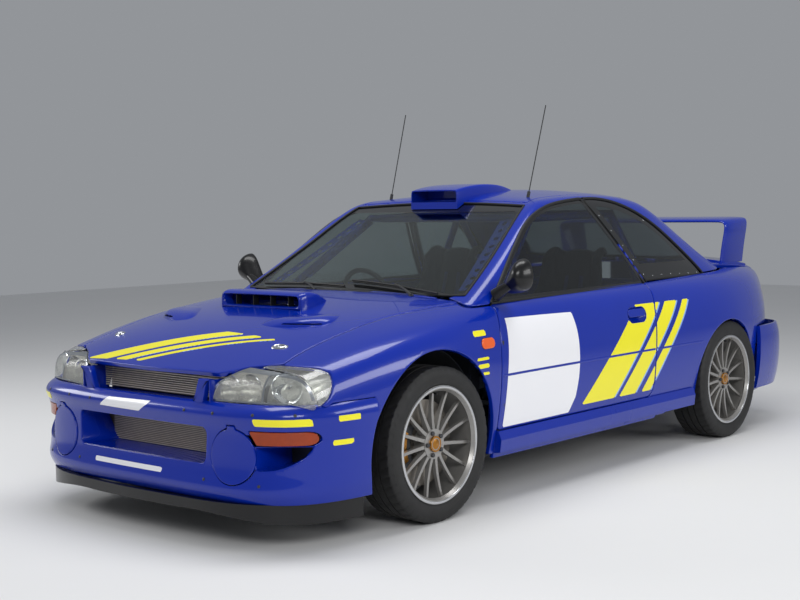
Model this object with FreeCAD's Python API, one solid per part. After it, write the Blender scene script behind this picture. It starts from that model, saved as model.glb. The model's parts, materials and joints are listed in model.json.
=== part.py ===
"""Two-door rally car, built as separate panels and assemblies.

Frame: X to the car's left, Y to the rear, Z up. The origin is on the floor, on the centre
plane, half-way along the car. Lengths are in millimetres.
"""
import FreeCAD, Part
import math
import os

os.makedirs("parts", exist_ok=True)
Vec = FreeCAD.Vector

# Overall sizes of the car
wheelbase = 2520.0
front_overhang = 885.0
rear_overhang = 935.0
half_width = 885.0
belt_height = 900.0
roof_height = 1375.0
overall_length = front_overhang + wheelbase + rear_overhang
front_axle_y = front_overhang - overall_length / 2
rear_axle_y = front_axle_y + wheelbase
overrun = 60.0

# Wall thicknesses and gaps
skin_thickness = 22.0
frame_thickness = 46.0
glass_inset = 4.0
glass_thickness = 5.0
shut_gap = 8.0
lid_gap = 6.0
seat_clearance = 0.3
sheet_thickness = 12.0
liner_wall = 5.0

# Wheels
tyre_radius = 322.0
tyre_width = 210.0
tyre_shoulder = 29.0
rim_radius = 244.0
rim_half_width = 97.5
wheel_inset = 110.0
wheel_plane_x = half_width - wheel_inset
barrel_wall = 9.0
lip_depth = 14.0
lip_wall = 15.0
hub_radius = 62.0
hub_depth = 60.0
wheel_face = 65.0
cap_radius = 33.0
cap_height = 9.0
spoke_count = 15
spoke_root_width = 15.0
spoke_tip_width = 11.0
spoke_root_depth = 32.0
spoke_tip_depth = 17.0
spoke_bow = 8.0
disc_radius = 178.0
disc_thickness = 30.0
disc_offset = 10.5
bell_radius = 77.0

# Steering and knuckles
steer_top_inset = 200.0
steer_top_x = wheel_plane_x - steer_top_inset
steer_top_z = 785.0
ball_joint_inset = 75.0
ball_joint_x = wheel_plane_x - ball_joint_inset
ball_joint_z = 190.0
bearing_clearance = 0.3
post_radius = 24.0
post_top_z = 430.0
strut_radius = 28.0
strut_low_z = 420.0
stub_radius = 42.0
stub_overlap = 60.0
eye_radius = 26.0
eye_half = 20.0
caliper_reach = 198.0
caliper_root = 105.0
caliper_half = 34.0
caliper_clearance = 6.0
caliper_near = 40.0
caliper_far = 210.0
caliper_half_height = 85.0
bracket_thickness = 14.0
bracket_front = 150.0
bracket_half_height = 26.0

# Axles
arm_radius = 12.0
arm_spread_front = 170.0
arm_spread_rear = 70.0
arm_foot_x = 354.0
cross_front = 200.0
cross_rear = 100.0
cross_half_height = 24.0
cross_post_inset = 40.0
cross_post_width = 60.0
shaft_radius = 15.0
shaft_end_inset = 160.0
carrier_width = 60.0
carrier_half_length = 60.0
carrier_drop = 120.0
carrier_rise = 90.0
lower_link_radius = 18.0
lower_link_drop = 90.0
lower_link_foot_x = 221.0
drive_radius = 16.0
drive_foot_x = 133.0
rear_caliper_half_height = 70.0
differential_half_width = 142.0
differential_half_length = 130.0
differential_drop = 110.0
subframe_half_width = 265.0
subframe_half_length = 60.0
subframe_low_drop = 115.0
subframe_top_drop = 65.0
rear_strut_inset = 301.0
rear_strut_top_z = 756.0
rear_strut_bore = 40.0

# Wheel arches and housings
front_arch_radius = 388.0
rear_arch_radius = 331.0
bumper_arch_radius = 418.0
liner_outer_inset = 23.0
liner_inner_x = 455.0
liner_reach = 500.0
liner_low_z = 440.0
tower_radius = 78.0
tower_bore_radius = 70.0
rear_liner_gap = 28.0
rear_liner_outer_inset = 80.0

# Floor, bulkhead and rails
firewall_share = .161
rear_step_share = .840
rear_floor_z = 423.0
tunnel_half_width = 150.0
tunnel_height = 160.0
rail_x = 425.0
rail_half = 30.0
rail_low_z = 378.0
rail_top_z = 477.0
beam_share = -.7145
core_post_inner_x = 266.0
core_post_outer_x = 318.0
core_post_top_z = 632.0

# Door hinges
hinge_inset = 37.0
hinge_x = half_width - hinge_inset
hinge_share = .1825
hinge_levels = (430.0, 700.0)
hinge_arm_half = 8.0
hinge_boss_radius = 9.5
hinge_pin_radius = 5.0
hinge_pocket = 80.0
hinge_pocket_half_z = 22.0
post_inner_inset = 245.0
post_outer_inset = 173.0
post_inner_x = half_width - post_inner_inset
post_outer_x = half_width - post_outer_inset

# Lamps and covers
tail_lamp_depth = 95.0
tail_lamp_low_z = 640.0
tail_lamp_top_z = 786.0
tail_lamp_inner_x = 415.0
striker_half = 45.0
cover_x = 532.0
cover_z = 360.0
cover_radius = 106.0
cover_proud = 8.0
cover_tab_half = 19.0
cover_tab_height = 13.0

# Coolers and the splitter
core_front_share = -.790
fin_depth = 12.0
fin_thickness = 2.4
upper_fin_count = 14
lower_fin_count = 18
upright_depth = 24.0
lip_low_z = 100.0
tray_low_z = 142.0

# Exhaust
pipe_x = -487.0
pipe_radius = 42.0
pipe_wall = 4.0
pipe_clearance = 8.0
pipe_front_z = 306.0
pipe_end_z = 296.0
hanger_half = 8.0

# Lower body: stations along the car, each a section from the sill over the top. A station
# below 0 is a share of the front overhang ahead of the front axle, one above 1 is a share
# of the rear overhang behind the rear axle, and one between is a share of the wheelbase.
# Each pole is a share of the half width and a share of the belt height.
hull_shares = (
    (-1.02, ((.860, .222), (.890, .340), (.900, .500), (.890, .590), (.850, .640),
             (.760, .662), (.560, .674), (.300, .682), (0, .685))),
    (-0.80, ((.880, .222), (.915, .360), (.930, .520), (.925, .640), (.890, .722),
             (.790, .752), (.580, .774), (.310, .790), (0, .798))),
    (-0.55, ((.905, .222), (.945, .380), (.965, .560), (.965, .690), (.925, .785),
             (.810, .820), (.600, .858), (.320, .885), (0, .895))),
    (-0.28, ((.925, .222), (.965, .400), (.995, .600), (.992, .740), (.945, .845),
             (.830, .882), (.620, .920), (.330, .943), (0, .950))),
    (0.00, ((.930, .222), (.970, .420), (1.01, .630), (1.003, .775), (.950, .880),
            (.845, .920), (.640, .960), (.340, .983), (0, .990))),
    (0.08, ((.930, .222), (.970, .420), (1.00, .620), (.995, .780), (.948, .895),
            (.855, .945), (.655, .982), (.345, 1.005), (0, 1.012))),
    (0.17, ((.935, .222), (.965, .400), (.975, .610), (.968, .780), (.930, .910),
            (.865, .968), (.670, 1.000), (.350, 1.020), (0, 1.028))),
    (0.34, ((.940, .222), (.962, .390), (.972, .610), (.962, .790), (.930, .915),
            (.870, .978), (.680, 1.005), (.355, 1.020), (0, 1.030))),
    (0.52, ((.940, .222), (.964, .390), (.975, .610), (.965, .790), (.932, .920),
            (.870, .985), (.680, 1.010), (.355, 1.020), (0, 1.030))),
    (0.70, ((.940, .222), (.966, .395), (.978, .610), (.970, .800), (.935, .930),
            (.868, .995), (.680, 1.018), (.355, 1.030), (0, 1.035))),
    (0.84, ((.935, .222), (.970, .410), (.990, .620), (.985, .800), (.940, .940),
            (.862, 1.005), (.680, 1.030), (.355, 1.045), (0, 1.050))),
    (0.93, ((.930, .222), (.972, .420), (1.005, .630), (1.00, .790), (.945, .942),
            (.855, 1.010), (.675, 1.040), (.355, 1.055), (0, 1.060))),
    (1.05, ((.925, .222), (.970, .420), (1.008, .630), (1.003, .785), (.942, .942),
            (.845, 1.015), (.670, 1.048), (.350, 1.062), (0, 1.067))),
    (1.25, ((.920, .222), (.960, .410), (.990, .620), (.985, .785), (.925, .942),
            (.828, 1.018), (.660, 1.052), (.345, 1.066), (0, 1.071))),
    (1.50, ((.895, .222), (.925, .400), (.950, .610), (.945, .780), (.890, .935),
            (.795, 1.015), (.640, 1.052), (.340, 1.068), (0, 1.073))),
    (1.72, ((.835, .222), (.855, .390), (.870, .600), (.865, .770), (.820, .925),
            (.745, 1.008), (.610, 1.046), (.335, 1.064), (0, 1.070))),
    (1.90, ((.745, .222), (.760, .380), (.765, .590), (.760, .760), (.730, .912),
            (.680, .995), (.575, 1.035), (.330, 1.056), (0, 1.064))),
)

# Cabin top: stations as above, poles as shares of the half width and of the roof height.
# It starts and ends under the lower body, where the two forms cross.
canopy_shares = (
    (0.020, ((.885, .545), (.885, .552), (.880, .557), (.872, .560), (.855, .562),
             (.800, .560), (.450, .552), (.220, .547), (0, .545))),
    (0.079, ((.885, .545), (.880, .560), (.872, .566), (.862, .571), (.835, .575),
             (.785, .574), (.450, .592), (.220, .600), (0, .603))),
    (0.133, ((.880, .545), (.876, .585), (.866, .603), (.852, .616), (.825, .628),
             (.775, .627), (.440, .645), (.220, .653), (0, .656))),
    (0.179, ((.878, .545), (.872, .610), (.856, .640), (.840, .660), (.812, .674),
             (.765, .674), (.440, .690), (.220, .697), (0, .700))),
    (0.238, ((.876, .545), (.868, .625), (.850, .665), (.826, .708), (.790, .735),
             (.735, .738), (.420, .751), (.210, .757), (0, .759))),
    (0.310, ((.875, .545), (.866, .630), (.826, .715), (.775, .797), (.742, .818),
             (.690, .816), (.400, .824), (.200, .829), (0, .830))),
    (0.377, ((.875, .545), (.866, .632), (.810, .750), (.730, .875), (.700, .902),
             (.648, .897), (.380, .896), (.190, .896), (0, .897))),
    (0.421, ((.875, .545), (.866, .633), (.800, .765), (.710, .910), (.680, .945),
             (.620, .944), (.370, .944), (.185, .944), (0, .945))),
    (0.452, ((.875, .545), (.866, .633), (.795, .772), (.700, .925), (.668, .961),
             (.605, .963), (.370, .968), (.185, .970), (0, .971))),
    (0.500, ((.875, .545), (.866, .633), (.792, .776), (.692, .935), (.655, .966),
             (.595, .970), (.370, .980), (.185, .986), (0, .988))),
    (0.575, ((.875, .545), (.866, .633), (.790, .780), (.686, .942), (.648, .973),
             (.585, .978), (.365, .990), (.180, .998), (0, 1.001))),
    (0.675, ((.875, .545), (.864, .634), (.790, .780), (.686, .942), (.646, .974),
             (.583, .980), (.360, .993), (.180, 1.002), (0, 1.005))),
    (0.754, ((.875, .545), (.862, .635), (.790, .776), (.690, .930), (.650, .964),
             (.585, .974), (.360, .990), (.180, .999), (0, 1.002))),
    (0.806, ((.872, .545), (.858, .637), (.792, .768), (.698, .910), (.656, .948),
             (.590, .962), (.360, .982), (.180, .991), (0, .994))),
    (0.841, ((.870, .545), (.855, .638), (.795, .760), (.706, .890), (.662, .930),
             (.597, .945), (.360, .966), (.180, .974), (0, .977))),
    (0.893, ((.866, .545), (.850, .640), (.798, .742), (.722, .845), (.678, .883),
             (.612, .897), (.365, .914), (.183, .922), (0, .925))),
    (0.952, ((.860, .545), (.845, .642), (.802, .715), (.745, .785), (.702, .818),
             (.636, .833), (.380, .850), (.190, .858), (0, .861))),
    (1.032, ((.852, .545), (.838, .643), (.804, .690), (.765, .730), (.726, .755),
             (.665, .768), (.400, .787), (.200, .796), (0, .800))),
    (1.193, ((.844, .545), (.830, .640), (.806, .660), (.780, .680), (.748, .695),
             (.695, .706), (.420, .726), (.210, .736), (0, .740))),
    (1.353, ((.836, .545), (.822, .622), (.806, .632), (.786, .640), (.758, .646),
             (.710, .652), (.430, .668), (.215, .676), (0, .680))),
    (1.513, ((.828, .545), (.815, .590), (.800, .594), (.785, .597), (.760, .600),
             (.715, .604), (.430, .612), (.215, .617), (0, .620))),
)

# Front bumper: each level is a share of the belt height, the share of the half width that
# its edge at the arch reaches and the share of the front overhang that its front reaches.
front_level_shares = (
    (.205, .965, .958),
    (.240, .975, .982),
    (.275, .982, .984),
    (.310, .985, .966),
    (.380, .990, .960),
    (.450, .994, .958),
    (.510, .996, .958),
    (.545, .998, .974),
    (.570, .998, .986),
    (.595, .994, .978),
    (.612, .986, .954),
    (.622, .978, .932),
)

# Poles of one level from the arch edge to the centre, as shares of that edge and front. The
# first stays at one place along the car, where the bumper meets the arch.
front_pole_x_shares = (1, .995, .96, .864, .66, .342, 0)
front_pole_y_shares = (.570, .744, .896, .977, .996, 1)
arch_edge_share = .430

# Headlamp glass: level as a share of the belt height and how far back it leans there, as a
# share of its poles ahead of the axle.
lamp_level_shares = (
    (.560, 1.0),
    (.622, 1.0),
    (.680, .992),
    (.720, .965),
    (.750, .930),
    (.775, .880),
    (.810, .800),
)
lamp_pole_x_shares = (1, .995, .965, .860, .700, .420, 0)
lamp_pole_y_shares = (.600, .735, .815, .872, .920, .935)

# Rear bumper: the same, as shares of the rear overhang behind the axle.
rear_bumper_shares = (
    (0.250, ((.950, .420), (.945, .600), (.910, .790), (.800, .920), (.600, .960),
             (.300, .968), (0, .970))),
    (0.340, ((.975, .420), (.968, .600), (.935, .800), (.825, .945), (.620, .985),
             (.300, .995), (0, .998))),
    (0.480, ((.985, .420), (.978, .600), (.942, .805), (.832, .952), (.625, .990),
             (.300, 1.002), (0, 1.0045))),
    (0.600, ((.985, .420), (.978, .600), (.942, .800), (.830, .945), (.620, .982),
             (.300, .992), (0, .995))),
    (0.650, ((.975, .420), (.966, .600), (.925, .790), (.810, .925), (.605, .960),
             (.300, .970), (0, .973))),
)


def station_y(share):
    """Place along the car of a station share."""
    if share < 0:
        return front_axle_y + share * front_overhang
    if share > 1:
        return rear_axle_y + (share - 1) * rear_overhang
    return front_axle_y + share * wheelbase


def full_section(half):
    """A half section with its mirror image, the centre point once."""
    return half + [(-a, b) for a, b in half[-2::-1]]


def inset_section(points, inset):
    """Poles moved inwards by inset, square to the line between their neighbours."""
    moved = []
    last = len(points) - 1
    for index, (a, b) in enumerate(points):
        before = points[max(index - 1, 0)]
        after = points[min(index + 1, last)]
        run_a = after[0] - before[0]
        run_b = after[1] - before[1]
        length = math.hypot(run_a, run_b)
        moved.append((a - inset * run_b / length, b + inset * run_a / length))
    return moved


def cross_net(table, height, inset, through):
    """Rows of poles of a form with sections across the car.

    Where through is true, the feet and both ends run past the outer form, so that a cut
    leaves it open there.
    """
    rows = []
    last = len(table) - 1
    for index, (station, half) in enumerate(table):
        sized = [(x_share * half_width, z_share * height) for x_share, z_share in half]
        section = inset_section(full_section(sized), inset)
        y = station_y(station)
        if through:
            foot = sized[0][1] - overrun
            section[0] = (section[0][0], foot)
            section[-1] = (section[-1][0], foot)
            if index == 0:
                y -= overrun
            if index == last:
                y += overrun
        rows.append([Vec(a, y, b) for a, b in section])
    return rows


def level_net(table, axle_y, overhang, forward, inset, through):
    """Rows of poles of a form with level sections that bend round an end of the car."""
    rows = []
    last = len(table) - 1
    for index, (level, half) in enumerate(table):
        sized = [(x_share * half_width, y_share * overhang) for x_share, y_share in half]
        section = inset_section(full_section(sized), inset)
        z = level * belt_height
        if through:
            foot = sized[0][1] - overrun
            section[0] = (section[0][0], foot)
            section[-1] = (section[-1][0], foot)
            if index == 0:
                z -= overrun
            if index == last:
                z += overrun
        rows.append([Vec(a, axle_y + forward * b, z) for a, b in section])
    return rows


def net_face(rows):
    """Clamped cubic surface over a net of poles."""
    count_u = len(rows)
    count_v = len(rows[0])
    knots_u = [index / (count_u - 3) for index in range(count_u - 2)]
    knots_v = [index / (count_v - 3) for index in range(count_v - 2)]
    mults_u = [4] + [1] * (count_u - 4) + [4]
    mults_v = [4] + [1] * (count_v - 4) + [4]
    surface = Part.BSplineSurface()
    surface.buildFromPolesMultsKnots(rows, mults_u, mults_v, knots_u, knots_v,
                                     False, False, 3, 3)
    return surface.toShape()


def spline_edge(poles):
    """Clamped cubic curve over a row of poles."""
    count = len(poles)
    knots = [index / (count - 3) for index in range(count - 2)]
    mults = [4] + [1] * (count - 4) + [4]
    curve = Part.BSplineCurve()
    curve.buildFromPolesMultsKnots(poles, mults, knots, False, 3)
    return curve.toShape()


def net_solid(rows):
    """Solid under a net: its surface, its two end faces and the flat between its feet."""
    near = Part.makeLine(rows[0][0], rows[0][-1])
    far = Part.makeLine(rows[-1][0], rows[-1][-1])
    left_foot = spline_edge([row[0] for row in rows])
    right_foot = spline_edge([row[-1] for row in rows])
    faces = [net_face(rows)]
    faces.append(Part.Face(Part.Wire([spline_edge(rows[0]), near])))
    faces.append(Part.Face(Part.Wire([spline_edge(rows[-1]), far])))
    faces.append(Part.Face(Part.Wire([left_foot, far, right_foot, near])))
    shell = Part.Shell(faces)
    shell.sewShape()
    solid = Part.Solid(Part.Shell(shell.Faces))
    if solid.Volume < 0:
        solid.reverse()
    return solid


def closed_wire(segments):
    """Closed wire from lists of points: two points are a line, more are a smooth curve.

    Each list starts where the one before it ended. A straight line closes the outline
    where its last point isn't its first.
    """
    start = segments[0][0]
    runs = list(segments)
    if (runs[-1][-1] - start).Length > 0:
        runs.append([start])
    edges = []
    here = None
    for points in runs:
        run = points if here is None else [here] + points
        here = run[-1]
        if len(run) == 1:
            continue
        if len(run) == 2:
            edges.append(Part.makeLine(run[0], run[1]))
        else:
            curve = Part.BSplineCurve()
            curve.interpolate(run)
            edges.append(curve.toShape())
    return Part.Wire(edges)


def shrink(segments, gap):
    """Outline points drawn in towards the middle of their box by gap on every side."""
    points = [point for run in segments for point in run]
    low_a = min(point[0] for point in points)
    high_a = max(point[0] for point in points)
    low_b = min(point[1] for point in points)
    high_b = max(point[1] for point in points)
    mid_a = (low_a + high_a) / 2
    mid_b = (low_b + high_b) / 2
    scale_a = 1 - 2 * gap / (high_a - low_a)
    scale_b = 1 - 2 * gap / (high_b - low_b)
    return [[(mid_a + (a - mid_a) * scale_a, mid_b + (b - mid_b) * scale_b)
             for a, b in run] for run in segments]


def side_points(share_runs, height):
    """Side-view points from station shares and height shares."""
    return [[(station_y(s), z_share * height) for s, z_share in run] for run in share_runs]


def plan_points(share_runs):
    """Plan-view points from half-width shares and station shares."""
    return [[(x_share * half_width, station_y(s)) for x_share, s in run]
            for run in share_runs]


def side_prism(segments, x_low, x_high):
    """Side-view outline carried across the car from x_low to x_high."""
    wire = closed_wire([[Vec(x_low, y, z) for y, z in run] for run in segments])
    return Part.Face(wire).extrude(Vec(x_high - x_low, 0, 0))


def drawn_in(prism, gap):
    """A side-view prism with every edge of its outline moved inwards by gap."""
    result = prism
    for step in range(8):
        moved = prism.copy()
        angle = math.radians(45 * step)
        moved.translate(Vec(0, gap * math.cos(angle), gap * math.sin(angle)))
        result = result.common(moved)
    return result


def plan_prism(segments, z_low, z_high):
    """Plan-view outline carried up from z_low to z_high."""
    wire = closed_wire([[Vec(x, y, z_low) for x, y in run] for run in segments])
    return Part.Face(wire).extrude(Vec(0, 0, z_high - z_low))


def block(x_low, x_high, y_low, y_high, z_low, z_high):
    """Box between two corners."""
    return Part.makeBox(x_high - x_low, y_high - y_low, z_high - z_low,
                        Vec(x_low, y_low, z_low))


def rod(start, end, radius):
    """Round bar from start to end."""
    run = end - start
    return Part.makeCylinder(radius, run.Length, start, run)


def mirrored(shape):
    """The same shape on the other side of the centre plane."""
    return shape.mirror(Vec(0, 0, 0), Vec(1, 0, 0))


def pair(shape):
    """A shape and its mirror image, as two solids of one piece."""
    return Part.Compound(shape.Solids + mirrored(shape).Solids)


def largest(shape):
    """The largest solid of a shape."""
    return max(shape.Solids, key=lambda solid: solid.Volume)


def save(node, shape):
    """Write one piece."""
    solids = shape.Solids
    bad = [solid for solid in solids if not solid.isValid()]
    print(node, len(solids), "solids", round(shape.Volume / 1e6, 2), "litres",
          "INVALID" if bad else "")
    shape.exportStep("parts/" + node + ".step")


def level_table(levels, x_shares, y_shares):
    """Table for a level net from its levels and the poles that they share."""
    table = []
    for level, edge, front in levels:
        poles = [(edge * x_shares[0], arch_edge_share)]
        for x_share, y_share in zip(x_shares[1:], y_shares):
            poles.append((edge * x_share, front * y_share))
        table.append((level, poles))
    return table


def front_points(share_runs):
    """Front-view points from half-width shares and belt-height shares."""
    return [[(x_share * half_width, z_share * belt_height) for x_share, z_share in run]
            for run in share_runs]


def front_prism(segments, y_low, y_high):
    """Front-view outline carried along the car from y_low to y_high."""
    wire = closed_wire([[Vec(x, y_low, z) for x, z in run] for run in segments])
    return Part.Face(wire).extrude(Vec(0, y_high - y_low, 0))


def hood_net(stations, section, foot, inset):
    """Rows of poles of a raised form with a flat foot.

    Args:
        stations: place along the car, centre across it, half width and top height of each.
        section: shares of the half width and of the height over the foot.
        foot: foot height at each station.
        inset: how far the form is drawn in at its sides and top.
    """
    rows = []
    for (y, centre, half, top), low_z in zip(stations, foot):
        rise = top - inset - low_z
        half_section = [((half - inset) * a, low_z + rise * b) for a, b in section]
        rows.append([Vec(centre + a, y, z) for a, z in full_section(half_section)])
    return rows


def wrapped_solid(upper, lower):
    """Solid between two nets that share their first and last rows."""
    faces = [net_face(upper), net_face(lower)]
    for side in (0, -1):
        rim = [spline_edge([row[side] for row in upper]),
               spline_edge([row[side] for row in lower])]
        faces.append(Part.Face(Part.Wire(rim)))
    shell = Part.Shell(faces)
    shell.sewShape()
    solid = Part.Solid(Part.Shell(shell.Faces))
    if solid.Volume < 0:
        solid.reverse()
    return solid


# Body forms
hull = net_solid(cross_net(hull_shares, belt_height, 0, False))
hull_skin_void = net_solid(cross_net(hull_shares, belt_height, skin_thickness, True))
hull_frame_void = net_solid(cross_net(hull_shares, belt_height, frame_thickness, True))
canopy = net_solid(cross_net(canopy_shares, roof_height, 0, False))
canopy_skin_void = net_solid(cross_net(canopy_shares, roof_height, skin_thickness, True))
canopy_frame_void = net_solid(cross_net(canopy_shares, roof_height, frame_thickness, True))
glass_outer = net_solid(cross_net(canopy_shares, roof_height, glass_inset, True))
glass_inner = net_solid(cross_net(canopy_shares, roof_height,
                                  glass_inset + glass_thickness, True))
body_form = hull.fuse(canopy)
thin_wall = body_form.cut(hull_skin_void.fuse(canopy_skin_void))
thick_wall = body_form.cut(hull_frame_void.fuse(canopy_frame_void))
glass_wall = glass_outer.cut(glass_inner)

front_table = level_table(front_level_shares, front_pole_x_shares, front_pole_y_shares)
lamp_levels = [(level, 1, lean) for level, lean in lamp_level_shares]
lamp_table = level_table(lamp_levels, lamp_pole_x_shares, lamp_pole_y_shares)


def front_net(table, inset, through):
    """Rows of poles of a form that bends round the nose."""
    return level_net(table, front_axle_y, front_overhang, -1, inset, through)


def rear_net(inset, through):
    """Rows of poles of the form that bends round the tail."""
    return level_net(rear_bumper_shares, rear_axle_y, rear_overhang, 1, inset, through)


front_form = net_solid(front_net(front_table, 0, False))
front_void = net_solid(front_net(front_table, skin_thickness, True))
lamp_form = net_solid(front_net(lamp_table, 0, False))
rear_form = net_solid(rear_net(0, False))
rear_void = net_solid(rear_net(skin_thickness, True))

# Outlines. Side views are station shares and belt or roof height shares, plans are
# half-width shares and station shares, front views are half-width and belt height shares.
door_shares = (
    ((.196, .962), (.184, .877), (.173, .602), (.167, .369)),
    ((.172, .352),),
    ((.636, .350),),
    ((.682, .372), (.692, .444)),
    ((.6955, .667), (.699, .844)),
    ((.714, .992),),
    ((.450, .985), (.196, .962)),
)
door_glass_shares = (
    ((.196, .631), (.2615, .731), (.329, .8255), (.387, .8945), (.450, .935),
     (.510, .952), (.589, .9635)),
    ((.724, .640),),
    ((.450, .634), (.196, .631)),
)
quarter_glass_shares = (
    ((.597, .9635), (.640, .964), (.690, .955), (.740, .934), (.800, .893),
     (.855, .838), (.915, .762), (.965, .690), (.985, .656)),
    ((.727, .655),),
)
windscreen_shares = (
    ((-.777, .1615), (-.400, .141), (0, .133), (.400, .141), (.777, .1615)),
    ((.723, .259), (.678, .3266), (.644, .378), (.612, .420)),
    ((.300, .4295), (0, .4315), (-.300, .4295), (-.612, .420)),
    ((-.644, .378), (-.678, .3266), (-.723, .259), (-.777, .1615)),
)
roof_shares = (
    ((-.600, .433), (-.300, .4415), (0, .4435), (.300, .4415), (.600, .433)),
    ((.585, .500), (.573, .600), (.562, .700), (.545, .798)),
    ((.300, .791), (0, .789), (-.300, .791), (-.545, .798)),
    ((-.562, .700), (-.573, .600), (-.585, .500), (-.600, .433)),
)
rear_window_shares = (
    ((-.530, .812), (-.300, .804), (0, .802), (.300, .804), (.530, .812)),
    ((.562, .930), (.612, 1.050), (.665, 1.150)),
    ((.400, 1.240), (0, 1.262), (-.400, 1.240), (-.665, 1.150)),
    ((-.612, 1.050), (-.562, .930), (-.530, .812)),
)
bonnet_shares = (
    ((-.778, .148), (-.400, .122), (0, .113), (.400, .122), (.778, .148)),
    ((.757, .095), (.730, .010), (.717, -.110), (.714, -.280), (.709, -.450),
     (.704, -.620), (.712, -.727)),
    ((.640, -.772), (.570, -.812), (.520, -.852), (.470, -.884)),
    ((.230, -.902), (0, -.910), (-.230, -.902), (-.470, -.884)),
    ((-.520, -.852), (-.570, -.812), (-.640, -.772), (-.712, -.727)),
    ((-.704, -.620), (-.709, -.450), (-.714, -.280), (-.717, -.110), (-.730, .010),
     (-.757, .095), (-.778, .148)),
)
boot_lid_shares = (
    ((-.672, 1.320), (-.300, 1.350), (0, 1.355), (.300, 1.350), (.672, 1.320)),
    ((.690, 1.500), (.690, 1.700), (.660, 1.960)),
    ((-.660, 1.960),),
    ((-.690, 1.700), (-.690, 1.500), (-.672, 1.320)),
)
wing_shares = (
    ((.196, .962), (.184, .877), (.173, .602), (.167, .369), (.164, .240)),
    ((-.600, .240),),
    ((-.720, .600),),
    ((-.760, 1.050),),
    ((.196, 1.050),),
)
headlamp_plan_shares = (
    ((.470, -.884), (.520, -.852), (.570, -.812), (.640, -.772), (.712, -.737)),
    ((.764, -.722), (.823, -.694), (.872, -.663), (.906, -.642)),
    ((.950, -.634), (1.100, -.640)),
    ((1.100, -1.100),),
    ((.380, -1.100),),
    ((.380, -.950),),
)
headlamp_front_shares = (
    ((.420, .580), (.424, .618), (.433, .648), (.448, .692), (.484, .728), (.545, .758),
     (.640, .785)),
    ((.640, .950),),
    ((1.200, .950),),
    ((1.200, .580),),
)
headlamp_side_shares = (
    ((-1.200, .600), (-.760, .600)),
    ((-.715, .626), (-.680, .652), (-.658, .690), (-.646, .735), (-.632, .790)),
    ((-.632, .950),),
    ((-1.200, .950),),
)
intake_shares = (
    ((-.418, .513), (.418, .513)),
    ((.436, .511), (.447, .502), (.451, .486)),
    ((.446, .392),),
    ((.442, .372), (.432, .360), (.414, .356)),
    ((-.414, .356),),
    ((-.432, .360), (-.442, .372), (-.446, .392)),
    ((-.451, .486),),
    ((-.447, .502), (-.436, .511), (-.418, .513)),
)
duct_shares = (
    ((.706, .444), (.955, .444)),
    ((.948, .418), (.925, .390), (.880, .364), (.820, .346), (.760, .340), (.724, .342)),
    ((.710, .350), (.704, .364), (.706, .444)),
)
indicator_shares = (
    ((.664, .528), (.958, .528)),
    ((.966, .521), (.970, .508), (.969, .480)),
    ((.964, .462), (.955, .452), (.940, .449)),
    ((.698, .449),),
)
upright_shares = (
    ((.338, .599), (.409, .599)),
    ((.414, .618), (.423, .648), (.436, .690), (.458, .716)),
    ((.392, .716),),
    ((.376, .680), (.362, .640), (.338, .599)),
)
upper_core_shares = (
    ((-.384, .606), (-.384, .718)),
    ((.384, .718),),
    ((.384, .606),),
)
lower_core_shares = (
    ((-.545, .480), (.545, .480)),
    ((.355, .335),),
    ((-.355, .335),),
)
lip_shares = (
    ((-1.200, .108), (-.960, .108)),
    ((-.900, .110), (-.760, .126), (-.560, .150), (-.300, .158)),
    ((.300, .158),),
    ((.560, .150), (.760, .126), (.900, .110), (.960, .108)),
    ((1.200, .108),),
    ((1.200, -.100),),
    ((-1.200, -.100),),
)
skirt_shares = (
    ((.900, .352), (.968, .352)),
    ((.984, .310),),
    ((.976, .250),),
    ((.900, .238),),
)
splitter_shares = (
    ((-.930, .470), (-.900, .640), (-.800, .850), (-.600, .955), (-.300, .990), (0, 1.0),
     (.300, .990), (.600, .955), (.800, .850), (.900, .640), (.930, .470)),
)

door_side = side_points(door_shares, belt_height)
door_glass_side = side_points(door_glass_shares, roof_height)
quarter_side = side_points(quarter_glass_shares, roof_height)
windscreen_plan = plan_points(windscreen_shares)
roof_plan = plan_points(roof_shares)
rear_window_plan = plan_points(rear_window_shares)
bonnet_plan = plan_points(bonnet_shares)
boot_lid_plan = plan_points(boot_lid_shares)
wing_side = side_points(wing_shares, belt_height)

# Heights and widths that several pieces share
high = roof_height + overrun
low = -overrun
wide = half_width + overrun
cowl_share = 0.90
cowl_z = cowl_share * belt_height
floor_z = hull_shares[0][1][0][1] * belt_height
floor_top_z = floor_z + sheet_thickness
rear_floor_top_z = rear_floor_z + sheet_thickness
lamp_low_z = front_level_shares[-1][0] * belt_height
firewall_y = station_y(firewall_share)
rear_step_y = station_y(rear_step_share)
hinge_y = station_y(hinge_share)
beam_y = station_y(beam_share)
core_front_y = station_y(core_front_share)
ahead_y = station_y(-1) - overrun * 3
tail_y = station_y(hull_shares[-1][0])


def axle_cylinder(radius, y, x_low, x_high):
    """Cylinder about a wheel's axle line."""
    return Part.makeCylinder(radius, x_high - x_low, Vec(x_low, y, tyre_radius),
                             Vec(1, 0, 0))


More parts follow.
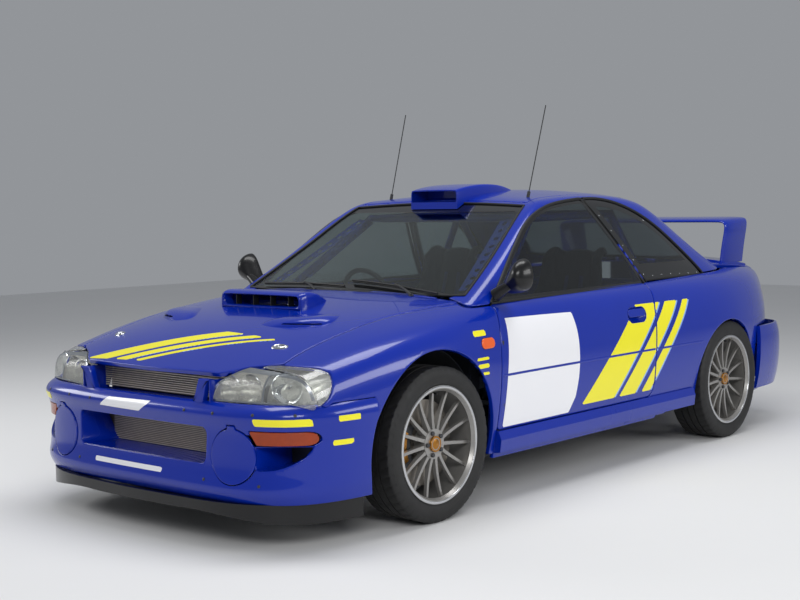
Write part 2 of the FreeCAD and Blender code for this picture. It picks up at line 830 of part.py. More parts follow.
middle_x = half_width / 2
door_hole = side_prism(door_side, half_width / 3, wide)
door_glass_hole = side_prism(door_glass_side, half_width / 3, wide)
quarter_hole = side_prism(quarter_side, half_width / 3, wide)
windscreen_hole = plan_prism(windscreen_plan, cowl_z, high)
roof_hole = plan_prism(roof_plan, belt_height, high)
rear_window_hole = plan_prism(rear_window_plan, cowl_z, high)
bonnet_hole = plan_prism(bonnet_plan, lamp_low_z, high)
boot_hole = plan_prism(boot_lid_plan, cowl_z, high)
wing_hole = side_prism(wing_side, middle_x, wide)
lamp_plan_hole = plan_prism(plan_points(headlamp_plan_shares), lamp_low_z, high)
lamp_side_hole = side_prism(side_points(headlamp_side_shares, belt_height), 0, wide)
lamp_front_hole = front_prism(front_points(headlamp_front_shares), ahead_y, front_axle_y)
lamp_hole = lamp_plan_hole.common(lamp_side_hole).common(lamp_front_hole)
hull_skin = hull.cut(hull_skin_void)
front_arch = axle_cylinder(front_arch_radius, front_axle_y, middle_x, wide)
rear_arch = axle_cylinder(rear_arch_radius, rear_axle_y, middle_x, wide)
bumper_arch = axle_cylinder(bumper_arch_radius, front_axle_y, middle_x, wide)
tail_lamp_box = block(tail_lamp_inner_x, wide, tail_y - tail_lamp_depth,
                      tail_y + overrun, tail_lamp_low_z, tail_lamp_top_z)

# Bonnet scoop: its section in shares of the half width and height, then its stations as
# the distance behind the axle, the half width and the top above the belt height
hood_section_shares = ((1, 0), (1, .45), (1, .80), (.975, 1), (.90, 1.02), (.60, 1.03),
                       (.30, 1.035), (0, 1.035))
scoop_sizes = (
    (-171.0, 252.0, 22.0),
    (-155.0, 257.0, 33.0),
    (-115.0, 256.0, 37.0),
    (-60.0, 246.0, 28.0),
    (-5.0, 228.0, 8.0),
    (47.0, 200.0, -16.0),
)
scoop_foot_drop = 54.0
scoop_foot_z = belt_height - scoop_foot_drop
scoop_slope_share = .150
scoop_wall = 7.0
scoop_sill = 24.0
scoop_back = 70.0
throat_half = 215.0
throat_front = 22.0
throat_length = 120.0
vane_count = 4
vane_pitch = 120.0
vane_thickness = 3.0
vane_depth = 32.0

# Side vents of the bonnet, with the place of the middle as the second number
vent_section_shares = ((1, 0), (.96, .50), (.84, .82), (.62, .97), (.32, 1.0), (0, 1.0))
vent_sizes = (
    (-427.0, 222.0, 30.0, -112.0),
    (-405.0, 262.0, 70.0, -92.0),
    (-365.0, 318.0, 118.0, -65.0),
    (-315.0, 368.0, 140.0, -51.0),
    (-260.0, 400.0, 124.0, -47.0),
    (-205.0, 418.0, 90.0, -44.0),
    (-145.0, 428.0, 50.0, -52.0),
)
vent_foot_drop = 160.0
vent_foot_z = belt_height - vent_foot_drop
vent_slope_share = .235
vent_slot_angle = 33.0
vent_slot_x = 425.0
vent_slot_ahead = 342.0
vent_slot_drop = 82.0
vent_slot_half = 92.0
vent_slot_depth = 26.0
vent_slot_height = 9.0
vent_slot_slope = -4.0


def make_bonnet():
    """Bonnet with its scoop and two side vents."""
    cut = plan_prism(shrink(bonnet_plan, lid_gap), lamp_low_z, high)
    panel = largest(hull_skin.common(cut).cut(windscreen_hole))
    stations = [(front_axle_y + y, 0, half, belt_height + top)
                for y, half, top in scoop_sizes]
    start = stations[0][0]
    foot = [scoop_foot_z + scoop_slope_share * (row[0] - start) for row in stations]
    outer = net_solid(hood_net(stations, hood_section_shares, foot, 0))
    ahead = [(start - scoop_wall,) + stations[0][1:]] + stations[1:]
    raised = [scoop_foot_z + scoop_sill + scoop_slope_share * (row[0] - start)
              for row in ahead]
    inner = net_solid(hood_net(ahead, hood_section_shares, raised, scoop_wall))
    front = block(-wide, wide, start - overrun, stations[-1][0] - scoop_back, low, high)
    inner = inner.common(front)
    vanes = []
    for index in range(vane_count):
        x = (index - (vane_count - 1) / 2) * vane_pitch
        vane = block(x - vane_thickness / 2, x + vane_thickness / 2, start + scoop_wall,
                     start + scoop_wall + vane_depth, scoop_foot_z, high)
        vanes.append(vane.common(outer))
    y_front = start + throat_front
    y_back = y_front + throat_length
    top_front = scoop_foot_z + scoop_sill + scoop_slope_share * throat_front + scoop_wall
    top_back = top_front + scoop_slope_share * throat_length
    throat = side_prism([[(y_front, cowl_z - overrun), (y_front, top_front)],
                         [(y_back, top_back)], [(y_back, cowl_z - overrun)]],
                        -throat_half, throat_half)
    panel = panel.fuse(outer).cut(hull_skin_void).cut(inner).cut(throat)
    panel = panel.fuse(vanes[0]).fuse(vanes[1:])

    stations = [(front_axle_y + y, x, half, belt_height + top)
                for y, x, half, top in vent_sizes]
    first = stations[0][0]
    foot = [vent_foot_z + vent_slope_share * (row[0] - first) for row in stations]
    vent = net_solid(hood_net(stations, vent_section_shares, foot, 0))
    slot = block(-vent_slot_half, vent_slot_half, 0, vent_slot_depth + overrun,
                 0, vent_slot_height)
    slot.rotate(Vec(0, 0, 0), Vec(0, 1, 0), vent_slot_slope)
    slot.rotate(Vec(0, 0, 0), Vec(0, 0, 1), vent_slot_angle)
    slot.translate(Vec(vent_slot_x, front_axle_y - vent_slot_ahead - overrun,
                       belt_height - vent_slot_drop))
    vent = vent.cut(slot)
    panel = panel.fuse([vent, mirrored(vent)]).cut(hull_skin_void)
    save("bonnet", largest(panel))


lid_front_share = 1.10
scuttle_rise_share = .93
pillar_low_share = .40
pillar_back_share = .200
post_back_share = .168
side_front_share = .10


def make_panels():
    """Outer panels of the body and its glass."""
    lid_cut = plan_prism(shrink(boot_lid_plan, lid_gap), cowl_z, high)
    lid = largest(hull_skin.common(lid_cut).cut(canopy))
    drop = block(-tail_lamp_inner_x + lid_gap, tail_lamp_inner_x - lid_gap,
                 tail_y - skin_thickness, tail_y, tail_lamp_low_z, high)
    save("boot_lid", lid.fuse(hull.common(drop)))
    roof = largest(thin_wall.common(plan_prism(shrink(roof_plan, seat_clearance),
                                               belt_height, high)))
    save("roof_panel", roof)
    screen_cut = plan_prism(shrink(windscreen_plan, seat_clearance), cowl_z, high)
    save("windscreen", largest(glass_wall.common(screen_cut).cut(hull_skin)))
    rear_cut = plan_prism(shrink(rear_window_plan, seat_clearance), cowl_z, high)
    save("rear_window", largest(glass_wall.common(rear_cut).cut(hull_skin)))
    quarter_cut = side_prism(shrink(quarter_side, seat_clearance), half_width / 3, wide)
    save("quarter_windows", pair(largest(glass_wall.common(quarter_cut))))

    wing = hull_skin.common(wing_hole).cut(canopy).cut(bonnet_hole).cut(lamp_hole)
    wing = wing.cut(front_form).cut(front_arch).cut(windscreen_hole)
    save("front_wings", pair(largest(wing)))

    scuttle_front = station_y(bonnet_shares[0][2][1]) - shut_gap
    scuttle_box = block(-wide, wide, scuttle_front, station_y(windscreen_shares[0][0][1]),
                        cowl_z - frame_thickness, high)
    scuttle = hull_skin.common(scuttle_box).cut(bonnet_hole).cut(wing_hole)
    scuttle = scuttle.cut(mirrored(wing_hole)).cut(windscreen_hole)
    save("scuttle", largest(scuttle))

    lid_front = station_y(lid_front_share)
    front_foot = block(0, wide, low + station_y(0), station_y(post_back_share), low,
                       cowl_z - frame_thickness)
    side = thick_wall.common(block(0, wide, station_y(side_front_share), tail_y, low, high))
    side = side.cut(wing_hole.cut(canopy)).cut(bonnet_hole)
    side = side.cut(door_hole).cut(door_glass_hole).cut(quarter_hole)
    side = side.cut(windscreen_hole).cut(roof_hole).cut(rear_window_hole)
    side = side.cut(boot_hole).cut(rear_form).cut(rear_arch).cut(tail_lamp_box)
    pillar_foot = block(middle_x, wide, low + station_y(0), station_y(pillar_back_share),
                        pillar_low_share * belt_height, scuttle_rise_share * belt_height)
    side = side.cut(scuttle).cut(front_foot).cut(pillar_foot)
    side = side.cut(block(0, tail_lamp_inner_x, lid_front, tail_y + overrun, low, high))
    save("side_frames", pair(largest(side)))

    lamp = hull.common(tail_lamp_box.cut(rear_form))
    save("tail_lamps", pair(largest(lamp)))
    tail = hull.common(block(-wide, wide, tail_y - skin_thickness, tail_y, low, cowl_z))
    tail = tail.cut(rear_form).cut(tail_lamp_box).cut(mirrored(tail_lamp_box))
    tail = tail.cut(thick_wall)
    tail = tail.cut(block(-tail_lamp_inner_x, tail_lamp_inner_x, tail_y - overrun,
                          tail_y + overrun, tail_lamp_low_z - lid_gap, high))
    striker = block(-striker_half, striker_half, tail_y - skin_thickness, tail_y,
                    tail_lamp_low_z - frame_thickness, tail_lamp_low_z - seat_clearance)
    save("tail_panel", largest(tail.fuse(striker)))


duct_back_share = -.62
indicator_back_share = -.70
lamp_back_share = -.60
shelf_top_share = .604
shelf_half_share = .45
pipe_start_share = 1.55
pipe_end_share = 1.985
hanger_share = 1.70
hanger_end_share = 1.73
upright_front_share = -.936


def make_nose():
    """Bumpers, splitter, lamps, cores and covers."""
    bumper = front_form.cut(front_void).cut(bumper_arch).cut(mirrored(bumper_arch))
    middle_y = station_y(beam_share)
    bumper = bumper.cut(front_prism(front_points(intake_shares), ahead_y, middle_y))
    duct = front_prism(front_points(duct_shares), ahead_y, station_y(duct_back_share))
    lens = front_prism(front_points(indicator_shares), ahead_y,
                       station_y(indicator_back_share))
    bumper = bumper.cut([duct, mirrored(duct), lens, mirrored(lens)])
    shelf_top = shelf_top_share * belt_height
    shelf = block(-shelf_half_share * half_width, shelf_half_share * half_width, ahead_y,
                  core_front_y - seat_clearance, shelf_top - liner_wall, shelf_top)
    lowered = front_form.common(shelf)
    upright = front_prism(front_points(upright_shares), station_y(upright_front_share),
                          station_y(upright_front_share) + upright_depth)
    bumper = bumper.fuse([lowered, upright, mirrored(upright)])
    save("front_bumper", largest(bumper))
    save("indicators", pair(largest(front_form.cut(front_void).common(lens))))
    rear = rear_form.cut(rear_void).cut(rear_arch).cut(mirrored(rear_arch))
    outlet = pipe_line(pipe_radius + pipe_clearance, overrun, overrun)
    save("rear_bumper", largest(rear.cut(outlet)))

    lamp = hull.common(lamp_hole).common(lamp_form).cut(bonnet_hole)
    back = block(0, wide, station_y(lamp_back_share), station_y(0), low, high)
    save("headlamps", pair(largest(lamp.cut(back))))

    edge = [Vec(x * half_width, station_y(-y), lip_low_z) for x, y in splitter_shares[0]]
    outer = Part.Face(closed_wire([edge]))
    lip_top = front_level_shares[0][0] * belt_height
    lip = outer.extrude(Vec(0, 0, lip_top - lip_low_z))
    narrow = 1 - skin_thickness / half_width
    inner_edge = [Vec(p.x * narrow, p.y + skin_thickness, low) for p in edge]
    hollow = Part.Face(closed_wire([inner_edge])).extrude(Vec(0, 0, high))
    tray = block(-wide, wide, ahead_y, front_axle_y, tray_low_z,
                 tray_low_z + sheet_thickness)
    lip = lip.cut(hollow.cut(tray))
    lip = lip.cut(front_prism(front_points(lip_shares), ahead_y, front_axle_y))
    lip = lip.cut(bumper_arch).cut(mirrored(bumper_arch))
    save("splitter", largest(lip.cut(front_form)))

    disc = Part.makeCylinder(cover_radius, front_overhang / 2,
                             Vec(cover_x, ahead_y, cover_z), Vec(0, 1, 0))
    tab = block(cover_x - cover_tab_half, cover_x + cover_tab_half, ahead_y,
                ahead_y + front_overhang / 2, cover_z,
                cover_z + cover_radius + cover_tab_height)
    proud = net_solid(front_net(front_table, -cover_proud, True))
    cover = proud.common(disc.fuse(tab)).cut(front_form)
    save("lamp_covers", pair(largest(cover)))
    save("cooler_cores", Part.Compound([
        finned_core(upper_core_shares, upper_fin_count),
        finned_core(lower_core_shares, lower_fin_count)]))


def pipe_line(radius, before, after):
    """Bar along the exhaust's line, with a run before its start and after its end."""
    start = Vec(pipe_x, station_y(pipe_start_share), pipe_front_z)
    end = Vec(pipe_x, station_y(pipe_end_share), pipe_end_z)
    way = end - start
    way.normalize()
    return rod(start - way * before, end + way * after, radius)


def finned_core(outline, count):
    """Cooler core with level fins on its front."""
    points = front_points(outline)
    heights = [point[1] for run in points for point in run]
    bottom = min(heights)
    pitch = (max(heights) - bottom) / count
    prism = front_prism(points, core_front_y, beam_y)
    plate = front_prism(points, core_front_y + fin_depth, beam_y)
    fins = []
    for index in range(count):
        z = bottom + (2 * index + 1) / 2 * pitch
        fins.append(block(-wide, wide, core_front_y, beam_y, z - fin_thickness / 2,
                          z + fin_thickness / 2).common(prism))
    return plate.fuse(fins)


skirt_start_share = .166
skirt_end_share = .850
engine_half_width = 327.0
engine_front_share = -.560
engine_back_share = .020
engine_low_z = 270.0
engine_top_z = 630.0


def make_structure():
    """Floor, bulkhead with its rails, skirts and engine."""
    floor = block(-wide, wide, firewall_y, rear_step_y, floor_z, floor_top_z)
    step = block(-wide, wide, rear_step_y - sheet_thickness, rear_step_y, floor_z,
                 rear_floor_z)
    rear_x = wheel_plane_x - tyre_width / 2 - 4 * shut_gap
    rear_floor = block(-rear_x, rear_x, rear_step_y - sheet_thickness,
                       tail_y - skin_thickness, rear_floor_z, rear_floor_top_z)
    pan = floor.fuse([step, rear_floor]).common(hull_frame_void)
    tunnel_top = floor_z + tunnel_height
    tunnel = block(-tunnel_half_width, tunnel_half_width, firewall_y, rear_step_y, floor_z,
                   tunnel_top)
    tunnel_inner = tunnel_half_width - sheet_thickness
    tunnel_void = block(-tunnel_inner, tunnel_inner, firewall_y - overrun,
                        rear_step_y + overrun, low, tunnel_top - sheet_thickness)
    save("floor_pan", largest(pan.fuse(tunnel).cut(tunnel_void)))

    firewall = block(-post_outer_x, post_outer_x, firewall_y, firewall_y + sheet_thickness,
                     floor_top_z + seat_clearance, high).common(hull_frame_void)
    post = block(post_inner_x, post_outer_x, firewall_y, hinge_y + hinge_arm_half,
                 floor_top_z + seat_clearance, cowl_z - frame_thickness)
    posts = []
    for z in hinge_levels:
        arm = block(post_inner_x, hinge_x, hinge_y - hinge_arm_half,
                    hinge_y + hinge_arm_half, z - hinge_arm_half, z + hinge_arm_half)
        boss = Part.makeCylinder(hinge_boss_radius, 2 * hinge_arm_half,
                                 Vec(hinge_x, hinge_y, z - hinge_arm_half))
        bore = Part.makeCylinder(hinge_pin_radius + seat_clearance, 4 * hinge_arm_half,
                                 Vec(hinge_x, hinge_y, z - 2 * hinge_arm_half))
        posts.append(arm.fuse(boss).cut(bore))
    rail = block(rail_x - rail_half, rail_x + rail_half, beam_y, firewall_y, rail_low_z,
                 rail_top_z)
    beam = block(-rail_x - rail_half, rail_x + rail_half, beam_y, beam_y + 2 * rail_half,
                 rail_low_z, rail_top_z)
    stop = block(rail_x - rail_half, rail_x + rail_half, beam_y, beam_y + rail_half,
                 rail_low_z, belt_height)
    lowered = hull_skin_void.copy()
    lowered.translate(Vec(0, 0, -seat_clearance))
    stop = stop.common(lowered)
    upright = block(core_post_inner_x, core_post_outer_x, beam_y, beam_y + rail_half,
                    rail_low_z, core_post_top_z)
    side = post.fuse(posts)
    frame = firewall.fuse([side, mirrored(side), rail, mirrored(rail), beam, stop,
                           mirrored(stop), upright, mirrored(upright)])
    around = block(-tunnel_half_width - seat_clearance, tunnel_half_width + seat_clearance,
                   firewall_y - overrun, rear_step_y, low, tunnel_top + seat_clearance)
    save("front_frame", largest(frame.cut(around)))

    save("engine_block", block(-engine_half_width, engine_half_width,
                               station_y(engine_front_share), station_y(engine_back_share),
                               engine_low_z, engine_top_z))

    start = station_y(skirt_start_share)
    skirt = front_prism(front_points(skirt_shares), start, station_y(skirt_end_share))
    save("side_skirts", pair(largest(skirt.cut(hull).cut(rear_arch))))


def steer_point(z):
    """Point of the left steering axis at a height."""
    share = (z - ball_joint_z) / (steer_top_z - ball_joint_z)
    return Vec(ball_joint_x + share * (steer_top_x - ball_joint_x), front_axle_y, z)


bead_share = .86
bulge_share = .80
tread_inset = 21.75
shoulder_inset = 7.25
spoke_start_share = .8


def make_wheel(name, y, mirror):
    """Tyre, rim and disc of one wheel."""
    half_tyre = tyre_width / 2
    tread_half = half_tyre - tread_inset
    inner = rim_radius + seat_clearance
    centre = Vec(wheel_plane_x, y, tyre_radius)
    along = Vec(1, 0, 0)

    def at(across, radius):
        return Vec(centre.x + across, y, tyre_radius + radius)

    outline = closed_wire([
        [at(-half_tyre * bead_share, inner), at(-half_tyre, bulge_share * tyre_radius),
         at(shoulder_inset - half_tyre, tyre_radius - tyre_shoulder),
         at(-tread_half, tyre_radius)],
        [at(tread_half, tyre_radius)],
        [at(half_tyre - shoulder_inset, tyre_radius - tyre_shoulder),
         at(half_tyre, bulge_share * tyre_radius), at(half_tyre * bead_share, inner)],
    ])
    tyre = Part.Face(outline).revolve(centre, along, 360)

    wall = rim_radius - barrel_wall
    profile = closed_wire([
        [at(-rim_half_width, wall), at(-rim_half_width, rim_radius)],
        [at(rim_half_width, rim_radius)],
        [at(rim_half_width, rim_radius - lip_wall)],
        [at(rim_half_width - lip_depth, rim_radius - lip_wall - barrel_wall)],
        [at(rim_half_width - 2 * lip_depth, wall)],
        [at(-rim_half_width, wall)],
    ])
    rim = Part.Face(profile).revolve(centre, along, 360)
    hub = Part.makeCylinder(hub_radius, hub_depth,
                            centre + Vec(wheel_face - hub_depth, 0, 0), along)
    cap = Part.makeCylinder(cap_radius, cap_height, centre + Vec(wheel_face, 0, 0), along)
    root = hub_radius * spoke_start_share
    tip = rim_radius - barrel_wall / 2
    middle = (root + tip) / 2
    shape = closed_wire([
        [Vec(wheel_face - spoke_root_depth, 0, root), Vec(wheel_face, 0, root)],
        [Vec(wheel_face - spoke_bow, 0, middle), Vec(wheel_face, 0, tip)],
        [Vec(wheel_face - spoke_tip_depth, 0, tip)],
    ])
    bar = Part.Face(shape).extrude(Vec(0, spoke_root_width, 0))
    bar.translate(Vec(0, -spoke_root_width / 2, 0))
    taper = plan_taper(root, tip)
    bar = bar.common(taper)
    spokes = [hub, cap]
    for index in range(spoke_count):
        spoke = bar.copy()
        spoke.rotate(Vec(0, 0, 0), along, 360 * index / spoke_count)
        spoke.translate(centre)
        spokes.append(spoke)
    rim = rim.fuse(spokes)

    disc = Part.makeCylinder(disc_radius, disc_thickness,
                             centre - Vec(disc_offset + disc_thickness / 2, 0, 0), along)
    bell = Part.makeCylinder(bell_radius, wheel_face - hub_depth + disc_offset,
                             centre - Vec(disc_offset, 0, 0), along)
    for piece, shape in (("tyre", tyre), ("rim", rim), ("disc", disc.fuse(bell))):
        save(piece + "_" + name, mirrored(shape) if mirror else shape)


def plan_taper(root, tip):
    """Wedge that narrows a spoke from its root to its tip."""
    points = [Vec(0, -spoke_root_width / 2, root), Vec(0, spoke_root_width / 2, root),
              Vec(0, spoke_tip_width / 2, tip), Vec(0, -spoke_tip_width / 2, tip)]
    face = Part.Face(Part.makePolygon(points + points[:1]))
    return face.extrude(Vec(wheel_face + hub_depth, 0, 0))


def make_caliper(y, half_height):
    """Left caliper and its bracket, at one axle."""
    disc_x = wheel_plane_x - disc_offset
    sector = axle_cylinder(caliper_reach, y, disc_x - caliper_half, disc_x + caliper_half)
    sector = sector.cut(axle_cylinder(caliper_root, y, disc_x - overrun, disc_x + overrun))
    window = block(disc_x - overrun, disc_x + overrun, y - caliper_far, y - caliper_near,
                   tyre_radius - half_height, tyre_radius + half_height)
    half_slot = disc_thickness / 2 + caliper_clearance
    slot = axle_cylinder(disc_radius + caliper_clearance, y, disc_x - half_slot,
                         disc_x + half_slot)
    caliper = sector.common(window).cut(slot)
    bracket = block(disc_x - caliper_half - bracket_thickness, disc_x - caliper_half,
                    y - bracket_front, y, tyre_radius - bracket_half_height,
                    tyre_radius + bracket_half_height)
    return [caliper, bracket]


def make_running_gear():
    """Wheels, brakes, knuckles, arms and housings."""
    for side_name, mirror in (("left", False), ("right", True)):
        make_wheel("front_" + side_name, front_axle_y, mirror)
        make_wheel("rear_" + side_name, rear_axle_y, mirror)

    half_tyre = tyre_width / 2
    hub_face = wheel_plane_x - disc_offset - disc_thickness / 2 - bearing_clearance
    joint = steer_point(ball_joint_z)
    top = steer_point(steer_top_z)
    axis = top - joint
    axis.normalize()
    post = rod(joint + axis * (eye_half + seat_clearance), steer_point(post_top_z),
               post_radius)
    strut = rod(steer_point(strut_low_z), top - axis * seat_clearance, strut_radius)
    stub = axle_cylinder(stub_radius, front_axle_y, joint.x - stub_overlap, hub_face)
    knuckle = post.fuse([strut, stub] + make_caliper(front_axle_y, caliper_half_height))
    save("knuckle_left", knuckle)
    save("knuckle_right", mirrored(knuckle))

    arms = [rod(joint - axis * eye_half, joint + axis * eye_half, eye_radius)]
    for back in (-arm_spread_front, arm_spread_rear):
        arms.append(rod(joint, Vec(arm_foot_x, front_axle_y + back, ball_joint_z),
                        arm_radius))
    cross_front_y = front_axle_y - cross_front
    low_z = ball_joint_z - cross_half_height
    top_z = ball_joint_z + cross_half_height
    cross = block(0, arm_foot_x + eye_half, cross_front_y, front_axle_y + cross_rear, low_z,
                  top_z)
    half = cross.fuse(arms)
    post_x = arm_foot_x - cross_post_inset
    mount = block(-post_x, post_x, cross_front_y, cross_front_y + cross_post_width,
                  ball_joint_z, engine_low_z)
    rail_mount = block(rail_x - rail_half, rail_x + rail_half, cross_front_y,
                       cross_front_y + cross_post_width, low_z, rail_low_z)
    bridge = block(-rail_x, rail_x, cross_front_y, cross_front_y + cross_post_width, low_z,
                   top_z)
    axle = half.fuse([mirrored(half), mount, rail_mount, mirrored(rail_mount), bridge])
    shaft = axle_cylinder(shaft_radius, front_axle_y, engine_half_width,
                          wheel_plane_x - shaft_end_inset)
    save("front_axle", Part.Compound(axle.Solids + [shaft, mirrored(shaft)]))

    carrier_x = hub_face - carrier_width
    carrier = block(carrier_x, hub_face, rear_axle_y - carrier_half_length,
                    rear_axle_y + carrier_half_length, tyre_radius - carrier_drop,
                    tyre_radius + carrier_rise)
    strut_foot = Vec(carrier_x + eye_half / 2, rear_axle_y, tyre_radius)
    strut_top = Vec(half_width - rear_strut_inset, rear_axle_y, rear_strut_top_z)
    link_z = tyre_radius - lower_link_drop
    link = rod(Vec(carrier_x + eye_half, rear_axle_y, link_z),
               Vec(lower_link_foot_x, rear_axle_y, link_z), lower_link_radius)
    drive = axle_cylinder(drive_radius, rear_axle_y, drive_foot_x, carrier_x + eye_half)
    differential = block(-differential_half_width, differential_half_width,
                         rear_axle_y - differential_half_length,
                         rear_axle_y + differential_half_length,
                         tyre_radius - differential_drop, rear_floor_z)
    subframe = block(-subframe_half_width, subframe_half_width,
                     rear_axle_y - subframe_half_length, rear_axle_y + subframe_half_length,
                     tyre_radius - subframe_low_drop, tyre_radius - subframe_top_drop)
    half = carrier.fuse([rod(strut_foot, strut_top, strut_radius), link, drive]
                        + make_caliper(rear_axle_y, rear_caliper_half_height))
    save("rear_axle", half.fuse([mirrored(half), differential, subframe]))

    outer_x = wheel_plane_x - liner_outer_inset
    inner_radius = front_arch_radius + shut_gap
    liner = axle_cylinder(inner_radius + liner_wall, front_axle_y, liner_inner_x, outer_x)
    wheel_void = axle_cylinder(inner_radius, front_axle_y, liner_inner_x + liner_wall,
                               outer_x + overrun)
    tower = rod(steer_point(tyre_radius), top + axis * liner_wall, tower_radius)
    bore = rod(steer_point(tyre_radius), top, tower_bore_radius)
    above = block(0, wide, front_axle_y - liner_reach, front_axle_y + liner_reach,
                  liner_low_z, high)
    liner = liner.fuse(tower).common(above).cut(bore).cut(wheel_void)
    rear_inner = wheel_plane_x - half_tyre - rear_liner_gap
    inner_radius = rear_arch_radius + shut_gap
    rear_liner = axle_cylinder(inner_radius + liner_wall, rear_axle_y, rear_inner,
                               half_width - rear_liner_outer_inset)
    rear_liner = rear_liner.cut(axle_cylinder(inner_radius, rear_axle_y,
                                              rear_inner + liner_wall, wide))
    above = block(0, wide, rear_axle_y - liner_reach, rear_axle_y + liner_reach,
                  rear_floor_z, high)
    strut_hole = rod(strut_foot, strut_top, rear_strut_bore)
    rear_liner = rear_liner.common(above).cut(strut_hole).common(hull_frame_void)
    save("wheel_housings", Part.Compound(
        [largest(liner), largest(mirrored(liner)), largest(rear_liner),
         largest(mirrored(rear_liner))]))


mirror_proud = 3.5
mirror_share = .199
mirror_rise = 85.0
mirror_squeeze_share = .88
mirror_rim = 82.0
mirror_glass_radius = 74.0
mirror_glass_depth = 3.0
mirror_back = 38.0
mirror_sizes = ((0, -78.0), (30.0, -71.0), (58.0, -48.0), (76.0, -14.0), (84.0, 16.0),
                (mirror_rim, mirror_back))
stalk_start = Vec(30.0, -12.0, 50.0)
stalk_root_inset = 75.0
stalk_root_share = .212
stalk_root_drop = 90.0
stalk_radius = 16.0


def make_doors():
    """Doors with their glass and mirrors."""
    door_cut = side_prism(shrink(door_side, shut_gap), half_width / 3, wide)
    door = largest(hull.cut(hull_frame_void).common(door_cut).cut(glass_outer))
    for z in hinge_levels:
        pocket = block(hinge_x - hinge_pocket, hinge_x + hinge_boss_radius + seat_clearance,
                       hinge_y - hinge_pocket, hinge_y + hinge_boss_radius + shut_gap,
                       z - hinge_pocket_half_z, z + hinge_pocket_half_z)
        pin = Part.makeCylinder(hinge_pin_radius, 2 * hinge_pocket_half_z,
                                Vec(hinge_x, hinge_y, z - hinge_pocket_half_z))
        door = door.cut(pocket).fuse(pin)
    glass_cut = drawn_in(door_glass_hole, shut_gap)
    glass = largest(glass_wall.common(glass_cut).cut(door))
    centre = Vec(half_width + mirror_proud, station_y(mirror_share),
                 belt_height + mirror_rise)
    shell = closed_wire([[Vec(radius, y, 0) for radius, y in mirror_sizes],
                         [Vec(0, mirror_back, 0)]])
    head = Part.Face(shell).revolve(Vec(0, 0, 0), Vec(0, 1, 0), 360)
    recess = Part.makeCylinder(mirror_glass_radius, mirror_back,
                               Vec(0, mirror_back - mirror_glass_depth, 0), Vec(0, 1, 0))
    squeeze = FreeCAD.Matrix()
    squeeze.scale(mirror_squeeze_share, 1, 1)
    head = head.cut(recess).transformGeometry(squeeze)
    head.translate(centre)
    stalk = rod(centre - stalk_start,
                Vec(half_width - stalk_root_inset, station_y(stalk_root_share),
                    belt_height - stalk_root_drop), stalk_radius)
    mirror = largest(head.fuse(stalk).cut(door).cut(glass_wall))
    for name, shape in (("door", door), ("door_glass", glass), ("mirror", mirror)):
        save(name + "_left", shape)
        save(name + "_right", mirrored(shape))


# Rear wing: the path of its middle surface from the foot to the centre, as half widths
# and heights above the belt height, and its section
wing_path_sizes = ((556.0, 38.0), (564.0, 110.0), (576.0, 180.0), (588.0, 240.0),
                   (584.0, 276.0), (548.0, 284.0), (450.0, 284.0), (300.0, 284.0),
                   (150.0, 284.0), (0, 284.0))
wing_chord_shares = ((0, 0, 0), (0, .55, .50), (.14, 1.05, .85), (.45, 1.0, .75),
                     (.80, .50, .35), (1, 0, 0))
wing_front_share = 1.532
wing_chord = 285.0
wing_half_thickness = 15.0
wing_rake = 24.0
plinth_rise = 11.0
plinth_margin = 14.0
plinth_side = 26.0
plinth_corner = 30.0

# Roof scoop: stations as the distance behind its share along the wheelbase, the half
# width and the top above the roof height
roof_scoop_share = .50
roof_scoop_sizes = (
    (-228.0, 150.0, -1.0),
    (-175.0, 156.0, 13.0),
    (-65.0, 155.0, 27.0),
    (65.0, 148.0, 31.0),
    (215.0, 126.0, 23.0),
    (350.0, 92.0, -11.0),
)
roof_scoop_foot_drop = 105.0
roof_scoop_wall = 6.0
roof_scoop_sill = 46.0
roof_scoop_depth = 130.0

# Aerials
aerial_foot_x = 450.0
aerial_tip_x = 462.0
aerial_foot_drop = 59.0
aerial_rise = 417.0
aerial_foot_share = .481
aerial_tip_share = .540
aerial_foot_z = roof_height - aerial_foot_drop
aerial_tip_z = roof_height + aerial_rise
aerial_base_radius = 8.0
aerial_base_length = 48.0
whip_radius = 2.6

# Seats: side view of the padded core and of the two sides, from the hip point
seat_hip_share = .66
seat_inner_x = 177.0
seat_width = 460.0
seat_side = 52.0
seat_core_sizes = (
    ((-472.0, 36.0), (-472.0, 140.0)),
    ((-448.0, 166.0), (-320.0, 160.0), (-170.0, 132.0), (-112.0, 150.0), (-72.0, 260.0)),
    ((-20.0, 500.0), (34.0, 720.0), (60.0, 842.0)),
    ((128.0, 840.0),),
    ((112.0, 700.0), (62.0, 380.0), (26.0, 130.0), (0, 36.0)),
)
seat_side_sizes = (
    ((-440.0, 0), (-456.0, 160.0)),
    ((-430.0, 214.0), (-300.0, 226.0), (-190.0, 222.0), (-158.0, 280.0)),
    ((-128.0, 420.0), (-84.0, 560.0), (-62.0, 660.0)),
    ((-52.0, 780.0), (-10.0, 856.0), (60.0, 868.0)),
    ((140.0, 836.0),),
    ((120.0, 700.0), (70.0, 380.0), (34.0, 130.0), (8.0, 0)),
)

# Dashboard and steering wheel
dash_half = 620.0
dash_low_drop = 306.0
dash_top_drop = 54.0
dash_low_z = belt_height - dash_low_drop
dash_top_z = belt_height - dash_top_drop
dash_back_share = .29
column_x = -398.0
column_start_share = .27
wheel_share = .385
column_start_drop = 180.0
steering_wheel_drop = 90.0
column_start_z = belt_height - column_start_drop
steering_wheel_z = belt_height - steering_wheel_drop
column_radius = 14.0
steering_wheel_radius = 165.0
steering_rim_radius = 13.0
steering_spoke_half = 8.0
steering_spoke_rise = 14.0
steering_lean_shares = (0, .95, .31)

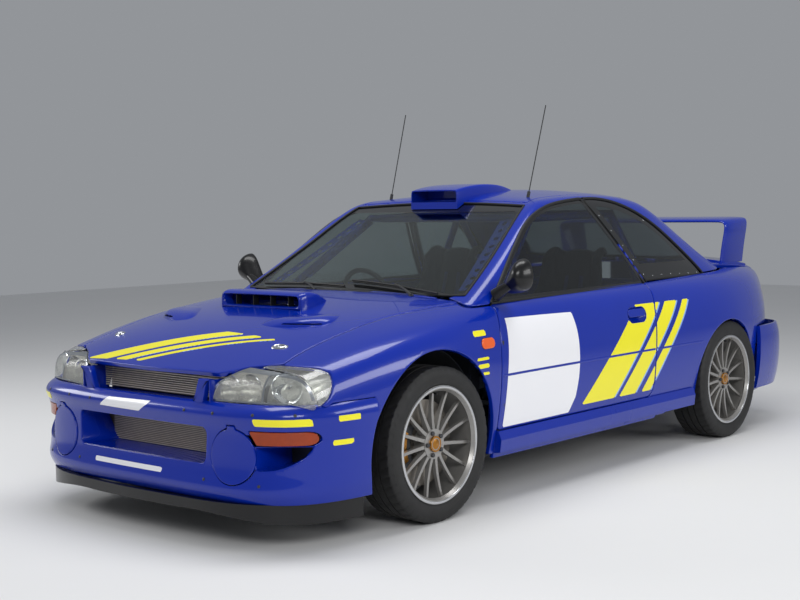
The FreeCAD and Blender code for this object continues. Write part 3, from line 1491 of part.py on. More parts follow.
# Cage: half-width share, station share and roof height share of its joints
cage_tube = 20.0
cage_joint_swell = 0.4
cage_shares = {
    "dash": (.755, .265, .6415),
    "screen": (.585, .45, .895),
    "hoop": (.575, .745, .905),
    "middle": (.76, .745, .6415),
}
cage_front_foot_shares = (.76, .24)
cage_hoop_foot_shares = (.82, .745)
cage_stay_foot_shares = (.62, 1.02)
gusset_width = 58.0
gusset_thickness = 4.0
gusset_start_share = .14
gusset_end_share = .93
gusset_hole_radius = 14.0
gusset_hole_count = 6
gusset_hole_share = .56


def make_rear_wing():
    """Rear wing as one bent aerofoil on a low plinth."""
    front = station_y(wing_front_share)
    path = full_section([(x, belt_height + z) for x, z in wing_path_sizes])
    foot = path[0][1]
    rise = wing_path_sizes[-1][1] - wing_path_sizes[0][1]
    upper = []
    lower = []
    lifts = [wing_rake * (z - foot) / rise for x, z in path]
    for along, above, below in wing_chord_shares:
        y = front + along * wing_chord
        for rows, offset in ((upper, -above), (lower, below)):
            moved = inset_section(path, offset * wing_half_thickness)
            rows.append([Vec(x, y, z + along * lift) for (x, z), lift in zip(moved, lifts)])
    blade = wrapped_solid(upper, lower)
    half = wing_path_sizes[0][0] + plinth_side
    near = front - plinth_margin
    far = front + wing_chord + plinth_margin
    runs = [
        [(-half + plinth_corner, near), (half - plinth_corner, near)],
        [(half - plinth_corner / 4, near + plinth_corner / 4), (half, near + plinth_corner)],
        [(half, far - plinth_corner)],
        [(half - plinth_corner / 4, far - plinth_corner / 4), (half - plinth_corner, far)],
        [(-half + plinth_corner, far)],
        [(-half + plinth_corner / 4, far - plinth_corner / 4), (-half, far - plinth_corner)],
        [(-half, near + plinth_corner)],
        [(-half + plinth_corner / 4, near + plinth_corner / 4),
         (-half + plinth_corner, near)],
    ]
    raised = hull.copy()
    raised.translate(Vec(0, 0, plinth_rise))
    plinth = raised.common(plan_prism(runs, cowl_z, high))
    save("rear_wing", largest(blade.fuse(plinth).cut(hull)))


def make_scoop():
    """Roof scoop with an open mouth."""
    middle = station_y(roof_scoop_share)
    stations = [(middle + y, 0, half, roof_height + top)
                for y, half, top in roof_scoop_sizes]
    foot = [roof_height - roof_scoop_foot_drop] * len(stations)
    outer = net_solid(hood_net(stations, hood_section_shares, foot, 0))
    start = stations[0][0]
    ahead = [(start - roof_scoop_wall,) + stations[0][1:]] + stations[1:]
    raised = [z + roof_scoop_sill for z in foot]
    inner = net_solid(hood_net(ahead, hood_section_shares, raised, roof_scoop_wall))
    mouth = block(-wide, wide, start - overrun, start + roof_scoop_depth, low,
                  high + overrun)
    save("roof_scoop", largest(outer.cut(inner.common(mouth)).cut(canopy)))


def make_seats():
    """Two bucket seats with raised sides."""
    hip = station_y(seat_hip_share)

    def runs(sizes):
        return [[(hip + y, floor_top_z + seat_clearance + z) for y, z in run]
                for run in sizes]

    outer_x = seat_inner_x + seat_width
    seat = side_prism(runs(seat_core_sizes), seat_inner_x + seat_side / 2,
                      outer_x - seat_side / 2)
    sides = [side_prism(runs(seat_side_sizes), seat_inner_x, seat_inner_x + seat_side),
             side_prism(runs(seat_side_sizes), outer_x - seat_side, outer_x)]
    save("seats", pair(seat.fuse(sides)))


def make_cage():
    """Roll cage with a drilled plate along each front leg."""
    points = {}
    for name, (x_share, y_share, z_share) in cage_shares.items():
        points[name] = Vec(x_share * half_width, station_y(y_share), z_share * roof_height)
    feet = []
    for x_share, y_share in (cage_front_foot_shares, cage_hoop_foot_shares):
        feet.append(Vec(x_share * half_width, station_y(y_share), floor_top_z))
    x_share, y_share = cage_stay_foot_shares
    stay = Vec(x_share * half_width, station_y(y_share), rear_floor_top_z)
    runs = [(feet[0], points["dash"]), (points["dash"], points["screen"]),
            (points["screen"], points["hoop"]), (points["hoop"], points["middle"]),
            (points["middle"], feet[1]), (points["hoop"], stay)]
    half = [rod(start, end, cage_tube) for start, end in runs]
    for point in points.values():
        half.append(Part.makeSphere(cage_tube + cage_joint_swell, point))
    leg = points["screen"] - points["dash"]
    start = points["dash"] + leg * gusset_start_share
    end = points["dash"] + leg * gusset_end_share
    inward = Vec(-gusset_width, 0, 0)
    face = Part.Face(Part.makePolygon([start, end, end + inward, start + inward, start]))
    normal = leg.cross(inward)
    normal.normalize()
    plate = face.extrude(normal * gusset_thickness)
    for index in range(gusset_hole_count):
        share = (2 * index + 1) / 2 / gusset_hole_count
        middle = start + (end - start) * share + inward * gusset_hole_share
        plate = plate.cut(rod(middle - normal * overrun, middle + normal * overrun,
                              gusset_hole_radius))
    half.append(plate)
    cage = half[0].fuse(half[1:])
    bars = []
    for name in ("screen", "hoop", "middle"):
        point = points[name]
        bars.append(rod(point, Vec(-point.x, point.y, point.z), cage_tube))
    cage = cage.fuse([mirrored(cage)] + bars)
    below = block(-wide, wide, front_axle_y, rear_step_y, low, floor_top_z)
    behind = block(-wide, wide, rear_step_y, tail_y, low, rear_floor_top_z)
    save("roll_cage", cage.cut(below).cut(behind))


def make_fittings():
    """Aerials, dashboard and exhaust."""
    aerials = []
    for sign in (1, -1):
        base = Vec(sign * aerial_foot_x, station_y(aerial_foot_share), aerial_foot_z)
        tip = Vec(sign * aerial_tip_x, station_y(aerial_tip_share), aerial_tip_z)
        way = tip - base
        way.normalize()
        foot = rod(base, base + way * aerial_base_length, aerial_base_radius)
        whip = rod(base, tip, whip_radius)
        aerials.append(largest(foot.fuse(whip).cut(canopy)))
    save("aerials", Part.Compound(aerials))

    dash = block(-dash_half, dash_half, firewall_y + sheet_thickness,
                 station_y(dash_back_share), dash_low_z, dash_top_z)
    wheel_y = station_y(wheel_share)
    centre = Vec(column_x, wheel_y, steering_wheel_z)
    column = rod(Vec(column_x, station_y(column_start_share), column_start_z), centre,
                 column_radius)
    wheel = Part.makeTorus(steering_wheel_radius, steering_rim_radius, centre,
                           Vec(*steering_lean_shares))
    spoke = block(column_x - steering_wheel_radius, column_x + steering_wheel_radius,
                  wheel_y - steering_spoke_half, wheel_y + steering_spoke_half,
                  steering_wheel_z - steering_spoke_rise,
                  steering_wheel_z + steering_spoke_rise)
    dash = dash.common(hull_frame_void)
    save("dashboard", dash.fuse([column, wheel, spoke]))

    pipe = pipe_line(pipe_radius, 0, 0).cut(pipe_line(pipe_radius - pipe_wall, overrun,
                                                      overrun))
    hanger = block(pipe_x - hanger_half, pipe_x + hanger_half, station_y(hanger_share),
                   station_y(hanger_end_share), pipe_front_z, rear_floor_z)
    core = pipe_line(pipe_radius - pipe_wall / 2, overrun, overrun)
    save("exhaust", pipe.fuse(hanger.cut(core)))


make_bonnet()
make_panels()
make_nose()
make_structure()
make_running_gear()
make_doors()
make_rear_wing()
make_scoop()
make_seats()
make_cage()
make_fittings()
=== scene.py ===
"""Looks of a two-door rally car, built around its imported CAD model.

Lengths are in metres, in the frame of the CAD: +X to the car's left, +Y to the rear, +Z up,
with the origin on the floor, on the centre plane, half-way along the car.
"""

import json
import logging
import math
from dataclasses import dataclass, field
from enum import Enum
from typing import Callable, Optional, Sequence

import bpy
import numpy as np
from mathutils import Matrix, Vector

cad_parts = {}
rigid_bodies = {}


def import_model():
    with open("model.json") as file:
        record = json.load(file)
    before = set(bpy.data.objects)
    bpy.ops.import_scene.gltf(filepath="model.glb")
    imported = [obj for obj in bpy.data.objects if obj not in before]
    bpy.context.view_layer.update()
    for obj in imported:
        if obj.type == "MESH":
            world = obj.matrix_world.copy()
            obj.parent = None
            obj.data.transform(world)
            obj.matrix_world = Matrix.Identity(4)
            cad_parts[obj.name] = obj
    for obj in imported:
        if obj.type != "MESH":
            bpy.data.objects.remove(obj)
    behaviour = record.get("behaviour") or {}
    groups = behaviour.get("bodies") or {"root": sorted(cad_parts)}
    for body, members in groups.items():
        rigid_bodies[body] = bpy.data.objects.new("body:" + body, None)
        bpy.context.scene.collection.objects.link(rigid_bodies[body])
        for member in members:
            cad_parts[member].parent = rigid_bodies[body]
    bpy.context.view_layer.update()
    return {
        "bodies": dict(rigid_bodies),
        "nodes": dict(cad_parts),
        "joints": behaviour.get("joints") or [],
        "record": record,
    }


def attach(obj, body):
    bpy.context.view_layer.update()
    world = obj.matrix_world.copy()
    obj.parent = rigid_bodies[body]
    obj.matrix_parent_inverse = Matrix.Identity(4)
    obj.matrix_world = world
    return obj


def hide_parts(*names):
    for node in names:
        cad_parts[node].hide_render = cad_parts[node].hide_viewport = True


LOG = logging.getLogger("rally_car")
Array = np.ndarray
Field = Callable[[Array], Array]
Runs = Sequence[Sequence[Sequence[float]]]

# Main sizes, as in the CAD
MM = 0.001
WHEELBASE = 2.520
FRONT_OVERHANG = 0.885
REAR_OVERHANG = 0.935
HALF_WIDTH = 0.885
BELT = 0.900
ROOF = 1.375
LENGTH = FRONT_OVERHANG + WHEELBASE + REAR_OVERHANG
FRONT_AXLE = -LENGTH / 2 + FRONT_OVERHANG
REAR_AXLE = FRONT_AXLE + WHEELBASE
TYRE_RADIUS = 0.322
TYRE_WIDTH = 0.210
WHEEL_X = 0.775
RIM_RADIUS = 0.244
HUB_FACE = WHEEL_X - 0.0105

# How finely surfaces are sampled, and how a region's edge is found
SECTION_SAMPLES = 401
SECTION_CHORDS = 120
CHUNK = 20000
NEAR = .04
NEWTON_STEPS = 4
NEWTON_REACH = .7
SMALL_STEP = 1e-3
SHARP_ANGLE = 40.0

# The body's nets of poles, the same as in the CAD: a station along the car, then shares of
# the half width and of the belt or roof height. A level of the bumper or the lamps is a
# share of the belt height, of the half width and of the front overhang.
HULL = (
    (-1.02, ((.860, .222), (.890, .340), (.900, .500), (.890, .590), (.850, .640),
             (.760, .662), (.560, .674), (.300, .682), (0, .685))),
    (-0.80, ((.880, .222), (.915, .360), (.930, .520), (.925, .640), (.890, .722),
             (.790, .752), (.580, .774), (.310, .790), (0, .798))),
    (-0.55, ((.905, .222), (.945, .380), (.965, .560), (.965, .690), (.925, .785),
             (.810, .820), (.600, .858), (.320, .885), (0, .895))),
    (-0.28, ((.925, .222), (.965, .400), (.995, .600), (.992, .740), (.945, .845),
             (.830, .882), (.620, .920), (.330, .943), (0, .950))),
    (0.00, ((.930, .222), (.970, .420), (1.01, .630), (1.003, .775), (.950, .880),
            (.845, .920), (.640, .960), (.340, .983), (0, .990))),
    (0.08, ((.930, .222), (.970, .420), (1.00, .620), (.995, .780), (.948, .895),
            (.855, .945), (.655, .982), (.345, 1.005), (0, 1.012))),
    (0.17, ((.935, .222), (.965, .400), (.975, .610), (.968, .780), (.930, .910),
            (.865, .968), (.670, 1.000), (.350, 1.020), (0, 1.028))),
    (0.34, ((.940, .222), (.962, .390), (.972, .610), (.962, .790), (.930, .915),
            (.870, .978), (.680, 1.005), (.355, 1.020), (0, 1.030))),
    (0.52, ((.940, .222), (.964, .390), (.975, .610), (.965, .790), (.932, .920),
            (.870, .985), (.680, 1.010), (.355, 1.020), (0, 1.030))),
    (0.70, ((.940, .222), (.966, .395), (.978, .610), (.970, .800), (.935, .930),
            (.868, .995), (.680, 1.018), (.355, 1.030), (0, 1.035))),
    (0.84, ((.935, .222), (.970, .410), (.990, .620), (.985, .800), (.940, .940),
            (.862, 1.005), (.680, 1.030), (.355, 1.045), (0, 1.050))),
    (0.93, ((.930, .222), (.972, .420), (1.005, .630), (1.00, .790), (.945, .942),
            (.855, 1.010), (.675, 1.040), (.355, 1.055), (0, 1.060))),
    (1.05, ((.925, .222), (.970, .420), (1.008, .630), (1.003, .785), (.942, .942),
            (.845, 1.015), (.670, 1.048), (.350, 1.062), (0, 1.067))),
    (1.25, ((.920, .222), (.960, .410), (.990, .620), (.985, .785), (.925, .942),
            (.828, 1.018), (.660, 1.052), (.345, 1.066), (0, 1.071))),
    (1.50, ((.895, .222), (.925, .400), (.950, .610), (.945, .780), (.890, .935),
            (.795, 1.015), (.640, 1.052), (.340, 1.068), (0, 1.073))),
    (1.72, ((.835, .222), (.855, .390), (.870, .600), (.865, .770), (.820, .925),
            (.745, 1.008), (.610, 1.046), (.335, 1.064), (0, 1.070))),
    (1.90, ((.745, .222), (.760, .380), (.765, .590), (.760, .760), (.730, .912),
            (.680, .995), (.575, 1.035), (.330, 1.056), (0, 1.064))),
)
CANOPY = (
    (0.020, ((.885, .545), (.885, .552), (.880, .557), (.872, .560), (.855, .562),
             (.800, .560), (.450, .552), (.220, .547), (0, .545))),
    (0.079, ((.885, .545), (.880, .560), (.872, .566), (.862, .571), (.835, .575),
             (.785, .574), (.450, .592), (.220, .600), (0, .603))),
    (0.133, ((.880, .545), (.876, .585), (.866, .603), (.852, .616), (.825, .628),
             (.775, .627), (.440, .645), (.220, .653), (0, .656))),
    (0.179, ((.878, .545), (.872, .610), (.856, .640), (.840, .660), (.812, .674),
             (.765, .674), (.440, .690), (.220, .697), (0, .700))),
    (0.238, ((.876, .545), (.868, .625), (.850, .665), (.826, .708), (.790, .735),
             (.735, .738), (.420, .751), (.210, .757), (0, .759))),
    (0.310, ((.875, .545), (.866, .630), (.826, .715), (.775, .797), (.742, .818),
             (.690, .816), (.400, .824), (.200, .829), (0, .830))),
    (0.377, ((.875, .545), (.866, .632), (.810, .750), (.730, .875), (.700, .902),
             (.648, .897), (.380, .896), (.190, .896), (0, .897))),
    (0.421, ((.875, .545), (.866, .633), (.800, .765), (.710, .910), (.680, .945),
             (.620, .944), (.370, .944), (.185, .944), (0, .945))),
    (0.452, ((.875, .545), (.866, .633), (.795, .772), (.700, .925), (.668, .961),
             (.605, .963), (.370, .968), (.185, .970), (0, .971))),
    (0.500, ((.875, .545), (.866, .633), (.792, .776), (.692, .935), (.655, .966),
             (.595, .970), (.370, .980), (.185, .986), (0, .988))),
    (0.575, ((.875, .545), (.866, .633), (.790, .780), (.686, .942), (.648, .973),
             (.585, .978), (.365, .990), (.180, .998), (0, 1.001))),
    (0.675, ((.875, .545), (.864, .634), (.790, .780), (.686, .942), (.646, .974),
             (.583, .980), (.360, .993), (.180, 1.002), (0, 1.005))),
    (0.754, ((.875, .545), (.862, .635), (.790, .776), (.690, .930), (.650, .964),
             (.585, .974), (.360, .990), (.180, .999), (0, 1.002))),
    (0.806, ((.872, .545), (.858, .637), (.792, .768), (.698, .910), (.656, .948),
             (.590, .962), (.360, .982), (.180, .991), (0, .994))),
    (0.841, ((.870, .545), (.855, .638), (.795, .760), (.706, .890), (.662, .930),
             (.597, .945), (.360, .966), (.180, .974), (0, .977))),
    (0.893, ((.866, .545), (.850, .640), (.798, .742), (.722, .845), (.678, .883),
             (.612, .897), (.365, .914), (.183, .922), (0, .925))),
    (0.952, ((.860, .545), (.845, .642), (.802, .715), (.745, .785), (.702, .818),
             (.636, .833), (.380, .850), (.190, .858), (0, .861))),
    (1.032, ((.852, .545), (.838, .643), (.804, .690), (.765, .730), (.726, .755),
             (.665, .768), (.400, .787), (.200, .796), (0, .800))),
    (1.193, ((.844, .545), (.830, .640), (.806, .660), (.780, .680), (.748, .695),
             (.695, .706), (.420, .726), (.210, .736), (0, .740))),
    (1.353, ((.836, .545), (.822, .622), (.806, .632), (.786, .640), (.758, .646),
             (.710, .652), (.430, .668), (.215, .676), (0, .680))),
    (1.513, ((.828, .545), (.815, .590), (.800, .594), (.785, .597), (.760, .600),
             (.715, .604), (.430, .612), (.215, .617), (0, .620))),
)
FRONT_LEVELS = (
    (.205, .965, .958),
    (.240, .975, .982),
    (.275, .982, .984),
    (.310, .985, .966),
    (.380, .990, .960),
    (.450, .994, .958),
    (.510, .996, .958),
    (.545, .998, .974),
    (.570, .998, .986),
    (.595, .994, .978),
    (.612, .986, .954),
    (.622, .978, .932),
)
FRONT_POLES_X = (1, .995, .96, .864, .66, .342, 0)
FRONT_POLES_Y = (.570, .744, .896, .977, .996, 1)
LAMP_LEVELS = (
    (.560, 1.0),
    (.622, 1.0),
    (.680, .992),
    (.720, .965),
    (.750, .930),
    (.775, .880),
    (.810, .800),
)
LAMP_POLES_X = (1, .995, .965, .860, .700, .420, 0)
LAMP_POLES_Y = (.600, .735, .815, .872, .920, .935)
REAR_BUMPER = (
    (0.250, ((.950, .420), (.945, .600), (.910, .790), (.800, .920), (.600, .960),
             (.300, .968), (0, .970))),
    (0.340, ((.975, .420), (.968, .600), (.935, .800), (.825, .945), (.620, .985),
             (.300, .995), (0, .998))),
    (0.480, ((.985, .420), (.978, .600), (.942, .805), (.832, .952), (.625, .990),
             (.300, 1.002), (0, 1.0045))),
    (0.600, ((.985, .420), (.978, .600), (.942, .800), (.830, .945), (.620, .982),
             (.300, .992), (0, .995))),
    (0.650, ((.975, .420), (.966, .600), (.925, .790), (.810, .925), (.605, .960),
             (.300, .970), (0, .973))),
)

# Outlines seen from the side, from above or from the front. Each run is a smooth line that
# starts where the run before it ends, so a corner lies between two runs.
DOOR = (
    ((.196, .962), (.184, .877), (.173, .602), (.167, .369)),
    ((.172, .352),),
    ((.636, .350),),
    ((.682, .372), (.692, .444)),
    ((.6955, .667), (.699, .844)),
    ((.714, .992),),
    ((.450, .985), (.196, .962)),
)
DOOR_GLASS = (
    ((.196, .631), (.2615, .731), (.329, .8255), (.387, .8945), (.450, .935),
     (.510, .952), (.589, .9635)),
    ((.724, .640),),
    ((.450, .634), (.196, .631)),
)
QUARTER_GLASS = (
    ((.597, .9635), (.640, .964), (.690, .955), (.740, .934), (.800, .893),
     (.855, .838), (.915, .762), (.965, .690), (.985, .656)),
    ((.727, .655),),
)


def symmetric(middle: Sequence, *sides: Sequence, last: Sequence = ()) -> Runs:
    """Runs of an outline that is its own mirror image, from its half where x is positive.

    Args:
        middle: first run, from the centre line or across it to the side.
        sides: runs that follow on that side.
        last: points of the run that leads back to the centre line.
    """
    def turned(points: Sequence) -> list:
        """The mirror image of points, in reverse, less those on the centre line."""
        return [(-x, y) for x, y in reversed(points) if x]

    starts = [middle[-1]] + [run[-1] for run in sides]
    first = turned(middle) + list(middle)
    across = list(last) + turned([starts[-1], *last])
    left = [turned([start, *run[:-1]]) for start, run in zip(starts[-2::-1], sides[::-1])]
    return [first, *sides, across, *left]


WINDSCREEN = symmetric(
    ((0, .133), (.400, .141), (.777, .1615)),
    ((.723, .259), (.678, .3266), (.644, .378), (.612, .420)),
    last=((.300, .4295), (0, .4315)))
ROOF_PLAN = symmetric(
    ((0, .4435), (.300, .4415), (.600, .433)),
    ((.585, .500), (.573, .600), (.562, .700), (.545, .798)),
    last=((.300, .791), (0, .789)))
REAR_WINDOW = symmetric(
    ((0, .802), (.300, .804), (.530, .812)),
    ((.562, .930), (.612, 1.050), (.665, 1.150)),
    last=((.400, 1.240), (0, 1.262)))
BONNET = symmetric(
    ((0, .113), (.400, .122), (.778, .148)),
    ((.757, .095), (.730, .010), (.717, -.110), (.714, -.280), (.709, -.450),
     (.704, -.620), (.712, -.727)),
    ((.640, -.772), (.570, -.812), (.520, -.852), (.470, -.884)),
    last=((.230, -.902), (0, -.910)))
BOOT_LID = symmetric(((0, 1.355), (.300, 1.350), (.672, 1.320)),
                     ((.690, 1.500), (.690, 1.700), (.660, 1.960)))
WING = (
    ((.196, .962), (.184, .877), (.173, .602), (.167, .369), (.164, .240)),
    ((-.600, .240),),
    ((-.720, .600),),
    ((-.760, 1.050),),
    ((.196, 1.050),),
)
HEADLAMP_PLAN = (
    ((.470, -.884), (.520, -.852), (.570, -.812), (.640, -.772), (.712, -.737)),
    ((.764, -.722), (.823, -.694), (.872, -.663), (.906, -.642)),
    ((.950, -.634), (1.100, -.640)),
    ((1.100, -1.100),),
    ((.380, -1.100),),
    ((.380, -.950),),
)
HEADLAMP_FRONT = (
    ((.420, .580), (.424, .618), (.433, .648), (.448, .692), (.484, .728), (.545, .758),
     (.640, .785)),
    ((.640, .950),),
    ((1.200, .950),),
    ((1.200, .580),),
)
HEADLAMP_SIDE = (
    ((-1.200, .600), (-.760, .600)),
    ((-.715, .626), (-.680, .652), (-.658, .690), (-.646, .735), (-.632, .790)),
    ((-.632, .950),),
    ((-1.200, .950),),
)
INTAKE = symmetric(
    ((.418, .513),),
    ((.436, .511), (.447, .502), (.451, .486)),
    ((.446, .392),),
    ((.442, .372), (.432, .360), (.414, .356)))
UPRIGHT = (
    ((.338, .599), (.409, .599)),
    ((.414, .618), (.423, .648), (.436, .690), (.458, .716)),
    ((.392, .716),),
    ((.376, .680), (.362, .640), (.338, .599)),
)

# Half sections of the raised forms: shares of the half width and of the height
HOOD_SECTION = ((1, 0), (1, .45), (1, .80), (.975, 1), (.90, 1.02), (.60, 1.03),
                (.30, 1.035), (0, 1.035))
VENT_SECTION = ((1, 0), (.96, .50), (.84, .82), (.62, .97), (.32, 1.0), (0, 1.0))


def station(share: float) -> float:
    """Place along the car of a station share.

    Args:
        share: below 0 a share of the front overhang ahead of the front axle, above 1 a
            share of the rear overhang behind the rear axle, else a share of the wheelbase.

    Returns:
        The Y coordinate in metres.
    """
    if share < 0:
        return FRONT_AXLE + share * FRONT_OVERHANG
    if share > 1:
        return REAR_AXLE + (share - 1) * REAR_OVERHANG
    return FRONT_AXLE + share * WHEELBASE


def basis(count: int, t: Array) -> Array:
    """Clamped uniform cubic B-spline weights.

    Each weight is the Cox-de Boor recursion raised three times from steps between knots.

    Args:
        count: number of poles.
        t: parameters from 0 to 1.

    Returns:
        One row of count weights for each parameter.
    """
    knots = np.concatenate([np.zeros(3), np.linspace(0, 1, count - 2), np.ones(3)])
    t = np.clip(np.asarray(t, float), 0, 1 - 1e-9)[:, None]
    weights = ((knots[:-1] <= t) & (t < knots[1:])).astype(float)
    for degree in (1, 2, 3):
        spans = len(knots) - 1 - degree
        rise = knots[degree:degree + spans] - knots[:spans]
        fall = knots[degree + 1:degree + 1 + spans] - knots[1:1 + spans]
        up = np.where(rise > 0, (t - knots[:spans]) / np.where(rise > 0, rise, 1), 0)
        down = np.where(fall > 0, (knots[degree + 1:degree + 1 + spans] - t)
                        / np.where(fall > 0, fall, 1), 0)
        weights = weights[:, :spans] * up + weights[:, 1:spans + 1] * down
    return weights


def unit(vectors: Array) -> Array:
    """Vectors scaled to length one along the last axis."""
    size = np.linalg.norm(vectors, axis=-1, keepdims=True)
    return vectors / np.where(size > 1e-12, size, 1)


@dataclass
class Net:
    """A clamped cubic surface over rows of poles.

    The coordinate on axis `run` depends on u alone, so it can be turned back into u.
    """

    poles: Array
    run: int

    @classmethod
    def across(cls, table: Sequence, height: float) -> "Net":
        """Net with sections across the car, from the left foot over the top."""
        rows = []
        for share, half in table:
            full = list(half) + [(-a, b) for a, b in half[-2::-1]]
            rows.append([(a * HALF_WIDTH, station(share), b * height) for a, b in full])
        return cls(np.array(rows), 1)

    @classmethod
    def level(cls, table: Sequence, axle: float, overhang: float, forward: int) -> "Net":
        """Net with level sections that bend round one end of the car."""
        rows = []
        for share, half in table:
            full = list(half) + [(-a, b) for a, b in half[-2::-1]]
            if forward > 0:
                full = full[::-1]
            rows.append([(a * HALF_WIDTH, axle + forward * b * overhang, share * BELT)
                         for a, b in full])
        return cls(np.array(rows), 2)

    @classmethod
    def hood(cls, stations: Sequence, section: Sequence, foot: float, slope: float) -> "Net":
        """Net of a raised form with a flat foot.

        Args:
            stations: place along the car, centre, half width and top height of each.
            section: shares of the half width and of the height over the foot.
            foot: height of the foot at the first station.
            slope: rise of the foot for each metre along the car.
        """
        rows = []
        for y, centre, half, top in stations:
            low = foot + slope * (y - stations[0][0])
            full = list(section) + [(-a, b) for a, b in section[-2::-1]]
            rows.append([(centre + half * a, y, low + (top - low) * b) for a, b in full])
        return cls(np.array(rows), 1)

    def sections(self, place: Array) -> Array:
        """Poles of the section at each place along the run axis."""
        return self.rows(self.u_of(place))

    def rows(self, u: Array) -> Array:
        """Poles of the section at each u."""
        made = basis(self.poles.shape[0], u) @ self.poles.reshape(len(self.poles), -1)
        return made.reshape(len(u), self.poles.shape[1], 3)

    def reach(self, x: Array, z: Array) -> Array:
        """Place along the car of a level net's surface at each x and z.

        The level's section is sampled, and the place is read between the two samples
        that x lies between.
        """
        x, z = np.broadcast_arrays(np.asarray(x, float), np.asarray(z, float))
        v = np.linspace(0, 1, SECTION_SAMPLES)
        curve = np.einsum("nvk,mv->nmk", self.sections(z.ravel()),
                          basis(self.poles.shape[1], v))
        if curve[0, 0, 0] > curve[0, -1, 0]:
            curve = curve[:, ::-1]
        place = np.clip((curve[..., 0] < x.ravel()[:, None]).sum(1), 1, len(v) - 1)
        pick = np.arange(len(curve))
        a, b = curve[pick, place - 1], curve[pick, place]
        share = (x.ravel() - a[:, 0]) / np.maximum(b[:, 0] - a[:, 0], 1e-9)
        return (a[:, 1] + (b[:, 1] - a[:, 1]) * np.clip(share, 0, 1)).reshape(x.shape)

    def spot(self, place: Array, value: Array, axis: int) -> tuple[Array, Array]:
        """Points and normals of the left half where a coordinate has a value.

        Args:
            place: places along the run axis.
            value: value wanted at each of them.
            axis: 2 looks from the side, up the section, and 0 from above, out from the
                middle.
        """
        place, value = np.atleast_1d(place), np.atleast_1d(value)
        u = self.u_of(place)
        v = np.linspace(0, .5, SECTION_SAMPLES)
        line = np.einsum("nv,mv->nm", self.rows(u)[:, :, axis],
                         basis(self.poles.shape[1], v))
        before = line > value[:, None] if axis == 0 else line < value[:, None]
        k = np.clip(before.sum(1), 1, len(v) - 1)
        pick = np.arange(len(u))
        a, b = line[pick, k - 1], line[pick, k]
        share = np.clip((value - a) / np.where(np.abs(b - a) > 1e-12, b - a, 1), 0, 1)
        v = v[k - 1] + (v[k] - v[k - 1]) * share
        return self.at(u, v), self.normal(u, v)

    def flank(self, y: Array, z: Array) -> tuple[Array, Array]:
        """Points and normals of the left flank at places and heights."""
        return self.spot(y, z, 2)

    def crown(self, x: Array, y: Array) -> tuple[Array, Array]:
        """Points and normals seen from above, on either side of the centre plane."""
        x = np.atleast_1d(x)
        points, normals = self.spot(y, np.abs(x), 0)
        side = np.where(x < 0, -1.0, 1.0)
        points[:, 0] *= side
        normals[:, 0] *= side
        return points, normals

    def at(self, u: Array, v: Array) -> Array:
        """Points of the surface: the poles weighted by the basis of u and of v."""
        return (self.rows(u) * basis(self.poles.shape[1], v)[:, :, None]).sum(1)

    def normal(self, u: Array, v: Array) -> Array:
        """Outward unit normals: the cross product of the two small steps."""
        h = 1e-4
        along = self.at(u + h, v) - self.at(u - h, v)
        over = self.at(u, v + h) - self.at(u, v - h)
        return unit(np.cross(along, over))

    def u_of(self, place: Array) -> Array:
        """Parameter u whose section lies at that place along the run axis."""
        u = np.linspace(0, 1, 1200)
        return np.interp(place, self.at(u, u * 0 + .5)[:, self.run], u)

    def even_v(self, u: float, low: float, high: float, step: float) -> Array:
        """Values of v about one step apart along the section at u."""
        v = np.linspace(low, high, 800)
        points = self.at(v * 0 + u, v)
        run = np.concatenate([[0], np.cumsum(np.linalg.norm(np.diff(points, axis=0), axis=1))])
        count = max(int(math.ceil(run[-1] / step)), 2)
        return np.interp(np.linspace(0, run[-1], count + 1), run, v)

    def field(self, points: Array) -> Array:
        """Signed distance to the surface within each section, below zero inside.

        It is the distance to the nearest chord of the section through the point, with
        the sign of the side that the point lies on.
        """
        others = [2, 0] if self.run == 1 else [0, 1]
        wv = basis(self.poles.shape[1], np.linspace(0, 1, SECTION_CHORDS + 1))
        result = np.empty(len(points))
        for start in range(0, len(points), CHUNK):
            part = points[start:start + CHUNK]
            curve = np.einsum("nvk,mv->nmk", self.sections(part[:, self.run])[:, :, others],
                              wv)
            result[start:start + CHUNK] = chord_distance(part[:, others], curve)
        low = self.poles[..., self.run].min()
        high = self.poles[..., self.run].max()
        place = points[:, self.run]
        result = np.maximum(result, np.maximum(low - place, place - high))
        rise = 3 - self.run
        foot = self.poles[0, 0, rise]
        inward = np.sign(self.poles[0, self.poles.shape[1] // 2, rise] - foot)
        return np.maximum(result, inward * (foot - points[:, rise]))


def levelled(levels: Sequence, x_shares: Sequence, y_shares: Sequence,
             edge_share: float = .430) -> list:
    """Table for a level net from its levels and the poles that they share.

    Each pole is a share of the level's edge and of its front, and the first one stays at
    one place along the car.
    """
    table = []
    for level, edge, front in levels:
        poles = [(edge * x_shares[0], edge_share)]
        poles += [(edge * x, front * y) for x, y in zip(x_shares[1:], y_shares)]
        table.append((level, poles))
    return table


def chord_distance(points: Array, curve: Array) -> Array:
    """Signed distance from each point to its own polyline.

    Args:
        points: n points of a plane.
        curve: n polylines of m points, which turn to the left round what is inside.

    Returns:
        The distance to the nearest chord, below zero on the polyline's inner side.
    """
    a = curve[:, :-1]
    run = curve[:, 1:] - a
    gap = points[:, None] - a
    share = np.clip((gap * run).sum(2) / np.maximum((run * run).sum(2), 1e-18), 0, 1)
    near = gap - run * share[..., None]
    distance = np.linalg.norm(near, axis=2)
    best = distance.argmin(1)
    rows = np.arange(len(points))
    side = run[rows, best, 0] * near[rows, best, 1] - run[rows, best, 1] * near[rows, best, 0]
    return np.where(side > 0, distance[rows, best], -distance[rows, best])


class View(Enum):
    """The plane that an outline is drawn in, as the two axes that it keeps."""

    SIDE = (1, 2)
    PLAN = (0, 1)
    FRONT = (0, 2)


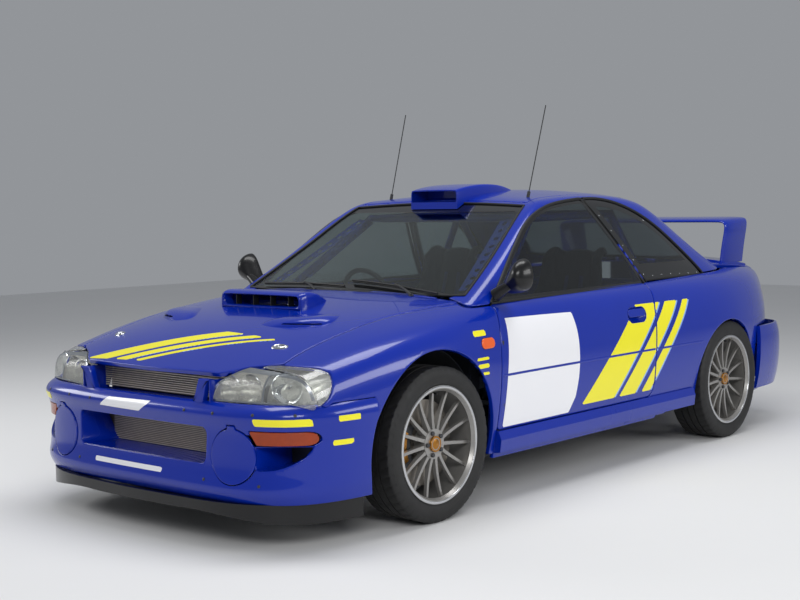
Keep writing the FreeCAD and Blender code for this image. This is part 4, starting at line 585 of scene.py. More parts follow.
def curve_through(points: Sequence, step: float) -> Array:
    """Smooth curve through points: a natural cubic spline over the chord length."""
    p = np.array(points, float)
    t = np.concatenate([[0], np.cumsum(np.linalg.norm(np.diff(p, axis=0), axis=1))])
    h = np.diff(t)
    count = len(p)
    fine = np.linspace(0, t[-1], max(int(t[-1] / step), 2) + 1)
    if count == 2:
        return p
    matrix = np.eye(count)
    right = np.zeros((count, p.shape[1]))
    inner = np.arange(1, count - 1)
    matrix[inner, inner - 1] = h[:-1]
    matrix[inner, inner] = 2 * (h[:-1] + h[1:])
    matrix[inner, inner + 1] = h[1:]
    slope = np.diff(p, axis=0) / h[:, None]
    right[1:-1] = 6 * (slope[1:] - slope[:-1])
    bend = np.linalg.solve(matrix, right)
    k = np.clip(np.searchsorted(t, fine, side="right") - 1, 0, count - 2)
    a = ((t[k + 1] - fine) / h[k])[:, None]
    b = 1 - a
    return (a * p[k] + b * p[k + 1]
            + ((a ** 3 - a) * bend[k] + (b ** 3 - b) * bend[k + 1]) * (h[k] ** 2)[:, None] / 6)


@dataclass
class Outline:
    """A closed outline in a side, plan or front view, drawn as smooth runs."""

    points: Array
    view: View

    @classmethod
    def drawn(cls, runs: Runs, view: View, step: float = .012) -> "Outline":
        """Outline from runs of points; each run starts where the last one ended."""
        line = []
        here = None
        for run in runs:
            full = list(run) if here is None else [here] + list(run)
            here = full[-1]
            if len(full) > 1:
                line.append(curve_through(full, step)[:-1])
        line.append(curve_through([here, runs[0][0]], step)[:-1]
                    if math.dist(here, runs[0][0]) > 1e-6 else np.array([here]))
        return cls(np.concatenate(line), view)

    @classmethod
    def side(cls, shares: Runs, height: float) -> "Outline":
        """Side view from station and height shares."""
        return cls.drawn([[(station(s), z * height) for s, z in run] for run in shares],
                         View.SIDE)

    @classmethod
    def plan(cls, shares: Runs) -> "Outline":
        """Plan view from half-width and station shares."""
        return cls.drawn([[(x * HALF_WIDTH, station(s)) for x, s in run]
                          for run in shares], View.PLAN)

    @classmethod
    def front(cls, shares: Runs) -> "Outline":
        """Front view from half-width and belt-height shares."""
        return cls.drawn([[(x * HALF_WIDTH, z * BELT) for x, z in run] for run in shares],
                         View.FRONT)

    @classmethod
    def real(cls, view: View, *runs: Sequence) -> "Outline":
        """Outline from runs of points in metres."""
        return cls.drawn(runs, view)

    def field(self, points: Array) -> Array:
        """Signed distance to the outline in its view, below zero inside."""
        a = self.points
        run = np.roll(a, -1, axis=0) - a
        result = np.empty(len(points))
        for start in range(0, len(points), CHUNK):
            p = points[start:start + CHUNK][:, list(self.view.value)]
            gap = p[:, None] - a
            share = np.clip((gap * run).sum(2) / np.maximum((run * run).sum(1), 1e-18), 0, 1)
            distance = np.linalg.norm(gap - run * share[..., None], axis=2).min(1)
            rising = (a[:, 1] <= p[:, None, 1]) != (a[:, 1] + run[:, 1] <= p[:, None, 1])
            height = np.where(np.abs(run[:, 1]) > 1e-15, run[:, 1], 1e-15)
            cut = a[:, 0] + (p[:, None, 1] - a[:, 1]) / height * run[:, 0] > p[:, None, 0]
            inside = (rising & cut).sum(1) % 2 == 1
            result[start:start + CHUNK] = np.where(inside, -distance, distance)
        return result


def both(*fields: Field) -> Field:
    """Region inside all the fields: the largest of their values.

    A field is worked out only for the points that those before it leave near or inside.
    """
    def value(points: Array) -> Array:
        """The largest value at each point."""
        found = fields[0](points).copy()
        for other in fields[1:]:
            near = np.flatnonzero(found < NEAR)
            if len(near):
                found[near] = np.maximum(found[near], other(points[near]))
        return found

    return value


def either(*fields: Field) -> Field:
    """Region inside any of the fields: the least of their values."""
    return lambda p: np.min([f(p) for f in fields], axis=0)


def outside(inner: Field) -> Field:
    """Region outside a field: its value with the sign turned."""
    return lambda p: -inner(p)


def grown(inner: Field, by: float) -> Field:
    """A field's region with its edge moved outwards by a length."""
    return lambda p: inner(p) - by


def band(inner: Field, out: float, into: float) -> Field:
    """Strip along a field's edge, from `out` outside it to `into` inside it."""
    return lambda p: np.maximum(inner(p) - out, -inner(p) - into)


def slab(axis: int, low: float, high: float) -> Field:
    """Region between two planes square to an axis."""
    return lambda p: np.maximum(low - p[:, axis], p[:, axis] - high)


def barrel(y: float, z: float, radius: float) -> Field:
    """Region within a cylinder that lies across the car."""
    return lambda p: np.hypot(p[:, 1] - y, p[:, 2] - z) - radius


def both_sides(region: Field) -> Field:
    """A left-hand region together with its mirror image."""
    return lambda p: region(np.stack([np.abs(p[:, 0]), p[:, 1], p[:, 2]], axis=1))


def box_region(centre: Sequence[float], half: Sequence[float], turn: float = 0.0) -> Field:
    """Region within a box that is turned about the vertical by an angle in degrees."""
    c, s = math.cos(math.radians(turn)), math.sin(math.radians(turn))

    def value(points: Array) -> Array:
        """The largest distance beyond the box's faces."""
        p = points - np.array(centre)
        local = np.stack([c * p[:, 0] + s * p[:, 1], -s * p[:, 0] + c * p[:, 1], p[:, 2]], 1)
        return (np.abs(local) - np.array(half)).max(1)

    return value


@dataclass
class Patch:
    """A mesh in the making: points, and faces of four corners (a triangle repeats one)."""

    points: Array
    faces: Array
    normals: Optional[Array] = None

    def flipped(self) -> "Patch":
        """The same patch with its faces turned over."""
        normals = None if self.normals is None else -self.normals
        return Patch(self.points, self.faces[:, ::-1], normals)

    def mirrored(self) -> "Patch":
        """The patch on the other side of the centre plane."""
        flip = np.array([-1, 1, 1])
        normals = None if self.normals is None else self.normals * flip
        return Patch(self.points * flip, self.faces[:, ::-1], normals)

    def moved(self, offset: Sequence[float]) -> "Patch":
        """The patch moved by an offset."""
        return Patch(self.points + np.array(offset), self.faces, self.normals)

    def turned(self, matrix: Array) -> "Patch":
        """The patch turned by a matrix about the origin."""
        return Patch(self.points @ np.asarray(matrix).T, self.faces)


def with_normals(patch: Patch) -> Patch:
    """The patch with a normal at each point: the sum of its faces' cross products."""
    p, f = patch.points, patch.faces
    turn = np.cross(p[f[:, 2]] - p[f[:, 0]], p[f[:, 3]] - p[f[:, 1]])
    total = np.zeros_like(p)
    for k in range(4):
        np.add.at(total, f[:, k], turn)
    return Patch(p, f, unit(total))


def joined(*patches: Patch) -> Patch:
    """Several patches as one mesh."""
    starts = np.cumsum([0] + [len(p.points) for p in patches])
    return Patch(np.concatenate([p.points for p in patches]),
                 np.concatenate([p.faces + s for p, s in zip(patches, starts)]))


def pair(patch: Patch) -> Patch:
    """A patch and its mirror image as one mesh."""
    return joined(patch, patch.mirrored())


def facing(patch: Patch, way: Array) -> Patch:
    """The patch with normals, turned over if they point away from a direction.

    Args:
        patch: the patch.
        way: one direction, or one for each point.
    """
    patch = with_normals(patch)
    if (patch.normals * way).sum() < 0:
        return with_normals(patch.flipped())
    return patch


def crossing_ends(value: Array) -> Array:
    """Marks the nearer end of each lattice edge that crosses the region's edge."""
    inside, size = value < 0, np.abs(value)
    marked = np.zeros(value.shape, bool)
    for a, b in ((np.s_[:-1], np.s_[1:]), (np.s_[:, :-1], np.s_[:, 1:])):
        cross = inside[a] != inside[b]
        first = size[a] <= size[b]
        marked[a] |= cross & first
        marked[b] |= cross & ~first
    return marked


def settled(net: Net, region: Field, places: Array, cells: Array, low: Array,
            high: Array) -> Array:
    """Surface parameters moved onto a region's edge by Newton steps.

    Args:
        net: the surface.
        region: the field that is to become zero.
        places: rows u and v of the parameters.
        cells: size of the lattice's cell at each of them.
        low, high: least and greatest parameters.
    """
    start = places
    for _ in range(NEWTON_STEPS):
        base = net.at(*places)
        now = region(base)
        slopes, sizes = [], []
        for k in (0, 1):
            tried = places.copy()
            tried[k] += SMALL_STEP * cells[k]
            step = net.at(*tried) - base
            slopes.append(region(base + step) - now)
            sizes.append(np.maximum((step * step).sum(1), 1e-18))
        slopes, sizes = np.array(slopes), np.array(sizes)
        scale = now / np.maximum((slopes * slopes / sizes).sum(0), 1e-12)
        places = places - scale * slopes / sizes * SMALL_STEP * cells
        places = np.clip(places, start - NEWTON_REACH * cells, start + NEWTON_REACH * cells)
        places = np.clip(places, low[:, None], high[:, None])
    return places


def cells_within(inside: Array, moved: Array, points: Array, region: Field) -> Array:
    """Faces of a lattice that lie in a region, with cut corners as triangles.

    Args:
        inside: which lattice points are inside.
        moved: which of them were moved onto the region's edge.
        points: all the lattice's points.
        region: the field; it decides on faces whose corners all lie on its edge.
    """
    rows, columns = inside.shape
    index = np.arange(rows * columns).reshape(rows, columns)
    cell = np.stack([index[:-1, :-1], index[1:, :-1], index[1:, 1:], index[:-1, 1:]],
                    axis=-1).reshape(-1, 4)
    fine = (inside | moved).ravel()[cell]
    pure = (inside & ~moved).ravel()[cell]
    count = fine.sum(1)
    threes = cell[count == 3]
    order = ((~fine[count == 3]).argmax(1)[:, None] + np.array([1, 2, 3])) % 4
    kept = []
    for faces, sure in ((cell[count == 4], pure[count == 4].any(1)),
                        (np.take_along_axis(threes, order, 1), pure[count == 3].any(1))):
        if len(faces):
            faces = faces[sure | (region(points[faces].mean(1)) < 0)]
        kept.append(faces)
    quads, threes = kept
    return np.concatenate([quads, np.concatenate([threes, threes[:, -1:]], axis=1)])


def trimmed(net: Net, region: Field, step: float, low: float, high: float,
            v_low: float = 0.0, v_high: float = 1.0, lift: float = 0.0) -> Patch:
    """Part of a net's surface that lies inside a region.

    A lattice is laid over the surface. Each lattice edge that crosses the region's edge
    has its nearer end moved onto it, and the cells inside are kept.

    Args:
        net: the surface.
        region: the field to keep, below zero inside.
        step: spacing of the lattice.
        low, high: limits along the net's run axis.
        v_low, v_high: limits across it.
        lift: distance that the result is moved out along the normals.

    Returns:
        The trimmed surface, with its normals.
    """
    count = max(int(math.ceil((high - low) / step)), 2)
    u_line = net.u_of(np.linspace(low, high, count + 1))
    v_line = net.even_v(float(u_line.mean()), v_low, v_high, step)
    shape = (len(u_line), len(v_line))
    lattice = np.array([g.ravel() for g in np.meshgrid(u_line, v_line, indexing="ij")])
    value = region(net.at(*lattice)).reshape(shape)
    moved = crossing_ends(value)
    spot = np.flatnonzero(moved.ravel())
    i, j = np.divmod(spot, shape[1])
    cells = np.array([np.gradient(u_line)[i], np.gradient(v_line)[j]])
    ends = np.array([[u_line[0], v_line[0]], [u_line[-1], v_line[-1]]])
    lattice[:, spot] = settled(net, region, lattice[:, spot], cells, *ends)
    points = net.at(*lattice)
    faces = cells_within(value < 0, moved, points, region)
    used, packed = np.unique(faces, return_inverse=True)
    normals = net.normal(*lattice[:, used])
    return Patch(points[used] + normals * lift, packed.reshape(-1, 4), normals)


def rim_edges(faces: Array) -> Array:
    """Edges that belong to one face only, in the order in which that face runs."""
    ends = np.concatenate([faces, faces[:, :1]], axis=1)
    edges = np.concatenate([ends[:, k:k + 2] for k in range(4)])
    edges = edges[edges[:, 0] != edges[:, 1]]
    key = np.sort(edges, axis=1)
    code = key[:, 0].astype(np.int64) * (faces.max() + 1) + key[:, 1]
    _, first, times = np.unique(code, return_index=True, return_counts=True)
    return edges[first[times == 1]]


def walled(patch: Patch, thickness: float, radius: float = .0025, arcs: int = 3) -> Patch:
    """Closed shell under a patch, with a rounded edge.

    The patch's rim is carried outwards and down a quarter circle, then straight to the
    inner surface, which is the patch moved in along its normals.

    Args:
        patch: the outer surface, with normals.
        thickness: wall thickness.
        radius: radius of the rounded edge.
        arcs: steps of the quarter circle.

    Returns:
        The closed mesh.
    """
    points, faces, normals = patch.points, patch.faces, patch.normals
    edges = rim_edges(faces)
    run = points[edges[:, 1]] - points[edges[:, 0]]
    out = np.cross(run, normals[edges[:, 0]] + normals[edges[:, 1]])
    total = np.zeros_like(points)
    np.add.at(total, edges[:, 0], out)
    np.add.at(total, edges[:, 1], out)
    rim = np.unique(edges)
    away = unit(total[rim])
    down = -normals[rim]
    count = len(points)
    slot = np.full(count, -1)
    slot[rim] = np.arange(len(rim))
    rings = []
    for k in range(1, arcs + 1):
        angle = math.pi / 2 * k / arcs
        rings.append(points[rim] + away * radius * math.sin(angle)
                     + down * radius * (1 - math.cos(angle)))
    inner = points - normals * thickness
    inner[rim] = points[rim] + away * radius + down * thickness
    layers = [points] + rings + [inner]
    starts = np.cumsum([0] + [len(layer) for layer in layers])
    made = [faces]
    a, b = edges[:, 0], edges[:, 1]
    previous = (a, b)
    for k in range(len(rings)):
        current = (slot[a] + starts[k + 1], slot[b] + starts[k + 1])
        made.append(np.stack([previous[1], previous[0], current[0], current[1]], axis=1))
        previous = current
    last = (a + starts[-2], b + starts[-2])
    made.append(np.stack([previous[1], previous[0], last[0], last[1]], axis=1))
    made.append(faces[:, ::-1] + starts[-2])
    return Patch(np.concatenate(layers), np.concatenate(made))


def sheet_grid(points: Array, close_u: bool = False, close_v: bool = False) -> Patch:
    """Quads over a grid of points, of shape rows × columns × 3."""
    nu, nv = points.shape[:2]
    index = np.arange(nu * nv).reshape(nu, nv)
    if close_u:
        index = np.concatenate([index, index[:1]], axis=0)
    if close_v:
        index = np.concatenate([index, index[:, :1]], axis=1)
    faces = np.stack([index[:-1, :-1], index[1:, :-1], index[1:, 1:], index[:-1, 1:]],
                     axis=-1).reshape(-1, 4)
    return Patch(points.reshape(-1, 3), faces)


def prism(line: Array, view: View, low: float, high: float, edge: float = .001) -> Patch:
    """Outline carried from low to high along the axis that its view leaves out.

    Its two rims are bevelled by `edge`, and each end is a fan about its middle.
    """
    a, b = np.asarray(line, float), np.roll(line, -1, axis=0)
    before = np.roll(line, 1, axis=0)
    tangent = unit(b - before)
    area = (a[:, 0] * b[:, 1] - a[:, 1] * b[:, 0]).sum()
    inward = np.stack([-tangent[:, 1], tangent[:, 0]], axis=1) * np.sign(area)
    middle = a.mean(0)
    rings = [(middle + (a - middle) * 1e-3, low), (a + inward * edge, low), (a, low + edge),
             (a, high - edge), (a + inward * edge, high),
             (middle + (a - middle) * 1e-3, high)]
    axes = list(view.value)
    other = ({0, 1, 2} - set(axes)).pop()
    grid = np.empty((len(rings), len(a), 3))
    for k, (ring, place) in enumerate(rings):
        grid[k][:, axes] = ring
        grid[k][:, other] = place
    made = sheet_grid(grid, close_v=True)
    hand = 1 if other != 1 else -1
    return made if area * hand < 0 else made.flipped()


def disc_line(centre: Sequence[float], radius: float, count: int = 24,
              squeeze: float = 1.0) -> Array:
    """Points of a circle, or of an ellipse where squeeze isn't 1."""
    angle = np.linspace(0, 2 * math.pi, count, endpoint=False)
    return np.stack([centre[0] + radius * np.cos(angle),
                     centre[1] + radius * squeeze * np.sin(angle)], axis=1)


def brick(low: Sequence[float], high: Sequence[float], edge: float = .0015) -> Patch:
    """Box between two corners, with bevelled rims."""
    (x0, y0, z0), (x1, y1, z1) = low, high
    return prism(np.array([(x0, y0), (x1, y0), (x1, y1), (x0, y1)]), View.PLAN, z0, z1, edge)


def onto(patch: Patch, origin: Sequence[float], along: Sequence[float],
         up: Sequence[float]) -> Patch:
    """The patch with its X axis laid along one direction and its Z towards another."""
    x = unit(np.array(along, float))
    y = unit(np.cross(np.array(up, float), x))
    matrix = np.stack([x, y, np.cross(x, y)], axis=1)
    return patch.turned(matrix).moved(origin)


def studs(points: Array, normals: Array, radius: float, height: float) -> Patch:
    """Low domed heads, one at each point, standing along its normal."""
    profile = [(-height, radius * .98), (height * .5, radius), (height, radius * .7),
               (height * 1.15, radius * 1e-3)]
    head = revolved(profile, 10)
    return joined(*[onto(head, point, normal, np.eye(3)[np.abs(normal).argmin()])
                    for point, normal in zip(points, normals)])


def revolved(profile: Sequence, count: int) -> Patch:
    """Profile of (along, radius) points turned about the X axis in `count` steps.

    A point is (along, radius·cos a, radius·sin a).
    """
    line = np.array(profile, float)
    angles = np.linspace(0, 2 * math.pi, count, endpoint=False)
    grid = np.stack([np.broadcast_to(line[:, 0], (count, len(line))),
                     np.cos(angles)[:, None] * line[:, 1],
                     np.sin(angles)[:, None] * line[:, 1]], axis=-1)
    return sheet_grid(grid, close_u=True)


def tube(path: Array, radius: float, sides: int = 16, caps: bool = True) -> Patch:
    """Round tube along a path of points: a circle in the plane square to the path.

    The circle's frame is carried along by taking out each new tangent's part of it.
    """
    path = np.asarray(path, float)
    tangent = unit(np.gradient(path, axis=0))
    side = np.eye(3)[np.abs(tangent[0]).argmin()]
    across = []
    for direction in tangent:
        side = side - direction * (side @ direction)
        side = side / np.linalg.norm(side)
        across.append(side)
    across = np.array(across)
    over = np.cross(tangent, across)
    angle = np.linspace(0, 2 * math.pi, sides, endpoint=False)
    ring = (across[:, None] * np.cos(angle)[:, None] + over[:, None] * np.sin(angle)[:, None])
    size = np.broadcast_to(np.asarray(radius, float), (len(path),))
    grid = path[:, None] + ring * size[:, None, None]
    if caps:
        grid = np.concatenate([np.repeat(path[:1, None], sides, 1), grid,
                               np.repeat(path[-1:, None], sides, 1)])
    return sheet_grid(grid, close_v=True).flipped()


def linear(code: str) -> tuple[float, float, float, float]:
    """Linear colour of an sRGB hex code."""
    parts = [int(code[k:k + 2], 16) / 255 for k in (0, 2, 4)]
    return tuple([c / 12.92 if c <= .04045 else ((c + .055) / 1.055) ** 2.4
                  for c in parts] + [1.0])


class Texture(Enum):
    """Surface pattern of a finish."""

    SMOOTH = "smooth"
    GRAIN = "grain"
    WEAVE = "weave"
    BRUSHED = "brushed"
    SPUN = "spun"
    FLUTED = "fluted"


@dataclass(frozen=True)
class Finish:
    """A real surface: its colours, gloss and fine pattern."""

    name: str
    colour: str
    second: str
    roughness: float
    texture: Texture = Texture.GRAIN
    pitch: float = 2.0
    depth: float = .02
    metallic: float = 0.0
    coat: float = 0.0
    ior: float = 1.5
    transmission: float = 0.0
    spread: float = 40.0
    sheen: float = 0.0
    wander: float = .06

    def build(self) -> bpy.types.Material:
        """Material of this finish.

        Colour wanders between the two hex colours over `spread` millimetres, roughness
        wanders by `wander`, and the relief of `depth` millimetres repeats every
        `pitch` millimetres.

        Returns:
            The node-based material, made once for each name.
        """
        found = bpy.data.materials.get(self.name)
        if found:
            return found
        made = bpy.data.materials.new(self.name)
        made.use_nodes = True
        tree = made.node_tree
        shader = tree.nodes["Principled BSDF"]
        place = node(tree, "ShaderNodeTexCoord")
        wide = node(tree, "ShaderNodeTexNoise", {"Scale": 1 / (self.spread * MM),
                                                 "Detail": 3.0},
                    {"Vector": (place, "Object")})
        mix = node(tree, "ShaderNodeMix", {6: linear(self.colour), 7: linear(self.second)},
                   {0: (wide, 0)}, data_type="RGBA")
        tree.links.new(mix.outputs[2], shader.inputs["Base Color"])
        rough = node(tree, "ShaderNodeMapRange",
                     {"From Min": .3, "From Max": .7,
                      "To Min": max(self.roughness - self.wander / 2, 0),
                      "To Max": self.roughness + self.wander / 2}, {"Value": (wide, 0)})
        tree.links.new(rough.outputs[0], shader.inputs["Roughness"])
        height = self.relief(tree, place)
        bump = node(tree, "ShaderNodeBump", {"Strength": 1.0, "Distance": self.depth * MM},
                    {"Height": height})
        tree.links.new(bump.outputs[0], shader.inputs["Normal"])
        shader.inputs["Metallic"].default_value = self.metallic
        shader.inputs["Coat Weight"].default_value = self.coat
        shader.inputs["Coat Roughness"].default_value = .02
        shader.inputs["IOR"].default_value = self.ior
        shader.inputs["Transmission Weight"].default_value = self.transmission
        shader.inputs["Sheen Weight"].default_value = self.sheen
        return made

    def relief(self, tree: bpy.types.NodeTree,
               place: bpy.types.Node) -> tuple[bpy.types.Node, int]:
        """Height pattern of the finish."""
        size = 1 / (self.pitch * MM)
        if self.texture is Texture.WEAVE:
            first = node(tree, "ShaderNodeTexWave", {"Scale": size / 2, "Distortion": .0},
                         {"Vector": (place, "Object")}, bands_direction="DIAGONAL")
            turn = (0, math.pi / 2, math.pi / 2)
            other = node(tree, "ShaderNodeMapping", {"Rotation": turn},
                         {"Vector": (place, "Object")})
            second = node(tree, "ShaderNodeTexWave", {"Scale": size / 2},
                          {"Vector": (other, 0)}, bands_direction="DIAGONAL")
            return node(tree, "ShaderNodeMath", {}, {0: (first, 1), 1: (second, 1)},
                        operation="MULTIPLY"), 0
        if self.texture in (Texture.BRUSHED, Texture.SPUN):
            stretch = (1, .04, 1) if self.texture is Texture.BRUSHED else (1, .3, .3)
            line = node(tree, "ShaderNodeMapping", {"Scale": stretch},
                        {"Vector": (place, "Object")})
            return node(tree, "ShaderNodeTexNoise", {"Scale": size, "Detail": 2.0},
                        {"Vector": (line, 0)}), 0
        if self.texture is Texture.FLUTED:
            return node(tree, "ShaderNodeTexWave", {"Scale": size * math.pi / 10},
                        {"Vector": (place, "Object")}, bands_direction="X"), 1
        detail = 0.0 if self.texture is Texture.SMOOTH else 4.0
        return node(tree, "ShaderNodeTexNoise", {"Scale": size, "Detail": detail},
                    {"Vector": (place, "Object")}), 0


def node(tree: bpy.types.NodeTree, kind: str, values: Optional[dict] = None,
         links: Optional[dict] = None, **settings: object) -> bpy.types.Node:
    """Add a node with its settings, socket values and incoming links.

    Args:
        tree: the node tree.
        kind: Blender's name of the node type.
        values: socket name or number to value.
        links: socket name or number to (node, output name or number).
        settings: properties of the node itself.

    Returns:
        The new node.
    """
    made = tree.nodes.new(kind)
    for name, value in settings.items():
        setattr(made, name, value)
    for name, value in (values or {}).items():
        made.inputs[name].default_value = value
    for name, (source, output) in (links or {}).items():
        tree.links.new(source.outputs[output], made.inputs[name])
    return made


PAINT = Finish("royal_blue_two_pack_paint", "00279E", "002494", .26, Texture.SMOOTH, 6.0, .004,
               coat=.6, ior=1.30, spread=500, wander=.03)
SCREEN_GLASS = Finish("laminated_screen_glass", "B9C8C4", "B4C4C1", .02, Texture.SMOOTH, 90.0,
                      .01, transmission=1.0, ior=1.45, wander=.005)
SIDE_GLASS = Finish("tinted_side_glass", "98A3A6", "929DA0", .03, Texture.SMOOTH, 90.0, .01,
                    transmission=1.0, ior=1.45, wander=.005)
LENS = Finish("clear_polycarbonate_lens", "F8F9F6", "F3F4F0", .04, Texture.SMOOTH, 40.0, .02,
              transmission=.92, ior=1.45, wander=.01)
FLUTED = Finish("fluted_headlamp_glass", "F6F6EE", "F0F0E8", .05, Texture.FLUTED, 5.5, .55,
                transmission=.80, ior=1.45, wander=.01)
LAMP_FRAME = Finish("satin_aluminium_lamp_frame", "B4B8BC", "A9ADB1", .24, Texture.SMOOTH,
                    9.0, .01, metallic=1.0)
REFLECTOR_GREY = Finish("aluminised_lamp_housing", "F6F6F0", "ECECE6", .28, Texture.SMOOTH,
                        14.0, .05, metallic=.25)
GLASS_BLACK = Finish("black_ceramic_frit", "07080A", "0A0B0E", .14, Texture.SMOOTH, 60.0,
                     .003, coat=.6)
AMBER = Finish("amber_acrylic_lens", "A23A06", "86300A", .12, Texture.GRAIN, 3.0, .05,
               coat=.25, ior=1.40, spread=22)
ORANGE = Finish("orange_repeater_lens", "F0641E", "E85A16", .14, Texture.GRAIN, 3.0, .05,
                coat=.7, ior=1.49)
RED_LENS = Finish("red_acrylic_lens", "A3121C", "8E0D18", .12, Texture.GRAIN, 3.0, .05,
                  coat=.6, ior=1.49)
CARBON = Finish("lacquered_carbon_twill", "060607", "0E0E10", .34, Texture.WEAVE, 4.0, .05,
                coat=.3, ior=1.35, spread=6)
BLACK_PLASTIC = Finish("moulded_black_polypropylene", "0E0F11", "16171A", .5, Texture.GRAIN,
                       1.2, .06, spread=60)
RUBBER_SEAL = Finish("extruded_epdm_seal", "08090A", "0D0E0F", .62, Texture.GRAIN, 1.5, .05)
TYRE_RUBBER = Finish("vulcanised_tyre_rubber", "101011", "191919", .62, Texture.GRAIN, 1.6,
                     .12, spread=45, wander=.12)
GUNMETAL = Finish("gunmetal_powder_coat", "9C9A97", "8E8C89", .34, Texture.GRAIN, .8, .02,
                  metallic=.5, coat=.25)
POLISHED = Finish("diamond_turned_aluminium", "C9CACC", "BFC0C3", .16, Texture.SPUN, .6, .01,
                  metallic=1.0)
CHROME = Finish("vacuum_chromed_reflector", "E2E4E6", "D8DADD", .07, Texture.SMOOTH, 20.0,
                .02, metallic=1.0)
CORE = Finish("sooty_aluminium_core", "8B8175", "74695F", .42, Texture.GRAIN, 3.0, .1,
              metallic=.7, spread=30)
STEEL = Finish("painted_steel_casting", "26272A", "313236", .45, Texture.GRAIN, 2.5, .08,
               spread=50)
DISC_IRON = Finish("ground_cast_iron", "8C8781", "7B766F", .3, Texture.SPUN, .8, .02,
                   metallic=1.0)
CALIPER = Finish("anodised_bronze_alloy", "B07A32", "A26D2A", .28, Texture.GRAIN, 1.5, .03,
                 metallic=.8)
FIN_METAL = Finish("bare_aluminium_fins", "E2D8CA", "CFC4B6", .38, Texture.GRAIN, 2.0, .02,
                   metallic=.25, spread=30)
CAGE_PAINT = Finish("enamelled_cage_tube", "123CB8", "1036A8", .3, Texture.SMOOTH, 5.0, .01,
                    coat=.5)
WEBBING = Finish("harness_webbing", "16307E", "122A70", .7, Texture.WEAVE, 1.6, .2,
                 sheen=.3, spread=20)
SEAT_CLOTH = Finish("woven_polyester_seat_cloth", "0B0D14", "14161F", .85, Texture.WEAVE,
                    2.0, .25, sheen=.3, spread=15)
UNDERBODY = Finish("textured_underbody_paint", "1B1E24", "22262D", .6, Texture.GRAIN, 4.0,
                   .25)
EXHAUST = Finish("brushed_stainless_pipe", "A29A90", "8B8178", .3, Texture.BRUSHED, .8, .02,
                 metallic=1.0)
YELLOW = Finish("fluorescent_yellow_vinyl", "F7EE12", "F2E80E", .3, Texture.SMOOTH, 30.0,
                .005, coat=.4, spread=300)
PALE_BLUE = Finish("pale_blue_vinyl", "86AEEA", "7FA6E4", .3, Texture.SMOOTH, 30.0, .005,
                   coat=.4, spread=300)
WHITE = Finish("white_vinyl", "F1F1F4", "ECECF0", .32, Texture.SMOOTH, 30.0, .005, coat=.4,
               spread=300)


def add(name: str, patch: Patch, finish: Finish, body: str,
        stands_for: Sequence[str] = ()) -> bpy.types.Object:
    """Make a piece of the car from a patch.

    Args:
        name: name of the piece.
        patch: its mesh, in place.
        finish: its surface.
        body: CAD body that it rides on.
        stands_for: CAD nodes that it replaces.

    Returns:
        The new object.
    """
    mesh = bpy.data.meshes.new(name)
    faces = patch.faces
    three = faces[:, 2] == faces[:, 3]
    sizes = np.where(three, 3, 4)
    keep = np.ones_like(faces, bool)
    keep[three, 3] = False
    starts = np.concatenate([[0], np.cumsum(sizes)[:-1]]).astype(np.int32)
    mesh.vertices.add(len(patch.points))
    mesh.vertices.foreach_set("co", patch.points.astype(np.float32).ravel())
    mesh.loops.add(int(sizes.sum()))
    mesh.loops.foreach_set("vertex_index", faces[keep].astype(np.int32))
    mesh.polygons.add(len(faces))
    mesh.polygons.foreach_set("loop_start", starts)
    mesh.polygons.foreach_set("use_smooth", np.ones(len(faces), bool))
    mesh.update(calc_edges=True)
    mesh.validate()
    mesh.set_sharp_from_angle(angle=math.radians(SHARP_ANGLE))
    mesh.materials.append(finish.build())
    made = bpy.data.objects.new(name, mesh)
    bpy.context.scene.collection.objects.link(made)
    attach(made, body)
    if stands_for:
        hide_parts(*stands_for)
    LOG.info("%s: %d faces on %s", name, len(faces), body)
    return made


def on_side(patch: Patch, side: str) -> Patch:
    """The patch, or its mirror image where the side is the right one."""
    return patch if side == "left" else patch.mirrored()


def add_each(name: str, patch: Patch, finish: Finish, body: str,
             stands_for: Sequence[str] = ()) -> None:
    """Add a left-hand piece, and its mirror image on the right.

    The side is put after the names of the piece, of the nodes, and of any body but the
    chassis.
    """
    for side in ("left", "right"):
        rides = body if body == "chassis" else f"{body}_{side}"
        add(f"{name}_{side}", on_side(patch, side), finish, rides,
            [f"{node_name}_{side}" for node_name in stands_for])


